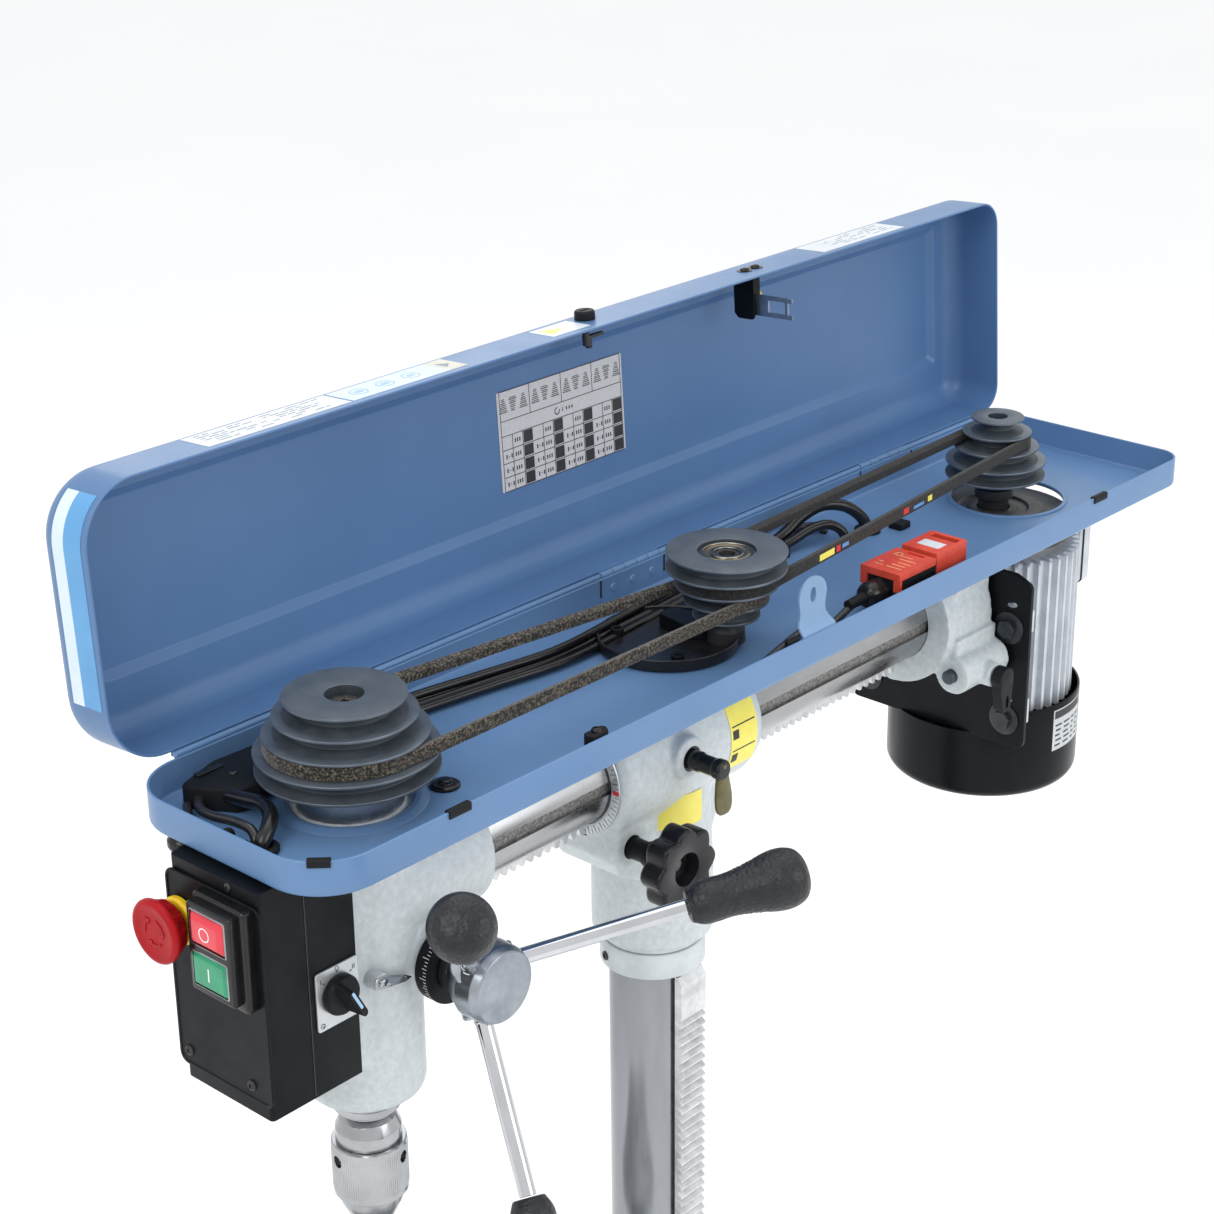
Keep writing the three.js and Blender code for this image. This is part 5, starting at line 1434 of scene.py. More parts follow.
def make_feed():
    c = FEED
    o = (63.6, 130, -125)
    v, f = lathe(fillet([(0, -61.5), (8.8, -61.5), (8.8, 41), (0, 41)], 0.4, 2), 48, "x", c)
    obj_from("feed_shaft_bar", v, f, "steel", "feed", 35, origin=(45, 130, -125), slot="ground_steel", replaces=["feed_shaft"])
    prof = fillet([(9.2, 41.3), (24.6, 41.3), (25, 41.9), (25, 51.2), (24.2, 51.9 - 0.5), (23.6, 51.4), (9.2, 51.4)], [0, .4, .4, .4, .3, 0, 0], 3, True)
    v, f = closed_lathe(prof, 128, "x", c)
    obj_from("depth_ring_body", v, f, "black", "feed", 40, origin=(45, 130, -125), slot="black_metal", replaces=["depth_ring"])
    marks = []
    for k in range(72):
        a = 360 * k / 72
        L = 5.0 if k % 6 == 0 else (3.6 if k % 3 == 0 else 2.4)
        bx = boxm(51.0 - L, 51.0, 24.92, 25.06, -0.16, 0.16)
        marks.append((rot(bx[0], (1, 0, 0), a) + np.array(c), bx[1]))
    v, f = join_parts(marks)
    obj_from("depth_ring_marks", v, f, "white", "feed", 40, slot="label_silver")
    # hub
    pr = [(9.4, 44.4), (9.4, 51.9), (16, 51.9), (16.5, 60), (21, 66), (25, 74), (24.5, 86), (22.5, 91.6), (0, 92)]
    pr = fillet(pr, [0, 0, 1.0, 3, 4, 4, 4, 1.6, 0], 5)
    v, f = lathe([(0, 44.4)] + pr, 128, "x", c)
    ob = raw("feed_hub_body", [(v, f)])
    bosses = []
    for k in range(3):
        d = spoke_dir(k)
        bv, bf = lathe([(0, 8), (11.6, 8), (11.6, 26.0), (10.8, 27.2), (0, 27.2)], 48, "z")
        bosses.append((along(bv, d, o), bf))
    boolean(ob, bosses, "UNION")
    finish_obj(ob, "feed_hub_body", "hub", "feed", 30, ["feed_hub"], origin=(45, 130, -125))
    # dark ring in the gap between the depth ring and the hub: painted shade in the gap
    v, f = closed_lathe(fillet([(9.5, 51.6), (15.2, 51.6), (15.2, 53.0), (9.5, 53.0)], 0.2, 2, True), 64, "x", c)
    obj_from("hub_gap_painted_shade_ring", v, f, "black", "feed", 40, slot="black_metal")
    for k in range(3):
        d = spoke_dir(k)
        v, f = lathe(fillet([(0, 17), (5.2, 17), (5.2, 27.6), (5.8, 28.0), (5.8, 30.6), (5.2, 31.2), (5.2, 133.4), (0, 133.4)], [0, 0, .2, .2, .2, .2, .3, 0], 3), 48, "z")
        obj_from(f"feed_rod_{k+1}_bar", along(v, d, o), f, "chrome", "feed", 35, slot="bright_chrome", replaces=[f"feed_rod_{k+1}"])
        pts = [(5.6, 134.2), (9.6, 134.4), (11.0, 136.6), (13.4, 142.5), (13.7, 150), (13.4, 158), (14.3, 168), (16.2, 178), (18.2, 186), (18.9, 192), (18.2, 199), (15.6, 204.8), (10.6, 208.4), (4.8, 209.8), (0, 209.9)]
        sp = spline([(r, 0, z) for r, z in pts], 96)
        prof = [(0, 134.4)]
        for r, _, z in sp:
            rib = 0
            if 163 < z < 184:
                rib = 0.42 * max(0, math.sin((z - 163) / 2.0 * 2 * math.pi)) * min(1, (z - 163) / 3, (184 - z) / 3)
            prof.append((max(0.0, r + rib - 0.2), z))
        prof[-1] = (0, prof[-1][1])
        v, f = lathe(prof, 72, "z")
        obj_from(f"feed_grip_{k+1}_body", along(v, d, o), f, "grip", "feed", 60, slot="black_plastic", replaces=[f"feed_grip_{k+1}"])
    # return spring housing on the other side, with its notches
    prof = fillet([(9.5, -59.4), (19.4, -59.4), (20.4, -58.4), (20.4, -34), (19.6, -31), (9.5, -31)], [.3, .8, .8, 1, .8, .3], 3, True)
    v, f = closed_lathe(prof, 96, "x", c)
    ob = raw("return_spring_housing", [(v, f)])
    nt = []
    for k in range(8):
        bx = boxm(-34, -30, 18.8, 21.5, -2.2, 2.2)
        nt.append((rot(bx[0], (1, 0, 0), 45 * k) + np.array(c), bx[1]))
    boolean(ob, nt)
    finish_obj(ob, "return_spring_housing", "alu", "head", 32, ["return_spring_cap"])


def make_depth_pointer():
    # bright pointer plate with its screw beside the depth ring
    out = fillet([(74.5, -122.4), (74.5, -114.6), (84, -115.6), (98, -121.6), (103.5, -125), (98, -126.2), (86, -124.2)], [1, 1, 1.5, 1.5, .4, 1.5, 1.5], 3, True)
    v, f = prism(out, 40.5, 41.6, "x")
    # seat boss behind it
    v2, f2 = lathe([(0, 28), (6.4, 28), (5.6, 40.4), (0, 40.4)], 40, "x", (0, 80, -119))
    obj_from("depth_pointer_plate", v, f, "chrome", "head", 35, bevel=0.25, slot="bright_chrome")
    obj_from("depth_pointer_seat", v2, f2, "cast", "head", 45, slot="casting_grey")
    pan_screw("depth_pointer_screw", (41.6, 80, -118.8), 3.2, 2.4, "head", "steel", "x")


make_head_casting()
make_support()
make_rear_casting()
make_ram()
make_star_knob()
make_lock_lever()
make_feed()
make_depth_pointer()


# ------------------------------------------------------------------ switch box, buttons, selector
def frame_ring(name, x0, x1, z0, z1, y0, y1, w, rad, mat, body, slot, rb=0.4):
    """rectangular bezel facing -y"""
    o = rrect(x0, x1, z0, z1, rad, rad, 8)
    i = rrect(x0 + w, x1 - w, z0 + w, z1 - w, max(rad - w, 0.4), max(rad - w, 0.4), 8)
    n = len(o)
    rings = [(o, y1), (o, y0 + rb), ([(a + (rb if a < (x0 + x1) / 2 else -rb), b + (rb if b < (z0 + z1) / 2 else -rb)) for a, b in o], y0), (i, y0), (i, y1)]
    V, F = [], []
    for r, y in rings:
        V += [(a, y, b) for a, b in r]
    for k in range(len(rings)):
        k2 = (k + 1) % len(rings)
        for j in range(n):
            j2 = (j + 1) % n
            F.append([k * n + j, k * n + j2, k2 * n + j2, k2 * n + j])
    return obj_from(name, V, F, mat, body, 35, slot=slot)


def pillow(name, x0, x1, z0, z1, y_back, y_front, inset, rad, mat, body, slot, replaces=(), crown=0.6):
    """button cap facing -y: sides, a sloped shoulder and a slightly crowned face"""
    rings = []

    def rr(off, y):
        o = rrect(x0 + off, x1 - off, z0 + off, z1 - off, max(rad - off * 0.5, 0.5), None, 8)
        rings.append([(a, y, b) for a, b in o])
    rr(0, y_back)
    rr(0, y_front + inset + 0.3)
    rr(0.15, y_front + inset)
    for k in range(1, 6):
        s = k / 5
        rr(0.15 + inset * s, y_front + inset * (1 - s) * 0.9 + crown * 0.25)
    rr(inset + 2.2, y_front + 0.05)
    v, f = loft(rings, True, True)
    return obj_from(name, v, f, mat, body, 35, slot=slot, replaces=replaces)


def make_switch():
    # sheet metal box with rounded long edges and a shallow seam round its mouth
    out = fillet([(-33, -8), (42, -8), (42, 60.6), (-33, 60.6)], [3.0, 3.0, 0.6, 0.6], 6, True)
    v, f = prism(out, -170, -24, "z")
    ob = obj_from("switch_box_body", v, f, "black", "head", 35, bevel=1.2, bseg=3, slot="black_metal", replaces=["switch_box"])
    v, f = prism(rrect(-31.6, 40.6, -6.6, 58, 2.4, 2.4, 4), -170.35, -169.4, "z")
    obj_from("switch_box_base_cover", v, f, "black", "head", 35, slot="black_metal")
    v, f = boxm(41.9, 42.35, 24.0, 24.7, -168, -26)
    obj_from("switch_box_seam", v, f, "ink", "head", 35, slot="black_metal")
    # front plate with its raised rolled border
    o = rrect(-36, 46, -160, -32, 7, 7, 8)
    rings = []

    def ring_at(off, y):
        q = rrect(-36 + off, 46 - off, -160 + off, -32 - off, max(7 - off, 1), None, 8)
        rings.append([(a, y, b) for a, b in q])
    ring_at(0.4, -8.2)
    ring_at(0, -8.6)
    ring_at(0, -9.7)
    ring_at(0.5, -10.2)
    ring_at(1.9, -10.2)
    ring_at(2.4, -9.6)
    ring_at(6, -9.5)
    v, f = loft(rings, True, True)
    obj_from("switch_plate_body", v, f, "black", "head", 35, slot="black_metal", replaces=["switch_plate"])
    for i, (x, z) in enumerate([(28, -150), (-27, -150)]):
        pan_screw(f"switch_plate_screw_{i+1}", (x, -9.5, z), 3.4, 2.0, "head", "ink", "y", flip=-1)
    pan_screw("switch_box_screw", (18, -8.0, -27.6), 2.6, 1.6, "head", "ink", "y", flip=-1)
    # housing of the stop and start buttons
    rings = []

    def hr(x0, x1, z0, z1, rad, y):
        rings.append([(a, y, b) for a, b in rrect(x0, x1, z0, z1, rad, rad, 8)])
    hr(-3.5, 40, -97, -33, 3, -9.4)
    hr(-3.5, 40, -97, -33, 3, -15.8)
    hr(-2.9, 39.4, -96.4, -33.6, 2.6, -16.7)
    hr(-2.4, 38.9, -95.9, -34.1, 2.4, -16.95)
    hr(-2.5, 34.6, -92.6, -36.6, 2.0, -17.0)
    hr(-2.5, 34.6, -92.6, -36.6, 2.0, -21.4)
    hr(-1.9, 34.0, -92.0, -37.2, 1.7, -22.2)
    hr(-1.2, 33.3, -91.3, -37.9, 1.2, -22.4)
    v, f = loft(rings, True, True)
    ob = raw("switch_housing_body", [(v, f)])
    boolean(ob, [boxm(0.3, 30.2, -30, -13.4, -62.5, -40.5), boxm(0.3, 30.2, -30, -13.4, -88.5, -66.5)])
    finish_obj(ob, "switch_housing_body", "gloss", "head", 30, ["switch_housing"])
    # clear-edged bezels round each button
    frame_ring("stop_bezel", -0.1, 30.6, -62.9, -40.1, -22.9, -20.5, 0.8, 1.6, "bezel", "head", "bright_chrome")
    frame_ring("start_bezel", -0.1, 30.6, -88.9, -66.1, -22.9, -20.5, 0.8, 1.6, "bezel", "head", "bright_chrome")
    pillow("stop_cap", 1.2, 29.4, -61.6, -41.4, -17.2, -25.2, 3.4, 1.4, "redbtn", "stop_button", "red_plastic", ["stop_button"])
    pillow("start_cap", 1.2, 29.4, -87.6, -67.4, -17.2, -24.0, 1.6, 1.4, "green", "start_button", "green_plastic", ["start_button"])
    # O and I marks
    prof = fillet([(3.6, -25.25), (4.35, -25.25), (4.35, -24.8), (3.6, -24.8)], 0.1, 1, True)
    v, f = closed_lathe(prof, 48, "y", (15.3, 0, -51.5))
    obj_from("stop_mark", v, f, "white", "stop_button", 40, slot="label_silver")
    v, f = boxm(14.8, 15.8, -24.05, -23.6, -81.6, -73.4)
    obj_from("start_mark", v, f, "white", "start_button", 40, slot="label_silver")
    # emergency stop: yellow seat, fluted mushroom head
    c = (-23, 0, -62)
    v, f = closed_lathe(fillet([(9.2, -10.2), (14.6, -10.2), (14.6, -13.2), (13.2, -14.5), (9.2, -14.5)], [.1, .3, .8, 1, .1], 3, True), 96, "y", c)
    obj_from("estop_seat", v, f, "yellow", "head", 40, slot="yellow_plastic", replaces=["estop_collar"])
    rings = []
    m = 144
    prof = [(5.0, -13.9, 0), (8.6, -14.0, 0), (8.6, -18.3, 0), (14.8, -18.4, 0), (15.5, -18.9, .6), (15.9, -20, 1), (16.6, -22.4, 1), (17.8, -25.0, .8), (19.2, -26.4, 0), (19.7, -27.2, 0), (19.7, -29.0, 0), (19.1, -30.2, 0), (18.0, -30.9, 0), (16.4, -31.0, 0), (14.6, -30.5, 0), (9.0, -30.1, 0), (3.0, -30.0, 0)]
    for r, y, fl in prof:
        ring_ = []
        for k in range(m):
            t = 2 * math.pi * k / m
            rr = r + fl * 0.55 * (1 if math.sin(12 * t) > 0 else -1) * min(1, abs(math.sin(12 * t)) * 2.2)
            ring_.append((c[0] + rr * math.cos(t), y, c[2] + rr * math.sin(t)))
        rings.append(ring_)
    v, f = loft(rings, True, True)
    obj_from("estop_head", v, f, "red", "estop", 45, slot="red_plastic", replaces=["estop_button"])
    # raised turning arrows on the face
    parts = []
    for k in range(3):
        a0 = math.radians(120 * k + 15)
        prof = [(7.2, -30.62), (9.0, -30.62), (9.0, -30.0), (7.2, -30.0), (7.2, -30.62)]
        pv, pf = lathe(prof, 14, "y", c, a0, a0 + math.radians(62))
        pf = pf + [[q * 15 for q in range(4)][::-1], [q * 15 + 14 for q in range(4)]]
        parts.append((pv, pf))
        e = a0 + math.radians(62)
        # arrow head (order z, x for the y axis)
        pts = []
        for rr, da in ((5.6, 0), (10.6, 0), (8.1, 0.42)):
            pts.append((rr * math.cos(e + da), rr * math.sin(e + da)))
        hv, hf = prism(pts, -30.62, -30.0, "y", (c[0], 0, c[2]))
        parts.append((hv, hf))
    v, f = join_parts(parts)
    obj_from("estop_arrows", v, f, "red", "estop", 40, slot="red_plastic", bevel=0.12)


def make_selector():
    v, f = prism(rrect(28, 60, -128, -90, 2, 2, 6), 42.3, 43.8, "x")
    ob = obj_from("selector_plate_body", v, f, "silver", "head", 35, bevel=0.35, slot="label_silver", replaces=["selector_plate"])
    marks = []
    for a in (135, 90, 45):
        bx = boxm(43.7, 43.93, 13.6, 15.2, -0.35, 0.35)
        marks.append((rot(bx[0], (1, 0, 0), a) + np.array([0, 44, -108]), bx[1]))
    # 0 above, strokes for 1 and 2 at the sides
    zv, zf = closed_lathe([(1.1, 43.7), (1.5, 43.7), (1.5, 43.93), (1.1, 43.93)], 24, "x", (0, 44, -91.9))
    marks.append((zv, zf))
    marks.append(boxm(43.7, 43.93, 31.3, 31.8, -97.2, -94.4))
    marks.append(boxm(43.7, 43.93, 55.4, 55.9, -97.2, -94.4))
    marks.append(boxm(43.7, 43.93, 56.7, 57.2, -97.2, -94.4))
    v, f = join_parts(marks)
    obj_from("selector_marks", v, f, "ink", "head", 40, slot="black_metal")
    for i, (y, z) in enumerate([(31.5, -124.5), (56.5, -124.5)]):
        pan_screw(f"selector_plate_screw_{i+1}", (43.8, y, z), 1.7, 1.0, "head", "steel", "x", 0.5)
    c = (0, 44, -108)
    v, f = lathe(fillet([(0, 44.2), (12.4, 44.2), (12.4, 47.6), (11.2, 50), (0, 50)], [0, .4, .8, 1, 0], 4), 72, "x", c)
    ob = raw("selector_knob_body", [(v, f)])
    g = fillet([(-11.6, -3.4), (11.6, -3.4), (11.6, 3.4), (-11.6, 3.4)], [2.4, 2.4, 3.2, 3.2], 5, True)
    gv, gf = prism(g, 48, 61.8, "x")
    # narrower at the top
    gv = np.array(gv)
    top = gv[:, 0] > 55
    gv[top, 1] *= 0.94
    gv[top, 2] *= 0.62
    gv = rot(gv, (1, 0, 0), -62) + np.array(c)
    boolean(ob, [(gv, gf)], "UNION")
    finish_obj(ob, "selector_knob_body", "plastic", "selector", 30, ["selector_knob"], origin=(50, 44, -108))
    add_bevel(ob, 0.5, 2)
    v, f = prism(rrect(-10.2, 4.2, -0.9, 0.9, 0.7, 0.7, 3), 61.3, 62.0, "x")
    obj_from("selector_knob_stripe", rot(v, (1, 0, 0), -62) + np.array(c), f, "labelpale", "selector", 40, slot="label_silver")


# ------------------------------------------------------------------ motor, plate, tension lock
def make_motor():
    c = (0, MO, 0)
    # finned aluminium body
    nf = 44
    def outline(grow, flat=True):
        o = []
        per = 8
        for k in range(nf * per):
            ph = (k % per) / per
            fin = 1.0 if ph < 0.36 else 0.0
            edge = 0.0
            if abs(ph - 0.375) < 0.01:
                fin = 0.5
            r = 62.3 + (4.9 if fin == 1.0 else (2.2 if fin == 0.5 else 0.0)) + grow
            t = 2 * math.pi * k / (nf * per)
            x, y = r * math.cos(t), r * math.sin(t)
            y = max(y, -62.2)
            o.append((x, y))
        return o
    rings = []
    for g, z in ((-1.2, -171.4), (0, -170.6), (0, -50.2), (-1.0, -49.2), (-6.5, -48.3)):
        rings.append([(a, MO + b, z) for a, b in outline(g)])
    nn = len(rings[0])
    for r, z in ((52.0, -48.1), (50, -47.4), (50, -41.2), (48.8, -40.2), (22, -40.2), (20, -41), (8, -41)):
        rings.append([(r * math.cos(2 * math.pi * k / nn), MO + r * math.sin(2 * math.pi * k / nn), z) for k in range(nn)])
    v, f = loft(rings, True, True)
    ob = raw("motor_body_finned", [(v, f)])
    boolean(ob, [boxm(-21.8, 21.8, 812, 851.6, -110, -60)], "UNION")
    finish_obj(ob, "motor_body_finned", "motoralu", "motor", 28, ["motor_housing"])
    # end shield seen through the guard's opening: stepped rings
    v, f = closed_lathe(fillet([(12.4, -41), (61.2, -41), (61.2, -30.0), (59.6, -28.8), (39.0, -28.0), (37.6, -25.4), (36.2, -24.4), (27, -24.4), (25.4, -26.2), (19.6, -26.2), (18.2, -24.8), (12.4, -24.8)], [.1, .8, .8, .8, .6, .6, .6, .5, .5, .5, .5, .3], 4, True), 128, "z", c)
    obj_from("motor_end_shield", v, f, "shieldgrey", "motor", 40, slot="cast_aluminium")
    v, f = closed_lathe(fillet([(7.05, -27.0), (11.6, -27.0), (11.6, -17.6), (14.4, -16.4), (14.4, -9.0), (7.05, -9.0)], [.1, .4, .6, .6, .5, .1], 3, True), 64, "z", c)
    obj_from("motor_pulley_collar", v, f, "ink", "motor_pulley", 40, origin=(0, MO, 0), slot="black_metal")
    # shaft
    v, f = lathe(fillet([(0, -41.5), (9.5, -41.5), (9.5, -34), (7.0, -33), (7.0, 37.2), (6.2, 38), (0, 38)], [0, .4, .6, .6, .5, .3, 0], 3), 48, "z", c)
    obj_from("motor_shaft_bar", v, f, "steel", "motor_pulley", 35, origin=(0, MO, 0), slot="ground_steel", replaces=["motor_shaft"])
    # fan cover: deep drawn cup with a rolled top edge and air slots in its floor
    prof = [(0, -239), (64, -239)]
    for k in range(9):
        a = math.radians(-90 + 90 * k / 8)
        prof.append((64 + 10 * math.cos(a) - 0.0, -229 + 10 * math.sin(a)))
    prof += [(74, -167.6), (73.7, -166.6), (73.0, -166.2), (72.3, -166.6), (72.1, -168)]
    for k in range(9):
        a = math.radians(0 - 90 * k / 8)
        prof.append((63.5 + 8.6 * math.cos(a), -228.6 + 8.6 * math.sin(a)))
    prof += [(0, -237.2)]
    v, f = lathe(prof, 144, "z", c)
    ob = raw("fan_cover_cup", [(v, f)])
    cuts = []
    for ringr, n, w in ((20, 6, 5), (34, 10, 5), (48, 14, 5)):
        for k in range(n):
            a = 360 * k / n
            bx = boxm(ringr - 4.5, ringr + 4.5, -w / 2, w / 2, -243, -233)
            cuts.append((rot(bx[0], (0, 0, 1), a) + np.array([0, MO, 0]), bx[1]))
    cv, cf = join_parts(cuts)
    boolean(ob, [(cv, cf), boxm(-90, 90, 640, 697.2, -181.5, -150)])
    finish_obj(ob, "fan_cover_cup", "coverblack", "motor", 30, ["motor_fan_cover"])
    for k, a in enumerate((-36, 54, 144)):
        t = math.radians(a)
        v, f = lathe(fillet([(0, 73.6), (3.1, 73.6), (3.1, 74.6), (2.0, 75.6), (0, 75.6)], [0, .2, .4, .4, 0], 2), 28, "x")
        obj_from(f"fan_cover_screw_{k+1}", rot(v, (0, 0, 1), a) + np.array([0, MO, -174]), f, "ink", "motor", 40, slot="black_metal")
    # rating plate on the cover: blank silver field, dark head strip and rows of plain bars
    def patch(r, a0, a1, z0, z1, t=0.25, n=20):
        pr = [(r, z0), (r + t, z0), (r + t, z1), (r, z1), (r, z0)]
        pv, pf = lathe(pr, n, "z", c, math.radians(a0), math.radians(a1))
        return pv, pf + [[q * (n + 1) for q in range(4)][::-1], [q * (n + 1) + n for q in range(4)]]
    v, f = patch(74.0, -10, 22, -205, -171)
    obj_from("rating_plate", v, f, "silver", "motor", 40, slot="label_silver")
    dark = [patch(74.22, -9, 21, -178.4, -172, 0.1)]
    for i in range(5):
        z = -183.4 - i * 4.2
        for a0, a1 in ((-8, -2), (0, 7), (9, 13), (15, 20)):
            dark.append(patch(74.22, a0 + (i % 2) * 0.6, a1 - (i % 3) * 0.9, z - 1.5, z, 0.1, 6))
    v, f = join_parts(dark)
    obj_from("rating_plate_marks", v, f, "ink", "motor", 40, slot="black_metal")
    # terminal box: cast cover with lip, gasket and screws
    v, f = prism(rrect(-38, 38, -146, -56, 5, 5, 6), 852.4, 873.2, "y", (0, 0, 0))
    # prism on y takes (z, x): swap
    o = [(b, a) for a, b in rrect(-24, 24, -112, -58, 5, 5, 6)]
    v, f = prism(o, 856.0, 866.0, "y")
    obj_from("terminal_box_cover", v, f, "motoralu", "motor", 35, bevel=1.6, bseg=3, slot="cast_aluminium", replaces=["terminal_box"])
    v, f = prism([(b, a) for a, b in rrect(-24.2, 24.2, -112.2, -57.8, 5, 5, 6)], 854.4, 856.2, "y")
    obj_from("terminal_box_gasket", v, f, "plastic", "motor", 35, slot="black_plastic")
    v, f = prism([(b, a) for a, b in rrect(-23.6, 23.6, -111.6, -58.4, 4.6, 4.6, 6)], 850.6, 854.4, "y")
    obj_from("terminal_box_base", v, f, "motoralu", "motor", 35, slot="cast_aluminium")
    for i, (x, z) in enumerate([(-18, -64), (18, -64), (-18, -106), (18, -106)]):
        pan_screw(f"terminal_box_screw_{i+1}", (x, 865.8, z), 2.6, 1.0, "motor", "steel", "y", 0.7)
    # mounting plate
    o = [(b, a) for a, b in fillet([(-80, -183), (80, -183), (80, -50), (66, -44), (-66, -44), (-80, -50)], [8, 8, 6, 5, 5, 6], 6, True)]
    v, f = prism(o, 693.5, 697.0, "y")
    ob = raw("motor_plate_sheet", [(v, f)])
    def slot_cut(x, z, hw, hh, ang):
        q = [(hw * math.cos(t) * 1.0, hh * math.sin(t)) for t in [2 * math.pi * k / 20 for k in range(20)]]
        return [(z + a * math.sin(math.radians(ang)) + b * math.cos(math.radians(ang)), x + a * math.cos(math.radians(ang)) - b * math.sin(math.radians(ang))) for a, b in q]
    cuts = []
    for sx in (1, -1):
        for zz in (-69.5, -146.2):
            pts = slot_cut(sx * 63.3, zz, 5.2, 2.4, 18 * sx)
            cuts.append(prism(pts, 690, 700, "y"))
    boolean(ob, cuts)
    finish_obj(ob, "motor_plate_sheet", "black", "motor", 30, ["motor_plate"])
    add_bevel(ob, 0.6, 2)
    # slide bar behind each slot, the gap to the motor's foot
    for sx, s_ in ((1, "r"), (-1, "l")):
        v, f = lathe(fillet([(0, 631), (5.2, 631), (5.2, 693.6), (0, 693.6)], [0, .8, 0, 0], 3), 40, "y", (sx * 52, 0, -110))
        obj_from(f"motor_slide_bar_{s_}", v, f, "barblue", "motor", 35, slot="ground_steel")
        for j, zz in enumerate((-87.2, -161.0)):
            hex_head(f"motor_plate_bolt_{s_}{j+1}", (sx * 62.5, 693.5, zz), 13, 6.0, "motor", "boltdark", "y", 14, "black_metal", washer=12.6, flip=-1)
    # feet of the motor between plate and body
    parts = []
    for sx in (1, -1):
        parts.append(boxm(sx * 46 if sx > 0 else -70, 70 if sx > 0 else -46, 697.0, 716, -170, -150))
        parts.append(boxm(sx * 46 if sx > 0 else -70, 70 if sx > 0 else -46, 697.0, 716, -96, -78))
    v, f = join_parts(parts)
    obj_from("motor_feet", v, f, "motoralu", "motor", 35, bevel=1.0, slot="cast_aluminium")


def make_tension_lock():
    c = (0, 662, -112)
    v, f = lathe(fillet([(0, 62), (6.2, 62), (6.2, 74), (8.4, 74.6), (8.4, 83.6), (0, 83.6)], [0, .3, .5, .5, .8, 0], 3), 56, "x", c)
    ob = raw("tension_lock_lever", [(v, f)])
    o = fillet([(654.5, -106), (669.5, -106), (670.6, -118), (668.2, -138.8), (659.2, -138.8), (655.0, -120)], [3, 3, 3, 3, 3, 3], 4, True)
    bv, bf = prism(o, 75.2, 83.2, "x")
    boolean(ob, [(bv, bf)], "UNION")
    o2 = [(664 + 1.9 * math.cos(2 * math.pi * k / 24) + 0, -131 + 5.0 * math.sin(2 * math.pi * k / 24)) for k in range(24)]
    boolean(ob, [prism(o2, 81.2, 90, "x")])
    finish_obj(ob, "tension_lock_lever", "plastic", "tension_lock", 30, ["motor_tension_lock"], origin=(70, 662, -112))
    add_bevel(ob, 0.5, 2)


# ------------------------------------------------------------------ cables in the tray
def cable(name, pts, r, mat="cable", body="head", n=None, slot="cable_black", replaces=(), seg=18):
    L = sum(math.dist(a, b) for a, b in zip(pts[:-1], pts[1:]))
    n = n or max(24, int(L / 3.0))
    v, f = sweep(spline(pts, n), circle(r, seg))
    return obj_from(name, v, f, mat, body, 60, slot=slot, replaces=replaces)


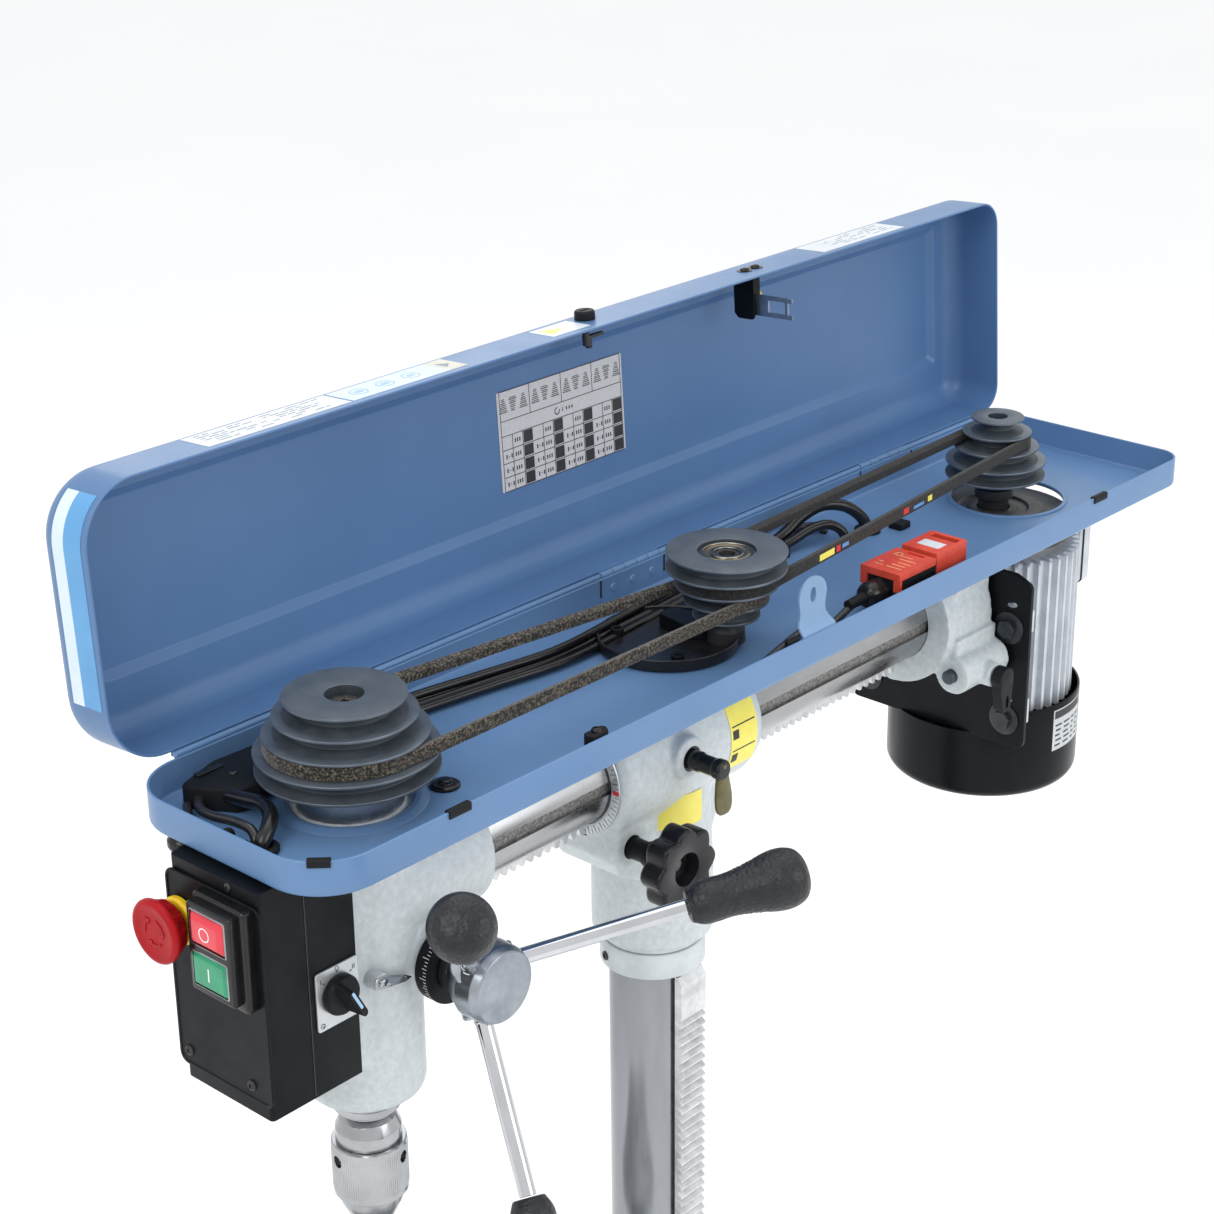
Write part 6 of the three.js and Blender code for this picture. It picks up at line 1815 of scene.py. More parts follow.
def make_cables():
    z = -16.6
    # pair to the interlock switch, along the near wall from the front corner
    cable("interlock_lead_cable", [(60, 514, -8), (60, 500, -10), (60.5, 480, -15.5), (67, 440, z), (76, 380, z), (79.4, 300, z), (79.4, 200, z), (79, 120, z), (76, 70, z), (66, 34, z), (46, 14.6, z), (22, 8.4, z), (4, 12, z + 1)], 2.6, "cable2", replaces=["interlock_lead"])
    cable("interlock_lead_second", [(4, 17, z + 1), (22, 14, z), (44, 20, z), (61, 38.5, z), (70.5, 72, z), (73.2, 120, z), (73.2, 200, z), (72.8, 300, z), (68, 380, z), (55, 440, z), (46, 480, z)], 2.5, "cable2")
    # the loom from the front block back past the spindle to the rear clamp
    base = [(-58, 48), (-70, 84), (-73, 118), (-66, 160), (-58, 212), (-50, 260), (-42, 320), (-47, 390), (-51, 442), (-56, 500), (-60, 560)]
    for i, (off, dz, r) in enumerate([(-4.6, 0.0, 3.0), (2.0, 0.0, 3.0), (8.6, 0.0, 3.0), (-1.2, 5.2, 2.9)]):
        pts = [(x + off * (0.5 if k < 2 else 1.0) + 0.9 * math.sin(1.7 * k + i * 1.3), y, -20.7 + 1.4 + r + dz) for k, (x, y) in enumerate(base)]
        cable(f"tray_loom_{i+1}", pts, r, "cable", replaces=["tray_harness"] if i == 0 else ())
    # black wedge-shaped cable cover at the front corner
    o = fillet([(-66, 26), (-34, 44), (-31, 60), (-52, 92), (-71, 92), (-75, 60)], [5, 4, 6, 6, 6, 8], 5, True)
    rings = []
    for off, zz in ((0, -20.4), (0, -8.2), (0.5, -7.2), (1.6, -6.8)):
        cx = sum(p[0] for p in o) / len(o); cy = sum(p[1] for p in o) / len(o)
        rings.append([(cx + (p[0] - cx) * (1 - off / 30), cy + (p[1] - cy) * (1 - off / 30), zz + (p[1] - 26) * 0.045) for p in o])
    v, f = loft(rings, True, True)
    obj_from("cable_cover", v, f, "plastic", "head", 35, slot="black_plastic")
    v, f = prism(fillet([(-69, 40), (-64, 40), (-64, 60), (-69, 60)], 1, 3, True), -7.6, -4.6)
    obj_from("cable_cover_latch", v, f, "gloss", "head", 35, bevel=0.5, slot="gloss_black")
    pan_screw("cable_cover_screw", (-53, 57, -5.6), 2.6, 1.8, "head", "ink")
    # thick cable out of the cover, curling to its grommet; a thinner one beside it
    cable("spindle_side_cable_thick", [(-46, 44, -12), (-30, 44, -9.5), (-12, 44, -7.0), (2, 38, -6.6), (10, 29, -9), (12.4, 22.5, -14), (12.6, 20.5, -19.6)], 4.6, "cable", n=48, seg=24)
    cable("front_cable_thin", [(-60, 36, -14), (-44, 25, -13.5), (-28, 22, -11.5), (-12, 24, -10.2), (0, 25, -11.5), (6, 23, -15), (8, 21, -19.6)], 2.9, "cable2", n=48)
    cable("front_cable_low", [(-58, 26, -16.6), (-40, 14, -16.6), (-20, 9.5, -16.6), (-4, 10, -16.0), (4, 13, -16.6)], 2.8, "cable2", n=40)
    v, f = closed_lathe(fillet([(5.4, -20.6), (9.6, -20.6), (9.6, -17.6), (8.2, -16.2), (6.2, -16.2), (5.4, -17.4)], 0.6, 3, True), 56, "z", (11, 23.5, 0))
    obj_from("cable_grommet", v, f, "plastic", "head", 45, slot="black_plastic")
    v, f = closed_lathe([(3.2 + 2.4 + 2.4 * math.cos(2 * math.pi * k / 16) - 2.4, 2.4 * math.sin(2 * math.pi * k / 16)) for k in range(16)], 40, "x", (-8, 14, -14.5))
    obj_from("cable_loop_band", v, f, "plastic", "head", 60, slot="black_plastic")
    # rear clamp: saddle, arch of thick cable down into the floor
    cable("rear_arch_cable", [(-60, 556, -16), (-59, 580, -9), (-56, 596, 0), (-50, 612, 5), (-42, 627, 2), (-36, 638, -7), (-33, 643, -16), (-33, 644, -20)], 4.4, "cable", n=56, seg=24)
    cable("rear_arch_cable_2", [(-52, 556, -16), (-50, 578, -12), (-46, 594, -7), (-40, 606, -6), (-34, 613, -11), (-31, 616, -19.6)], 3.6, "cable", n=44, seg=20)
    cable("rear_arch_cable_3", [(-66, 556, -16.5), (-68, 580, -15.5), (-66, 600, -14), (-60, 616, -15), (-54, 622, -19.6)], 3.0, "cable2", n=40)
    v, f = closed_lathe(fillet([(4.6, -20.6), (9.8, -20.6), (9.8, -18), (8.2, -16.6), (5.4, -16.6), (4.6, -17.4)], 0.6, 3, True), 56, "z", (-33, 644, 0))
    obj_from("rear_grommet", v, f, "plastic", "head", 45, slot="black_plastic")
    v, f = prism(fillet([(-20.6, -73), (-20.6, -44), (-13, -44), (-9, -50), (-9, -67), (-13, -73)], [.4, .4, 2, 2, 2, 2], 4, True), 556, 566, "y")
    obj_from("rear_cable_clamp", v, f, "plastic", "head", 35, bevel=0.7, slot="black_plastic")
    v, f = prism(fillet([(-20.6, -26), (-20.6, -14), (-15.4, -14), (-15.4, -26)], 1.0, 3, True), 660, 672, "y")
    obj_from("floor_rubber_block", v, f, "plastic", "head", 35, bevel=0.7, slot="black_plastic")


# ------------------------------------------------------------------ interlock switch, its gland
def make_interlock():
    # black lower housing
    o = fillet([(44.8, 533), (76.4, 533), (76.4, 575), (44.8, 575)], 1.2, 3, True)
    v, f = prism(o, -19.9, 2.6)
    b = raw("interlock_base", [(v, f)])
    boolean(b, [boxm(43, 45.6, 536, 572, -12, -2), boxm(75.7, 78, 536, 572, -12, -2)])
    finish_obj(b, "interlock_base", "plastic", "head", 30)
    add_bevel(b, 0.4, 2)
    # red cover with turned-down corners at its front
    parts = boxm(44, 77, 531.4, 573.4, 2.4, 7.3)
    ob = raw("interlock_cover", [parts])
    boolean(ob, [boxm(43.9, 49.4, 531, 534.2, -6, 7.2), boxm(71.8, 77.4, 531, 534.2, -6, 7.2)], "UNION")
    boolean(ob, [boxm(56, 70, 568.0, 571.2, 5.8, 9), boxm(40, 80, 520, 531.35, -20, 20), boxm(40, 43.95, 520, 600, -20, 20), boxm(77.05, 90, 520, 600, -20, 20)])
    finish_obj(ob, "interlock_cover", "redsw", "head", 30)
    add_bevel(ob, 0.8, 3)
    # actuator head
    v, f = boxm(46, 76, 576.0, 611.8, -20.2, 9.5)
    ob = raw("interlock_head", [(v, f)])
    boolean(ob, [boxm(51, 73, 602, 608.2, -19.8, 12), boxm(54.5, 69.5, 611.0, 613, -14, 3)])
    finish_obj(ob, "interlock_head", "redsw", "head", 30, ["interlock_switch"])
    add_bevel(ob, 1.1, 3)
    v, f = boxm(51.2, 72.8, 602.2, 608.0, -19.9, -19.7)
    obj_from("interlock_slot_floor", v, f, "ink", "head", 30, slot="black_plastic")
    v, f = prism(rrect(53, 71, 584, 594.5, 0.4, 0.4, 2), 9.4, 9.75)
    obj_from("interlock_label", v, f, "label", "head", 30, slot="label_silver")
    # moulded blank strokes on the cover
    st = []
    for i, (y, x0, x1) in enumerate([(540, 49, 56), (540, 59, 72), (545, 49, 53), (545, 60, 71), (550, 62, 72), (556, 58, 72), (561, 50, 66)]):
        st.append(boxm(x0, x1, y, y + 0.9, 7.25, 7.42))
    rv, rf = closed_lathe([(2.4, 7.25), (3.1, 7.25), (3.1, 7.42), (2.4, 7.42)], 28, "z", (53, 563.5, 0))
    st.append((rv, rf))
    v, f = join_parts(st)
    obj_from("interlock_cover_marks", v, f, "labelyellow2", "head", 30, slot="yellow_plastic")
    # cable gland: hex body and dome nut
    c = (60, 0, -8)
    o = [(10.4 * math.cos(math.radians(60 * k + 10)), 10.4 * math.sin(math.radians(60 * k + 10))) for k in range(6)]
    v, f = prism(o, 526.6, 532.8, "y", c)
    obj_from("interlock_gland_hex", v, f, "plastic", "head", 30, bevel=0.6, slot="black_plastic")
    v, f = lathe(fillet([(0, 532), (8.8, 532), (8.8, 526.2), (9.4, 526), (9.4, 520), (8.0, 516.4), (4.4, 514.2), (0, 514.2)], [0, .1, .2, .3, 1.5, 2, 1, 0], 4), 64, "y", c)
    obj_from("interlock_gland_nut", v, f, "gloss", "head", 40, slot="gloss_black")
    v, f = lathe(fillet([(0, 516), (4.2, 515), (3.4, 496), (0, 496)], 0.3, 2), 32, "y", c)
    obj_from("interlock_gland_sleeve", v, f, "plastic", "head", 40, slot="black_plastic")
    # stub behind the actuator head
    v, f = lathe(fillet([(0, 611.5), (5.2, 611.5), (5.2, 615), (3.2, 617.5), (0, 617.5)], [0, .3, 1, 1, 0], 3), 40, "y", (68, 0, -9))
    obj_from("interlock_rear_plug", v, f, "plastic", "head", 40, slot="black_plastic")


# ------------------------------------------------------------------ latch, catch tab, hinges
def make_lid_fittings():
    # catch tab standing on the near wall: foot, cranked leg, round eye
    w0 = 12.5
    path = [(83.2, -14), (83.2, -2.5), (82.4, 1.0), (77.8, 5.4), (76.6, 8.6), (76.6, 35.0)]
    path = fillet(path, [0, 3, 3, 3, 3, 0], 5)
    pts = []
    total = [0.0]
    for a, b in zip(path[:-1], path[1:]):
        total.append(total[-1] + math.dist(a, b))
    n = len(path)
    rings = []
    for i, (x, z) in enumerate(path):
        if i == n - 1:
            continue
        hw = 17.0 if z < 2 else (17.0 - 3.2 * min(1, (z - 2) / 7.0) if z < 9 else 13.8)
        if z > 9:
            hw = 13.8
        rings.append([(x - 0.75, 435 - hw, z), (x + 0.75, 435 - hw, z), (x + 0.75, 435 + hw, z), (x - 0.75, 435 + hw, z)])
    v1, f1 = loft(rings, True, True)
    ob = raw("catch_tab", [(v1, f1)])
    # eye plate
    o = []
    for k in range(33):
        t = math.pi * k / 32
        o.append((435 + 14.4 * math.cos(t), 22.6 + 13.4 * math.sin(t)))
    o = [(435 + 13.8, 7.0)] + [(435 + 13.0, 14)] + o + [(435 - 13.0, 14)] + [(435 - 13.8, 7.0)]
    v2, f2 = prism(o, 75.85, 77.35, "x")
    boolean(ob, [(v2, f2)], "UNION")
    sl = [(435 + 2.9 * math.cos(2 * math.pi * k / 24), 23.5 + 5.4 * math.sin(2 * math.pi * k / 24)) for k in range(24)]
    boolean(ob, [prism(sl, 70, 80, "x")])
    # the tab takes the lighter copy of the guard paint: painted highlight
    finish_obj(ob, "catch_tab", "blue_painted_highlight", "head", 30)
    # small black stop beside the tab's foot
    v, f = prism([(79.2, 403), (79.2, 415), (82.9, 415), (82.9, 403)], -10, 2.2, "z")
    obj_from("catch_stop", v, f, "plastic", "head", 35, bevel=0.8, slot="black_plastic")
    # quarter-turn latch in the lid: outside cap with slot, inside barrel and cam (modelled shut, then opened)
    def lid_piece(name, parts, mat, slot, smooth=35, bevel=0):
        v, f = join_parts(parts)
        return obj_from(name, opened(v), f, mat, "lid", smooth, slot=slot, bevel=bevel)
    c = (0, 435, 23.5)
    prof = fillet([(0, 91.4), (6.0, 91.4), (7.0, 90.4), (7.2, 85.2), (0, 85.2)], [0, .6, .8, .2, 0], 4)
    v, f = lathe(prof, 72, "x", c)
    ob = raw("latch_cap", [(v, f)])
    boolean(ob, [boxm(90.4, 95, 430.5, 439.5, 22.6, 24.4)])
    ob.data.transform(Matrix.Translation(Vector((0, -HY / 1000, -HZ / 1000))))
    co = np.array([tuple(q.co) for q in ob.data.vertices]) * 1000
    fc = [list(p.vertices) for p in ob.data.polygons]
    bpy.data.objects.remove(ob)
    obj_from("latch_cap", opened(co), fc, "plastic", "lid", 35, slot="black_plastic", bevel=0.3)
    v, f = lathe(fillet([(0, 83.4), (8.4, 83.4), (8.4, 80.6), (5.4, 80.2), (5.4, 78.4), (2.5, 78.0), (2.5, 66.5), (0, 66.5)], [0, .2, .4, .3, .3, .3, .6, 0], 3), 48, "x", c)
    cam = prism(fillet([(433, 21), (433, 26), (451, 25), (452, 22)], 1, 3, True), 71.2, 73.2, "x")
    pin = lathe(fillet([(0, 72.6), (2.4, 72.6), (2.4, 64.5), (0, 64.5)], 0.3, 2), 24, "x", (0, 438, 24))
    lid_piece("latch_barrel", [(v, f), cam, pin], "ink", "black_plastic")
    # two screws and the black bracket that carries the actuator key
    for i, (y, z) in enumerate([(600.5, 20), (612.5, 20)]):
        prof = [(0, 84.9), (5.6, 84.9), (5.6, 85.5), (3.6, 85.6)]
        for k in range(1, 7):
            a = math.radians(90 * k / 6)
            prof.append((3.6 * math.cos(a) if k < 6 else 0, 85.6 + 1.9 * math.sin(a)))
        v, f = lathe(prof, 40, "x", (0, y, z))
        lid_piece(f"key_screw_{i+1}", [(v, f)], "gloss", "black_metal")
    o = fillet([(49.5, 12.5), (49.5, 27.5), (53, 31), (83, 31), (83, 12.5)], [3, 3, 2, .5, .5], 4, True)
    v1, f1 = prism([(b, a) for a, b in o], 600.6, 602.4, "y")
    v2, f2 = boxm(81.2, 83.3, 594.5, 620.5, 12.5, 31)
    v3, f3 = prism([(b, a) for a, b in fillet([(52, 13.5), (52, 22), (81.5, 22), (81.5, 13.5)], 1.5, 3, True)], 602.4, 609.5, "y")
    lid_piece("key_bracket", [(v1, f1), (v2, f2), (v3, f3)], "black", "black_metal", 30, 0.4)
    v, f = lathe(fillet([(0, 610), (2.3, 610), (2.3, 612.2), (0, 612.2)], 0.3, 2), 28, "y", (66.5, 0, 16.5))
    lid_piece("key_bracket_rivet", [(v, f)], "yellow", "yellow_plastic")
    v, f = prism([(b, a) for a, b in fillet([(62, 22.4), (62, 24.4), (78, 29), (80.5, 29), (80.5, 22.4)], .4, 2, True)], 603.0, 613, "y")
    lid_piece("key_bracket_white_pad", [(v, f)], "label", "label_silver")
    # actuator key: steel U plate with two windows, standing off the bracket towards the mouth
    ob = raw("key_plate", [boxm(52.2, 67.6, 604.4, 606.2, -19.2, 17.0)])
    boolean(ob, [boxm(55.4, 64.4, 600, 612, -12.6, 2.4), boxm(55.4, 64.4, 600, 612, -22.0, -15.4)])
    ob.data.transform(Matrix.Translation(Vector((0, -HY / 1000, -HZ / 1000))))
    co = np.array([tuple(q.co) for q in ob.data.vertices]) * 1000
    fc = [list(p.vertices) for p in ob.data.polygons]
    bpy.data.objects.remove(ob)
    obj_from("key_plate", opened(co), fc, "keysteel", "lid", 30, slot="ground_steel", bevel=0.35, replaces=["interlock_key"])

    # hinges on the far wall: leaves and knuckles
    for i, y in enumerate((150, 440, 735)):
        kn = []
        for k in range(5):
            a, b = y - 30 + 12 * k + 0.25, y - 30 + 12 * (k + 1) - 0.25
            v, f = lathe(fillet([(0, a), (2.7, a), (2.7, b), (0, b)], 0.25, 2), 28, "y", (HINGE[0], 0, HINGE[2]))
            kn.append((v, f, k % 2))
        leaf_t = boxm(-86.0, -85.05, y - 30, y + 30, -16, 0.2)
        v, f = join_parts([(q[0], q[1]) for q in kn if q[2] == 0] + [leaf_t])
        obj_from(f"hinge_{i+1}_tray_leaf", v, f, "blue", "head", 30, slot="guard_blue")
        leaf_l = boxm(-86.0, -85.05, y - 30, y + 30, 1.6, 17)
        v, f = join_parts([(q[0], q[1]) for q in kn if q[2] == 1] + [leaf_l])
        obj_from(f"hinge_{i+1}_lid_leaf", opened(v), f, "blue", "lid", 30, slot="guard_blue")
        # relief slots beside the hinge seen from the inside of tray and lid, drawn as dark strips: painted shade in the
        # openings
        parts = []
        for yy in (y - 33, y + 33):
            parts.append(boxm(-83.6, -82.9, yy - 0.7, yy + 0.7, -13, -0.6))
        v, f = join_parts(parts)
        obj_from(f"hinge_{i+1}_slots", v, f, "ink", "head", 30, slot="black_metal")
        for j, yy in enumerate((y - 20, y, y + 20)):
            pv = lathe([(0, -83.5), (3.0, -83.5), (2.6, -82.5), (0, -82.2)], 24, "x", (0, yy, -9))
            obj_from(f"hinge_{i+1}_rivet_{j+1}", pv[0], pv[1], "blue", "head", 50, slot="guard_blue")


# ------------------------------------------------------------------ rim latch post, plain plates and labels
def make_labels():
    def lid_flat(name, axis, outline, lo, hi, mat, slot):
        v, f = prism(outline, lo, hi, axis)
        return obj_from(name, opened(v), f, mat, "lid", 35, slot=slot)
    # chart inside the panel (lid shut: underside of the panel)
    zc = 49.3 + 4.3 - 1.5
    x0, x1, y0, y1 = -26.5, 43.5, 374, 499
    lid_flat("chart_plate", "z", rrect(x0, x1, y0, y1, 0.8, 0.8, 2), zc - 0.45, zc + 0.05, "chart", "label_silver")
    W = []
    zt0, zt1 = zc - 0.53, zc - 0.43

    def bar(xa, xb, ya, yb):
        W.append(boxm(xa, xb, ya, yb, zt0, zt1))
    t = 0.28
    X = lambda s: x1 - s * (x1 - x0)      # s from the top edge of the open chart
    Y = lambda s: y0 + s * (y1 - y0)
    for s in (0.0, 0.295, 0.445, 0.585, 0.72, 0.86, 1.0):
        bar(X(s) - t, X(s) + t, Y(0.02), Y(0.985))
    bar(X(1.0), X(0.0), Y(0.02) - t, Y(0.02) + t)
    bar(X(1.0), X(0.0), Y(0.985) - t, Y(0.985) + t)
    for s in (0.25, 0.5, 0.75):
        bar(X(0.295), X(0), Y(s) - t, Y(s) + t)
    for g in range(4):
        for q in (0.333, 0.666):
            yy = Y(0.02 + 0.965 * (g + q) / 4)
            bar(X(1.0), X(0.445), yy - t, yy + t)
        ya, yb = Y(0.02 + 0.965 * (g + 0.69) / 4), Y(0.02 + 0.965 * (g + 0.985) / 4)
        for r0, r1 in ((0.452, 0.572), (0.597, 0.707), (0.732, 0.848), (0.872, 0.990)):
            bar(X(r1), X(r0), ya, yb)
        # small plain strokes in the open cells
        for ri, (r0, r1) in enumerate(((0.47, 0.56), (0.61, 0.70), (0.75, 0.84), (0.89, 0.98))):
            rm = (r0 + r1) / 2
            if ri:
                yy = Y(0.02 + 0.965 * (g + 0.10) / 4)
                bar(X(rm) - 1.5, X(rm) + 1.5, yy, yy + 1.2)
                bar(X(rm) - 0.35, X(rm) + 0.35, yy + 2.6, yy + 3.6)
                bar(X(rm) - 1.5, X(rm) + 1.5, yy + 5.0, yy + 6.2)
            yy = Y(0.02 + 0.965 * (g + 0.40) / 4)
            for q in range(3):
                bar(X(rm) - 1.4, X(rm) + 1.4, yy + q * 2.2, yy + q * 2.2 + 1.1)
        # stacked cone outlines: generic pulley sketches
        for u, wd in ((0.07, (1.0, 0.8, 0.6, 0.4)), (0.37, (0.5, 0.65, 0.8, 0.95)), (0.70, (1.0, 0.8, 0.6, 0.4))):
            cy = Y((g + u + 0.11) / 4)
            for q, w in enumerate(wd):
                xx = X(0.20) + q * 2.6
                bar(xx - 0.95, xx - 0.3, cy - 4.0 * w, cy + 4.0 * w)
                bar(xx + 0.3, xx + 0.85, cy - 3.4 * w, cy + 3.4 * w)
    # ring with a gap in the middle band
    pr = [(1.9, zt0), (2.7, zt0), (2.7, zt1), (1.9, zt1), (1.9, zt0)]
    rv, rf = lathe(pr, 24, "z", (X(0.37), Y(0.46), 0), math.radians(70), math.radians(370))
    W.append((rv, rf + [[q * 25 for q in range(4)][::-1], [q * 25 + 24 for q in range(4)]]))
    bar(X(0.37) - 1.6, X(0.37) + 1.6, Y(0.50), Y(0.50) + 0.6)
    for q in range(3):
        bar(X(0.37) - 1.2, X(0.37) + 1.0, Y(0.53) + q * 2.8, Y(0.53) + q * 2.8 + 1.2)
    v, f = join_parts(W)
    obj_from("chart_marks", opened(v), f, "ink", "lid", 35, slot="black_metal")
    # plain stickers on the long free wall (order y, z)
    xo = 85.02
    lid_flat("top_label_white", "x", [(97, 6.5), (208, 6.5), (208, 33), (97, 33)], xo, xo + 0.22, "label", "label_silver")
    ln = []
    rnd = random.Random(4)
    for z in (29.8, 26.2, 22.6, 19.0, 15.4, 11.8):
        y = 104.0
        while y < 196:
            w = rnd.uniform(3, 10)
            if rnd.random() < 0.72:
                ln.append(boxm(xo + 0.2, xo + 0.3, y, min(y + w, 200), z - 0.8, z + 0.5))
            y += w + rnd.uniform(1.5, 3)
    lid_flat("top_label_blue", "x", [(210, 7), (292, 7), (292, 33), (210, 33)], xo, xo + 0.22, "labelpale2", "guard_blue")
    lid_flat("top_label_yellow", "x", [(292, 7), (308, 7), (308, 33), (292, 33)], xo, xo + 0.22, "labelsand", "yellow_plastic")
    tri = prism([(296.5, 14), (303.5, 20), (296.5, 26)], xo + 0.2, xo + 0.3, "x")
    ln.append(tri)
    circ = []
    for k in range(3):
        rv, rf = closed_lathe([(5.4, xo + 0.2), (6.4, xo + 0.2), (6.4, xo + 0.32), (5.4, xo + 0.32)], 36, "x", (0, 226 + 22 * k, 20))
        circ.append((rv, rf))
        circ.append(boxm(xo + 0.2, xo + 0.32, 223 + 22 * k, 229 + 22 * k, 18, 22))
    v, f = join_parts(circ)
    obj_from("top_label_rings", opened(v), f, "ringblue", "lid", 35, slot="guard_blue")
    lid_flat("top_label_small", "x", [(388, 8), (424, 8), (424, 31), (388, 31)], xo, xo + 0.22, "label", "label_silver")
    lid_flat("top_label_small_tri", "x", [(393, 12), (409, 19.5), (393, 27)], xo + 0.2, xo + 0.3, "labelyellow", "yellow_plastic")
    lid_flat("top_label_rear", "x", [(676, 6), (776, 6), (776, 33), (676, 33)], xo, xo + 0.22, "label", "label_silver")
    for z in (29, 25, 21, 17, 13):
        y = 700.0
        while y < 768:
            w = rnd.uniform(3, 9)
            if rnd.random() < 0.6:
                ln.append(boxm(xo + 0.2, xo + 0.3, y, min(y + w, 770), z - 0.7, z + 0.4))
            y += w + rnd.uniform(1.5, 3)
    v, f = join_parts(ln)
    obj_from("top_label_lines", opened(v), f, "textgrey", "lid", 35, slot="black_metal")
    # end wall sticker, left blank: pale strip and blue strip (order z, x for the y axis)
    def wrap(off):
        q = [(-47, -off), (0, -off), (47, -off)]
        for k in range(1, 15):
            a = math.radians(-90 + 54 * k / 14)
            q.append((47 + (38 + off) * math.cos(a), 38 + (38 + off) * math.sin(a)))
        return q
    strip = wrap(0.26) + wrap(0.03)[::-1]
    lid_flat("end_label_pale", "z", strip, 21.5, 32.0, "endpale", "label_silver")
    lid_flat("end_label_blue", "z", strip, 5.5, 21.5, "endblue", "guard_blue")


def third_materials():
    m_ = new_mat("bezel_clear_chrome", (0.30, 0.32, 0.34), 0.14, 0.9)
    tint(m_, (0.26, 0.28, 0.30), (0.36, 0.38, 0.40), 60)
    M["bezel"] = m_
    m_ = new_mat("motor_aluminium_paint", (0.66, 0.69, 0.72), 0.42, 0.25)
    tint(m_, (0.50, 0.53, 0.57), (0.62, 0.65, 0.69), 50, 5)
    bump(m_, 700, 0.00015, 0.4, 4)
    rough_var(m_, 0.36, 0.5, 80)
    M["motoralu"] = m_
    m_ = new_mat("cover_black_gloss", (0.004, 0.005, 0.0065), 0.2, 0.0, 0.13)
    tint(m_, (0.003, 0.004, 0.0055), (0.006, 0.007, 0.009), 30)
    rough_var(m_, 0.16, 0.27, 40)
    bump(m_, 200, 0.00004, 0.25)
    M["coverblack"] = m_
    m_ = new_mat("bar_blued_steel", (0.06, 0.07, 0.085), 0.34, 0.6)
    tint(m_, (0.045, 0.055, 0.07), (0.08, 0.09, 0.11), 60)
    bump(m_, 900, 0.00006, 0.4)
    M["barblue"] = m_
    m_ = new_mat("cable_glossy", (0.018, 0.018, 0.02), 0.24, 0.0, 0.5)
    tint(m_, (0.014, 0.014, 0.016), (0.024, 0.024, 0.026), 80)
    rough_var(m_, 0.18, 0.32, 60)
    M["cable2"] = m_
    # lighter copy of the guard paint for the catch tab: painted highlight, the tab is the same paint as the tray
    m_ = new_mat("guard_paint_painted_highlight", (0.18, 0.30, 0.48), 0.36)
    tint(m_, (0.165, 0.285, 0.46), (0.195, 0.315, 0.50), 20)
    bump(m_, 1600, 0.00006, 0.25)
    M["blue_painted_highlight"] = m_
    m_ = new_mat("key_steel_blued", (0.20, 0.26, 0.34), 0.3, 0.8)
    tint(m_, (0.16, 0.22, 0.30), (0.27, 0.33, 0.41), 60)
    bump(m_, 900, 0.00004, 0.3)
    M["keysteel"] = m_
    m_ = new_mat("chart_paper", (0.56, 0.56, 0.58), 0.45)
    tint(m_, (0.52, 0.52, 0.54), (0.60, 0.60, 0.62), 600, 6)
    M["chart"] = m_
    m_ = new_mat("print_grey", (0.22, 0.25, 0.30), 0.5)
    tint(m_, (0.19, 0.22, 0.27), (0.26, 0.29, 0.34), 300)
    M["textgrey"] = m_
    m_ = new_mat("sticker_paleblue", (0.50, 0.62, 0.78), 0.34)
    tint(m_, (0.47, 0.60, 0.76), (0.53, 0.65, 0.80), 60)
    M["labelpale2"] = m_
    m_ = new_mat("sticker_ring_blue", (0.22, 0.38, 0.62), 0.34)
    tint(m_, (0.20, 0.35, 0.58), (0.24, 0.41, 0.66), 60)
    M["ringblue"] = m_
    m_ = new_mat("end_sticker_pale", (0.62, 0.72, 0.80), 0.3)
    tint(m_, (0.59, 0.70, 0.78), (0.65, 0.75, 0.83), 25)
    M["endpale"] = m_
    m_ = new_mat("end_sticker_blue", (0.09, 0.30, 0.60), 0.3)
    tint(m_, (0.08, 0.28, 0.56), (0.12, 0.36, 0.66), 14)
    M["endblue"] = m_
    m_ = new_mat("mould_mark_amber", (0.72, 0.36, 0.16), 0.4)
    tint(m_, (0.66, 0.32, 0.13), (0.78, 0.42, 0.20), 120)
    M["labelyellow2"] = m_
    m_ = new_mat("sticker_sand", (0.52, 0.54, 0.50), 0.36, 0.0, 0.3)
    tint(m_, (0.48, 0.50, 0.46), (0.58, 0.56, 0.46), 160)
    M["labelsand"] = m_
    m_ = new_mat("bolt_blackened", (0.03, 0.033, 0.038), 0.3, 0.4)
    tint(m_, (0.022, 0.025, 0.030), (0.045, 0.050, 0.056), 90)
    bump(m_, 900, 0.00006, 0.4)
    M["boltdark"] = m_


third_materials()
make_switch()
make_selector()
make_motor()
make_tension_lock()
make_cables()
make_interlock()
make_lid_fittings()
make_labels()


# latch stop on the near rim: rubber block with a domed screw
def make_rim_block():
    o = fillet([(75.6, 217), (75.6, 232), (79, 233.4), (83.0, 231), (83.0, 218), (79, 215.6)], [2, 2, 1.5, .8, .8, 1.5], 4, True)
    v, f = prism([(a, b) for a, b in o], -15.5, 2.6)
    obj_from("rim_block", v, f, "plastic", "head", 30, bevel=0.9, bseg=3, slot="black_plastic")
    pan_screw("rim_block_screw", (79.3, 224.5, 2.5), 3.3, 2.6, "head", "gloss", "z")


make_rim_block()


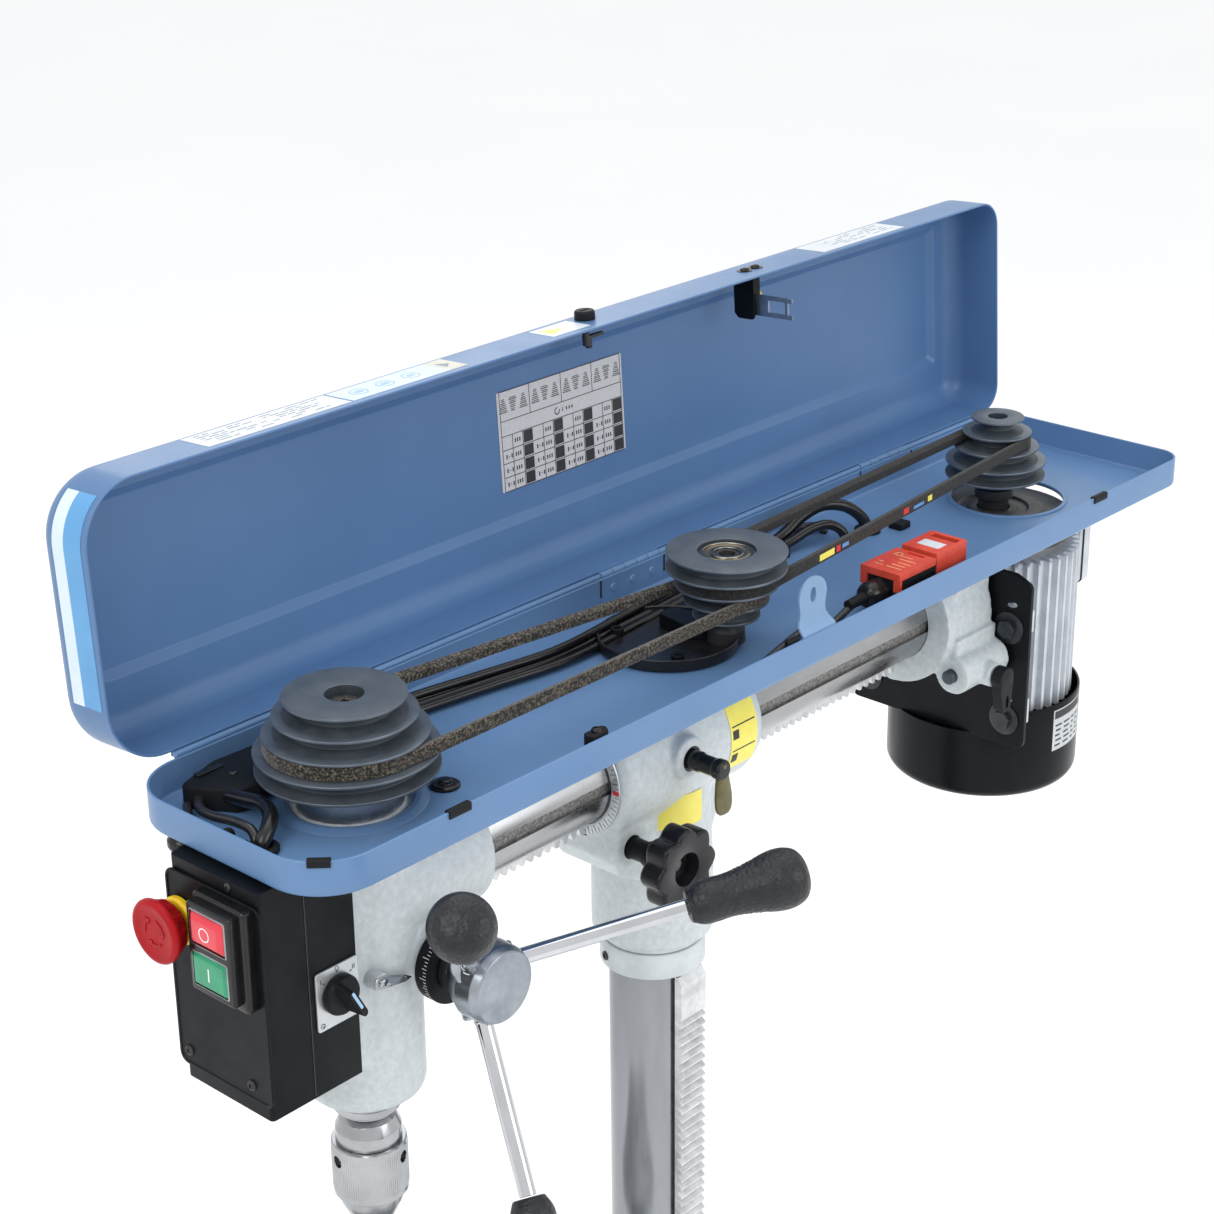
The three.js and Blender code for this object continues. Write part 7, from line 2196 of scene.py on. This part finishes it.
# ------------------------------------------------------------------ quill, chuck (head frame)
def make_quill():
    prof = fillet([(10, -62.4), (21.9, -62.4), (21.9, -222), (21.2, -223), (21.2, -227.8), (10, -227.8)], [.3, .8, .4, .4, .6, .3], 3, True)
    v, f = closed_lathe(prof, 96, "z", (0, SP, 0))
    obj_from("quill_sleeve", v, f, "steel", "quill", 35, origin=(0, SP, -150), slot="ground_steel", replaces=["quill"])
    rings = []
    for z in (-212, -214.5):
        pv, pf = closed_lathe([(21.7, z), (22.0, z), (22.0, z - 0.7), (21.7, z - 0.7)], 72, "z", (0, SP, 0))
        rings.append((pv, pf))
    v, f = join_parts(rings)
    obj_from("quill_lines", v, f, "ink", "quill", 35, slot="black_metal")
    # three jaw chuck: body, knurled sleeve, nose, jaws
    c = (0, SP, 0)
    v, f = lathe(fillet([(0, -233.2), (13.5, -233.2), (17.5, -236), (20.6, -243), (20.6, -252), (0, -252)], [0, .8, 2, 2, .3, 0], 4), 96, "z", c)
    obj_from("chuck_body", v, f, "steel", "spindle", 35, origin=(0, SP, -270), slot="ground_steel")
    rings = []
    m = 192
    for off, z, kn in ((0.8, -252.2, 0), (0, -253, 0), (0, -255.4, 0), (-0.3, -256, 1), (-0.3, -285, 1), (0, -285.6, 0), (0, -288.6, 0), (0.8, -289.4, 0)):
        r0 = 23.4 - off
        q = []
        for k in range(m):
            t = 2 * math.pi * k / m
            rr = r0 - (0.45 if (kn and k % 2) else 0)
            q.append((rr * math.cos(t), SP + rr * math.sin(t), z))
        rings.append(q)
    v, f = loft(rings, True, True)
    ob = raw("chuck_sleeve", [(v, f)])
    keys = []
    for k in range(3):
        cv, cf = lathe([(0, 18), (4.0, 18), (4.0, 30), (0, 30)], 32, "x")
        keys.append((rot(cv, (0, 0, 1), 120 * k + 20) + np.array([0, SP, -262]), cf))
    for kk in keys:
        boolean(ob, [kk])
    finish_obj(ob, "chuck_sleeve", "steel", "spindle", 28, ["chuck"], origin=(0, SP, -270))
    v, f = lathe(fillet([(0, -289.2), (21.6, -289.2), (19.2, -297), (12.8, -310.5), (9.2, -311.5), (0, -311.5)], [0, .8, 2, 2, .6, 0], 4), 96, "z", c)
    obj_from("chuck_nose", v, f, "steel", "spindle", 35, origin=(0, SP, -270), slot="ground_steel")
    for k in range(3):
        jv, jf = prism([(1.2, -2.6), (7.0, -3.2), (7.0, 3.2), (1.2, 2.6)], -317.8, -300, "z")
        jv = np.array(jv)
        obj_from(f"chuck_jaw_{k+1}", rot(jv, (0, 0, 1), 120 * k + 80) + np.array(c), jf, "steel", "spindle", 30, slot="ground_steel", bevel=0.4)


# ------------------------------------------------------------------ column, flange, base, table (row frame)
def row_lathe(name, prof, mat, body, slot, replaces=(), seg=128, origin=(0, 0, 0), smooth=35, center=(0, 0, 0), axis="z"):
    v, f = lathe(prof, seg, axis, center)
    return obj_from(name, v, f, mat, body, smooth, origin=origin, slot=slot, replaces=replaces, row=True)


def make_column():
    v, f = closed_lathe(fillet([(25.2, 48.6), (30, 48.6), (30, 751.4), (25.2, 751.4)], 0.6, 3, True), 160, "z")
    obj_from("column_bar", v, f, "tube2", "base", 35, origin=(0, 0, 400), slot="ground_steel", replaces=["column_tube"], row=True)
    v, f = closed_lathe(fillet([(30.05, 638.4), (35.6, 638.4), (36.2, 639.2), (36.2, 651.5), (35.2, 656.8), (30.05, 656.8)], [.2, .6, .6, 2.5, 1.2, .2], 4, True), 128, "z")
    obj_from("column_collar_ring", v, f, "castflat", "base", 40, origin=(0, 0, 645), slot="casting_grey", replaces=["column_collar"], row=True)
    # set screw of the collar
    v, f = lathe(fillet([(0, 35.6), (3.2, 35.6), (3.2, 37.4), (1.7, 37.4), (1.7, 36.2), (0, 36.2)], 0.2, 2), 28, "x")
    obj_from("column_collar_screw", rot(v, (0, 0, 1), -110) + np.array([0, 0, 647]), f, "ink", "base", 40, slot="black_metal", row=True)
    # rack on the column
    pitch = 2 * math.pi * 10 / 9
    zt = 345 + pitch / 2
    lo, hi = math.ceil((140 - zt) / pitch), math.floor((600 - zt) / pitch)
    out = [(31.2, 118.9), (37.2, 118.9), (37.2, zt + (lo - 0.5) * pitch - 1.2)]
    for k in range(lo, hi + 1):
        r, t = zt + (k - 0.5) * pitch, zt + k * pitch
        out += [(34.0, r - 0.5), (34.0, r + 0.5), (37.2, t - 0.7), (37.2, t + 0.7)]
    e = zt + (hi + 0.5) * pitch
    out += [(34.0, e - 0.5), (34.0, e + 0.2), (37.2, e + 1.6), (37.2, 632), (33.5, 637.4), (31.2, 637.4)]
    # outline is (x, z); the prism across y takes (z, x)
    v, f = prism([(b, a) for a, b in out], -12.8, 12.8, "y")
    ob = raw("column_rack_bar", [(v, f)], row=True)
    bm = bmesh.new(); bm.from_mesh(ob.data)
    bmesh.ops.triangulate(bm, faces=[q for q in bm.faces if len(q.verts) > 8])
    bm.to_mesh(ob.data); bm.free()
    ob.name = "column_rack_bar"
    ob.data.materials.append(M["rackst"])
    shade(ob, 25)
    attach(ob, "column_rack"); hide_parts("column_rack")


def row_piece(ob, name, mat, body, replaces=(), smooth=32):
    ob.name = name
    ob.data.name = name
    ob.data.materials.clear()
    ob.data.materials.append(M[mat])
    shade(ob, smooth)
    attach(ob, body)
    if replaces:
        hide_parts(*replaces)
    return ob


def shift_row(parts):
    """row-frame mm parts to the head frame numbers used by the boolean helper"""
    return [(np.asarray(v, float) - np.array([0, HY, HZ]), f) for v, f in parts]


def make_flange():
    prof = [(0, 48.3), (60, 48.3), (60, 60), (58.6, 62), (50, 66), (43, 76), (40, 92), (38.2, 116.5), (37.0, 118.0), (0, 118.0)]
    v, f = lathe(fillet(prof, [0, .8, 1, 2, 8, 12, 20, 1, .8, 0], 5), 128, "z")
    ob = raw("column_flange_cast", [(v, f)], row=True)
    boolean(ob, shift_row([lathe([(0, 40), (30.05, 40), (30.05, 130), (0, 130)], 96, "z")]))
    row_piece(ob, "column_flange_cast", "cast", "base", ["column_flange"])


def fourth_materials():
    t = new_mat("column_steel", (0.60, 0.61, 0.62), 0.2, 1.0)
    tint(t, (0.22, 0.23, 0.245), (0.34, 0.35, 0.365), 14, 5, stretch=(1, 1, 0.2))
    rough_var(t, 0.14, 0.28, 30, stretch=(1, 1, 0.3))
    bump(t, 700, 0.00002, 0.4, 2, stretch=(3, 3, 0.3))
    M["tube2"] = t


fourth_materials()
make_quill()
make_column()
make_flange()


def make_base():
    BX, BY0, BY1, BH = BASE_DIMS
    rings = []

    def rr(i, z):
        q = rrect(-BX + i, BX - i, BY0 + i, BY1 - i, max(30 - i * 0.8, 4), None, 10)
        rings.append([(a, b, z) for a, b in q])
    rr(1.2, 0.0)
    rr(0.3, 0.6)
    rr(0.2, 2.0)
    rr(3, 37)
    for k in range(1, 9):
        a = math.radians(90 * k / 8)
        rr(3 + 0.8 * k / 8 + 7.5 * (1 - math.cos(a)), 38 + 9.8 * math.sin(a))
    v, f = loft(rings, True, True)
    ob = raw("base_casting", [(v, f)], row=True)
    inner = []
    for i, z in ((12, -5), (14, 26), (20, 32)):
        inner.append([(a, b, z) for a, b in rrect(-BX + i, BX - i, BY0 + i, BY1 - i, 20, None, 8)])
    boolean(ob, shift_row([loft(inner, True, True)]))
    adds = shift_row([lathe([(0, 0.2), (66, 0.2), (64, 40), (0, 40)], 96, "z"), boxm(-118, 118, -14, 14, 8, 40), boxm(-7, 7, BY0 + 8, BY1 - 8, 8, 40)])
    for a in adds:
        boolean(ob, [a], "UNION")
    # the two bolting slots
    for x in (-62, 62):
        boolean(ob, shift_row([prism(rrect(x - 7, x + 7, -290, -110, 6.9, 6.9, 8), 20, 60)]))
    row_piece(ob, "base_casting", "cast", "base", ["base_plate"], 30)
    for i, (x, y) in enumerate([(-46, -46), (46, -46), (-46, 46), (46, 46)]):
        pass
    for i in range(3):
        a = math.radians(30 + 120 * i)
        c = (52.0 * math.cos(a), 52.0 * math.sin(a), 65.0)
        v, f = prism([(8 / math.sqrt(3) * 1.0 * math.cos(math.radians(60 * k)), 8 / math.sqrt(3) * math.sin(math.radians(60 * k))) for k in range(6)], 0, 5.5, "z", c)
        obj_from(f"flange_bolt_{i+1}", v, f, "black", "base", 30, slot="black_metal", row=True, bevel=0.5)
        v, f = lathe(fillet([(0, -1.6), (8, -1.6), (8, 0), (0, 0)], 0.3, 2), 40, "z", c)
        obj_from(f"flange_bolt_washer_{i+1}", v, f, "black", "base", 30, slot="black_metal", row=True)


def make_table():
    rings = []

    def rr(i, z, r=None):
        q = rrect(-120 + i, 120 - i, -355 + i, -115 - i, max((30 - i) if r is None else r, 3), None, 10)
        rings.append([(a, b, z) for a, b in q])
    rr(7.5, 366.0)
    rr(6.4, 366.4)
    rr(5.6, 367.2)
    rr(0.4, 375.6)
    rr(0, 377)
    rr(0, 388.6)
    rr(0.3, 389.5)
    rr(1.1, 390)
    v, f = loft(rings, True, True)
    ob = raw("table_plate", [(v, f)], row=True)
    inner = []
    for z in (350, 374, 376):
        i = 14 if z < 375 else 16
        inner.append([(a, b, z) for a, b in rrect(-120 + i, 120 - i, -355 + i, -115 - i, 16, None, 6)])
    boolean(ob, shift_row([loft(inner, True, True)]))
    for a in shift_row([lathe([(0, -148), (35, -148), (36, -147), (36, -113.6), (35, -112.6), (0, -112.6)], 80, "y", (0, 0, 345)),
                        boxm(-34, 34, -148, -112.8, 345, 377), boxm(-8, 8, -345, -120, 352, 377),
                        lathe([(0, 352), (26, 352), (26, 377), (0, 377)], 64, "z", (0, -235, 0))]):
        boolean(ob, [a], "UNION")
    boolean(ob, shift_row([lathe([(0, 340), (13, 340), (13, 400), (0, 400)], 64, "z", (0, -235, 0))]))
    for s in (-1, 1):
        for w in (-1, 1):
            bx = prism(rrect(-31, 31, -6.5, 6.5, 6.3, 6.3, 6), 352, 400, "z")
            q = rot(bx[0], (0, 0, 1), 45 * s * w) + np.array([s * 62, -235 + w * 62, 0])
            boolean(ob, shift_row([(q, bx[1])]))
    # a fine ring turned round the central hole
    gv, gf = closed_lathe([(17.0, 389.7), (17.8, 389.7), (17.8, 391), (17.0, 391)], 96, "z", (0, -235, 0))
    boolean(ob, shift_row([(gv, gf)]))
    row_piece(ob, "table_plate", "iron", "table", ["table"], 28)
    # tilt bolt with its head
    v, f = lathe(fillet([(0, -120), (8, -120), (8, -98), (0, -98)], 0.5, 3), 48, "y", (0, 0, 345))
    obj_from("table_tilt_bolt", v, f, "black", "table", 35, slot="black_metal", row=True)
    # tilt scale on the bracket boss
    tick = []
    for k in range(-9, 10):
        L = 5 if k % 3 == 0 else 3
        bx = boxm(-0.2, 0.2, -111.0 , -111.0 + L, 38.0, 38.12)
        tick.append((rot(bx[0], (0, 1, 0), 5 * k) + np.array([0, 0, 345]), bx[1]))
    v, f = join_parts(tick)
    obj_from("table_tilt_ticks", v, f, "ink", "table_bracket", 35, slot="black_metal", row=True)


def make_bracket():
    parts = [lathe([(0, 288.4), (46.6, 288.4), (46.6, 395.6), (0, 395.6)], 96, "z"),
             boxm(30, 75.6, -27.6, 27.6, 316.4, 373.6), boxm(-29.6, 29.6, -99.6, -30, 318.4, 371.6),
             lathe([(0, -111.6), (37.6, -111.6), (37.6, -84.4), (0, -84.4)], 80, "y", (0, 0, 345)),
             boxm(-75.6, -40, -12.6, 12.6, 318.4, 371.6)]
    ob = raw("table_bracket_cast", parts, row=True)
    remesh(ob, 1.7, 9, 0.6)
    cuts = [lathe([(0, 280), (30.2, 280), (30.2, 400), (0, 400)], 96, "z"),
            boxm(28, 38, -13.5, 13.5, 280, 400),
            lathe([(0, -14), (12.4, -14), (12.4, 14), (0, 14)], 40, "y", (45.7, 0, 345)),
            boxm(36, 45, -12, 12, 333, 357),
            lathe([(0, 10), (7.4, 10), (7.4, 34), (0, 34)], 40, "y", (45.7, 0, 345)),
            boxm(-78, -28, -1.5, 1.5, 280, 400),
            lathe([(0, -20), (5.3, -20), (5.3, 20), (0, 20)], 32, "y", (-61, 0, 345)),
            lathe([(0, -114), (8.4, -114), (8.4, -96), (0, -96)], 40, "y", (0, 0, 345))]
    for c in cuts:
        boolean(ob, shift_row([c]))
    row_piece(ob, "table_bracket_cast", "cast", "table_bracket", ["table_bracket"])
    # crank: hub, bar, turning grip; pinion with its teeth
    gp = []
    nt = 9
    for k in range(nt):
        b = math.pi + 2 * math.pi * k / nt
        for da, r in ((-0.24, 7.9), (-0.12, 10.3), (0.12, 10.3), (0.24, 7.9)):
            gp.append((345 + r * math.sin(b + da), 45.7 + r * math.cos(b + da)))
    parts = [prism(gp, -10.8, 10.8, "y")]
    parts.append(lathe(fillet([(0, 10), (6.9, 10), (6.9, 50.4), (12.6, 50.6), (12.8, 51.4), (12.8, 57.4), (12.2, 58), (0, 58)], [0, 0, .3, .2, .4, .4, .4, 0], 3), 56, "y", (45.7, 0, 345)))
    bar = [(a, b) for a, b in rrect(345 - 91.6, 345 + 6, 45.7 - 8.8, 45.7 + 8.8, 8.6, 8.6, 8)]
    parts.append(prism(bar, 51.2, 56.8, "y"))
    parts.append(lathe([(0, 56), (5, 56), (5, 61), (0, 61)], 32, "y", (45.7, 0, 263)))
    v, f = join_parts(parts)
    obj_from("table_crank_arm", v, f, "black", "table_crank", 30, origin=(45.7, 55, 345), slot="black_metal", replaces=["table_crank"], row=True, bevel=0.3)
    pts = spline([(5.4, 0, 60.4), (7.2, 0, 61.4), (8.4, 0, 70), (10.2, 0, 90), (11.0, 0, 108), (9.8, 0, 120), (5.6, 0, 125.2), (0, 0, 126)], 48)
    v, f = lathe([(0, 60.4)] + [(max(0, p[0]), p[2]) for p in pts[:-1]] + [(0, 126)], 56, "y", (45.7, 0, 263))
    obj_from("table_crank_grip", v, f, "plastic", "table_crank", 50, slot="black_plastic", row=True)
    # clamp lever
    d = Vector((-0.35, -0.25, -0.9027)).normalized()
    parts = [lathe(fillet([(0, -33.6), (4.9, -33.6), (4.9, 16.6), (0, 16.6)], 0.5, 3), 40, "y", (-61, 0, 345)),
             lathe(fillet([(0, -26), (8.8, -26), (8.8, -13.7), (0, -13.7)], 0.8, 3), 48, "y", (-61, 0, 345))]
    rv, rf = lathe([(0, 0), (4.9, 0), (4, 64), (0, 64)], 32, "z")
    parts.append((along(rv, d, (-61, -30, 345)), rf))
    v, f = join_parts(parts)
    obj_from("table_clamp_bar", v, f, "black", "table_clamp", 35, origin=(-61, -20, 345), slot="black_metal", replaces=["table_clamp_lever"], row=True)
    pts = spline([(5.2, 0, 61.6), (6.6, 0, 64), (9.8, 0, 73), (10, 0, 82), (8.6, 0, 90.4), (5, 0, 94), (0, 0, 94.8)], 40)
    gv, gf = lathe([(0, 61.6)] + [(max(0, p[0]), p[2]) for p in pts[:-1]] + [(0, 94.8)], 48, "z")
    obj_from("table_clamp_grip", along(gv, d, (-61, -30, 345)), gf, "plastic", "table_clamp", 50, slot="black_plastic", row=True)


BASE_DIMS = (130, -330, 110, 48)
make_base()
make_table()
make_bracket()
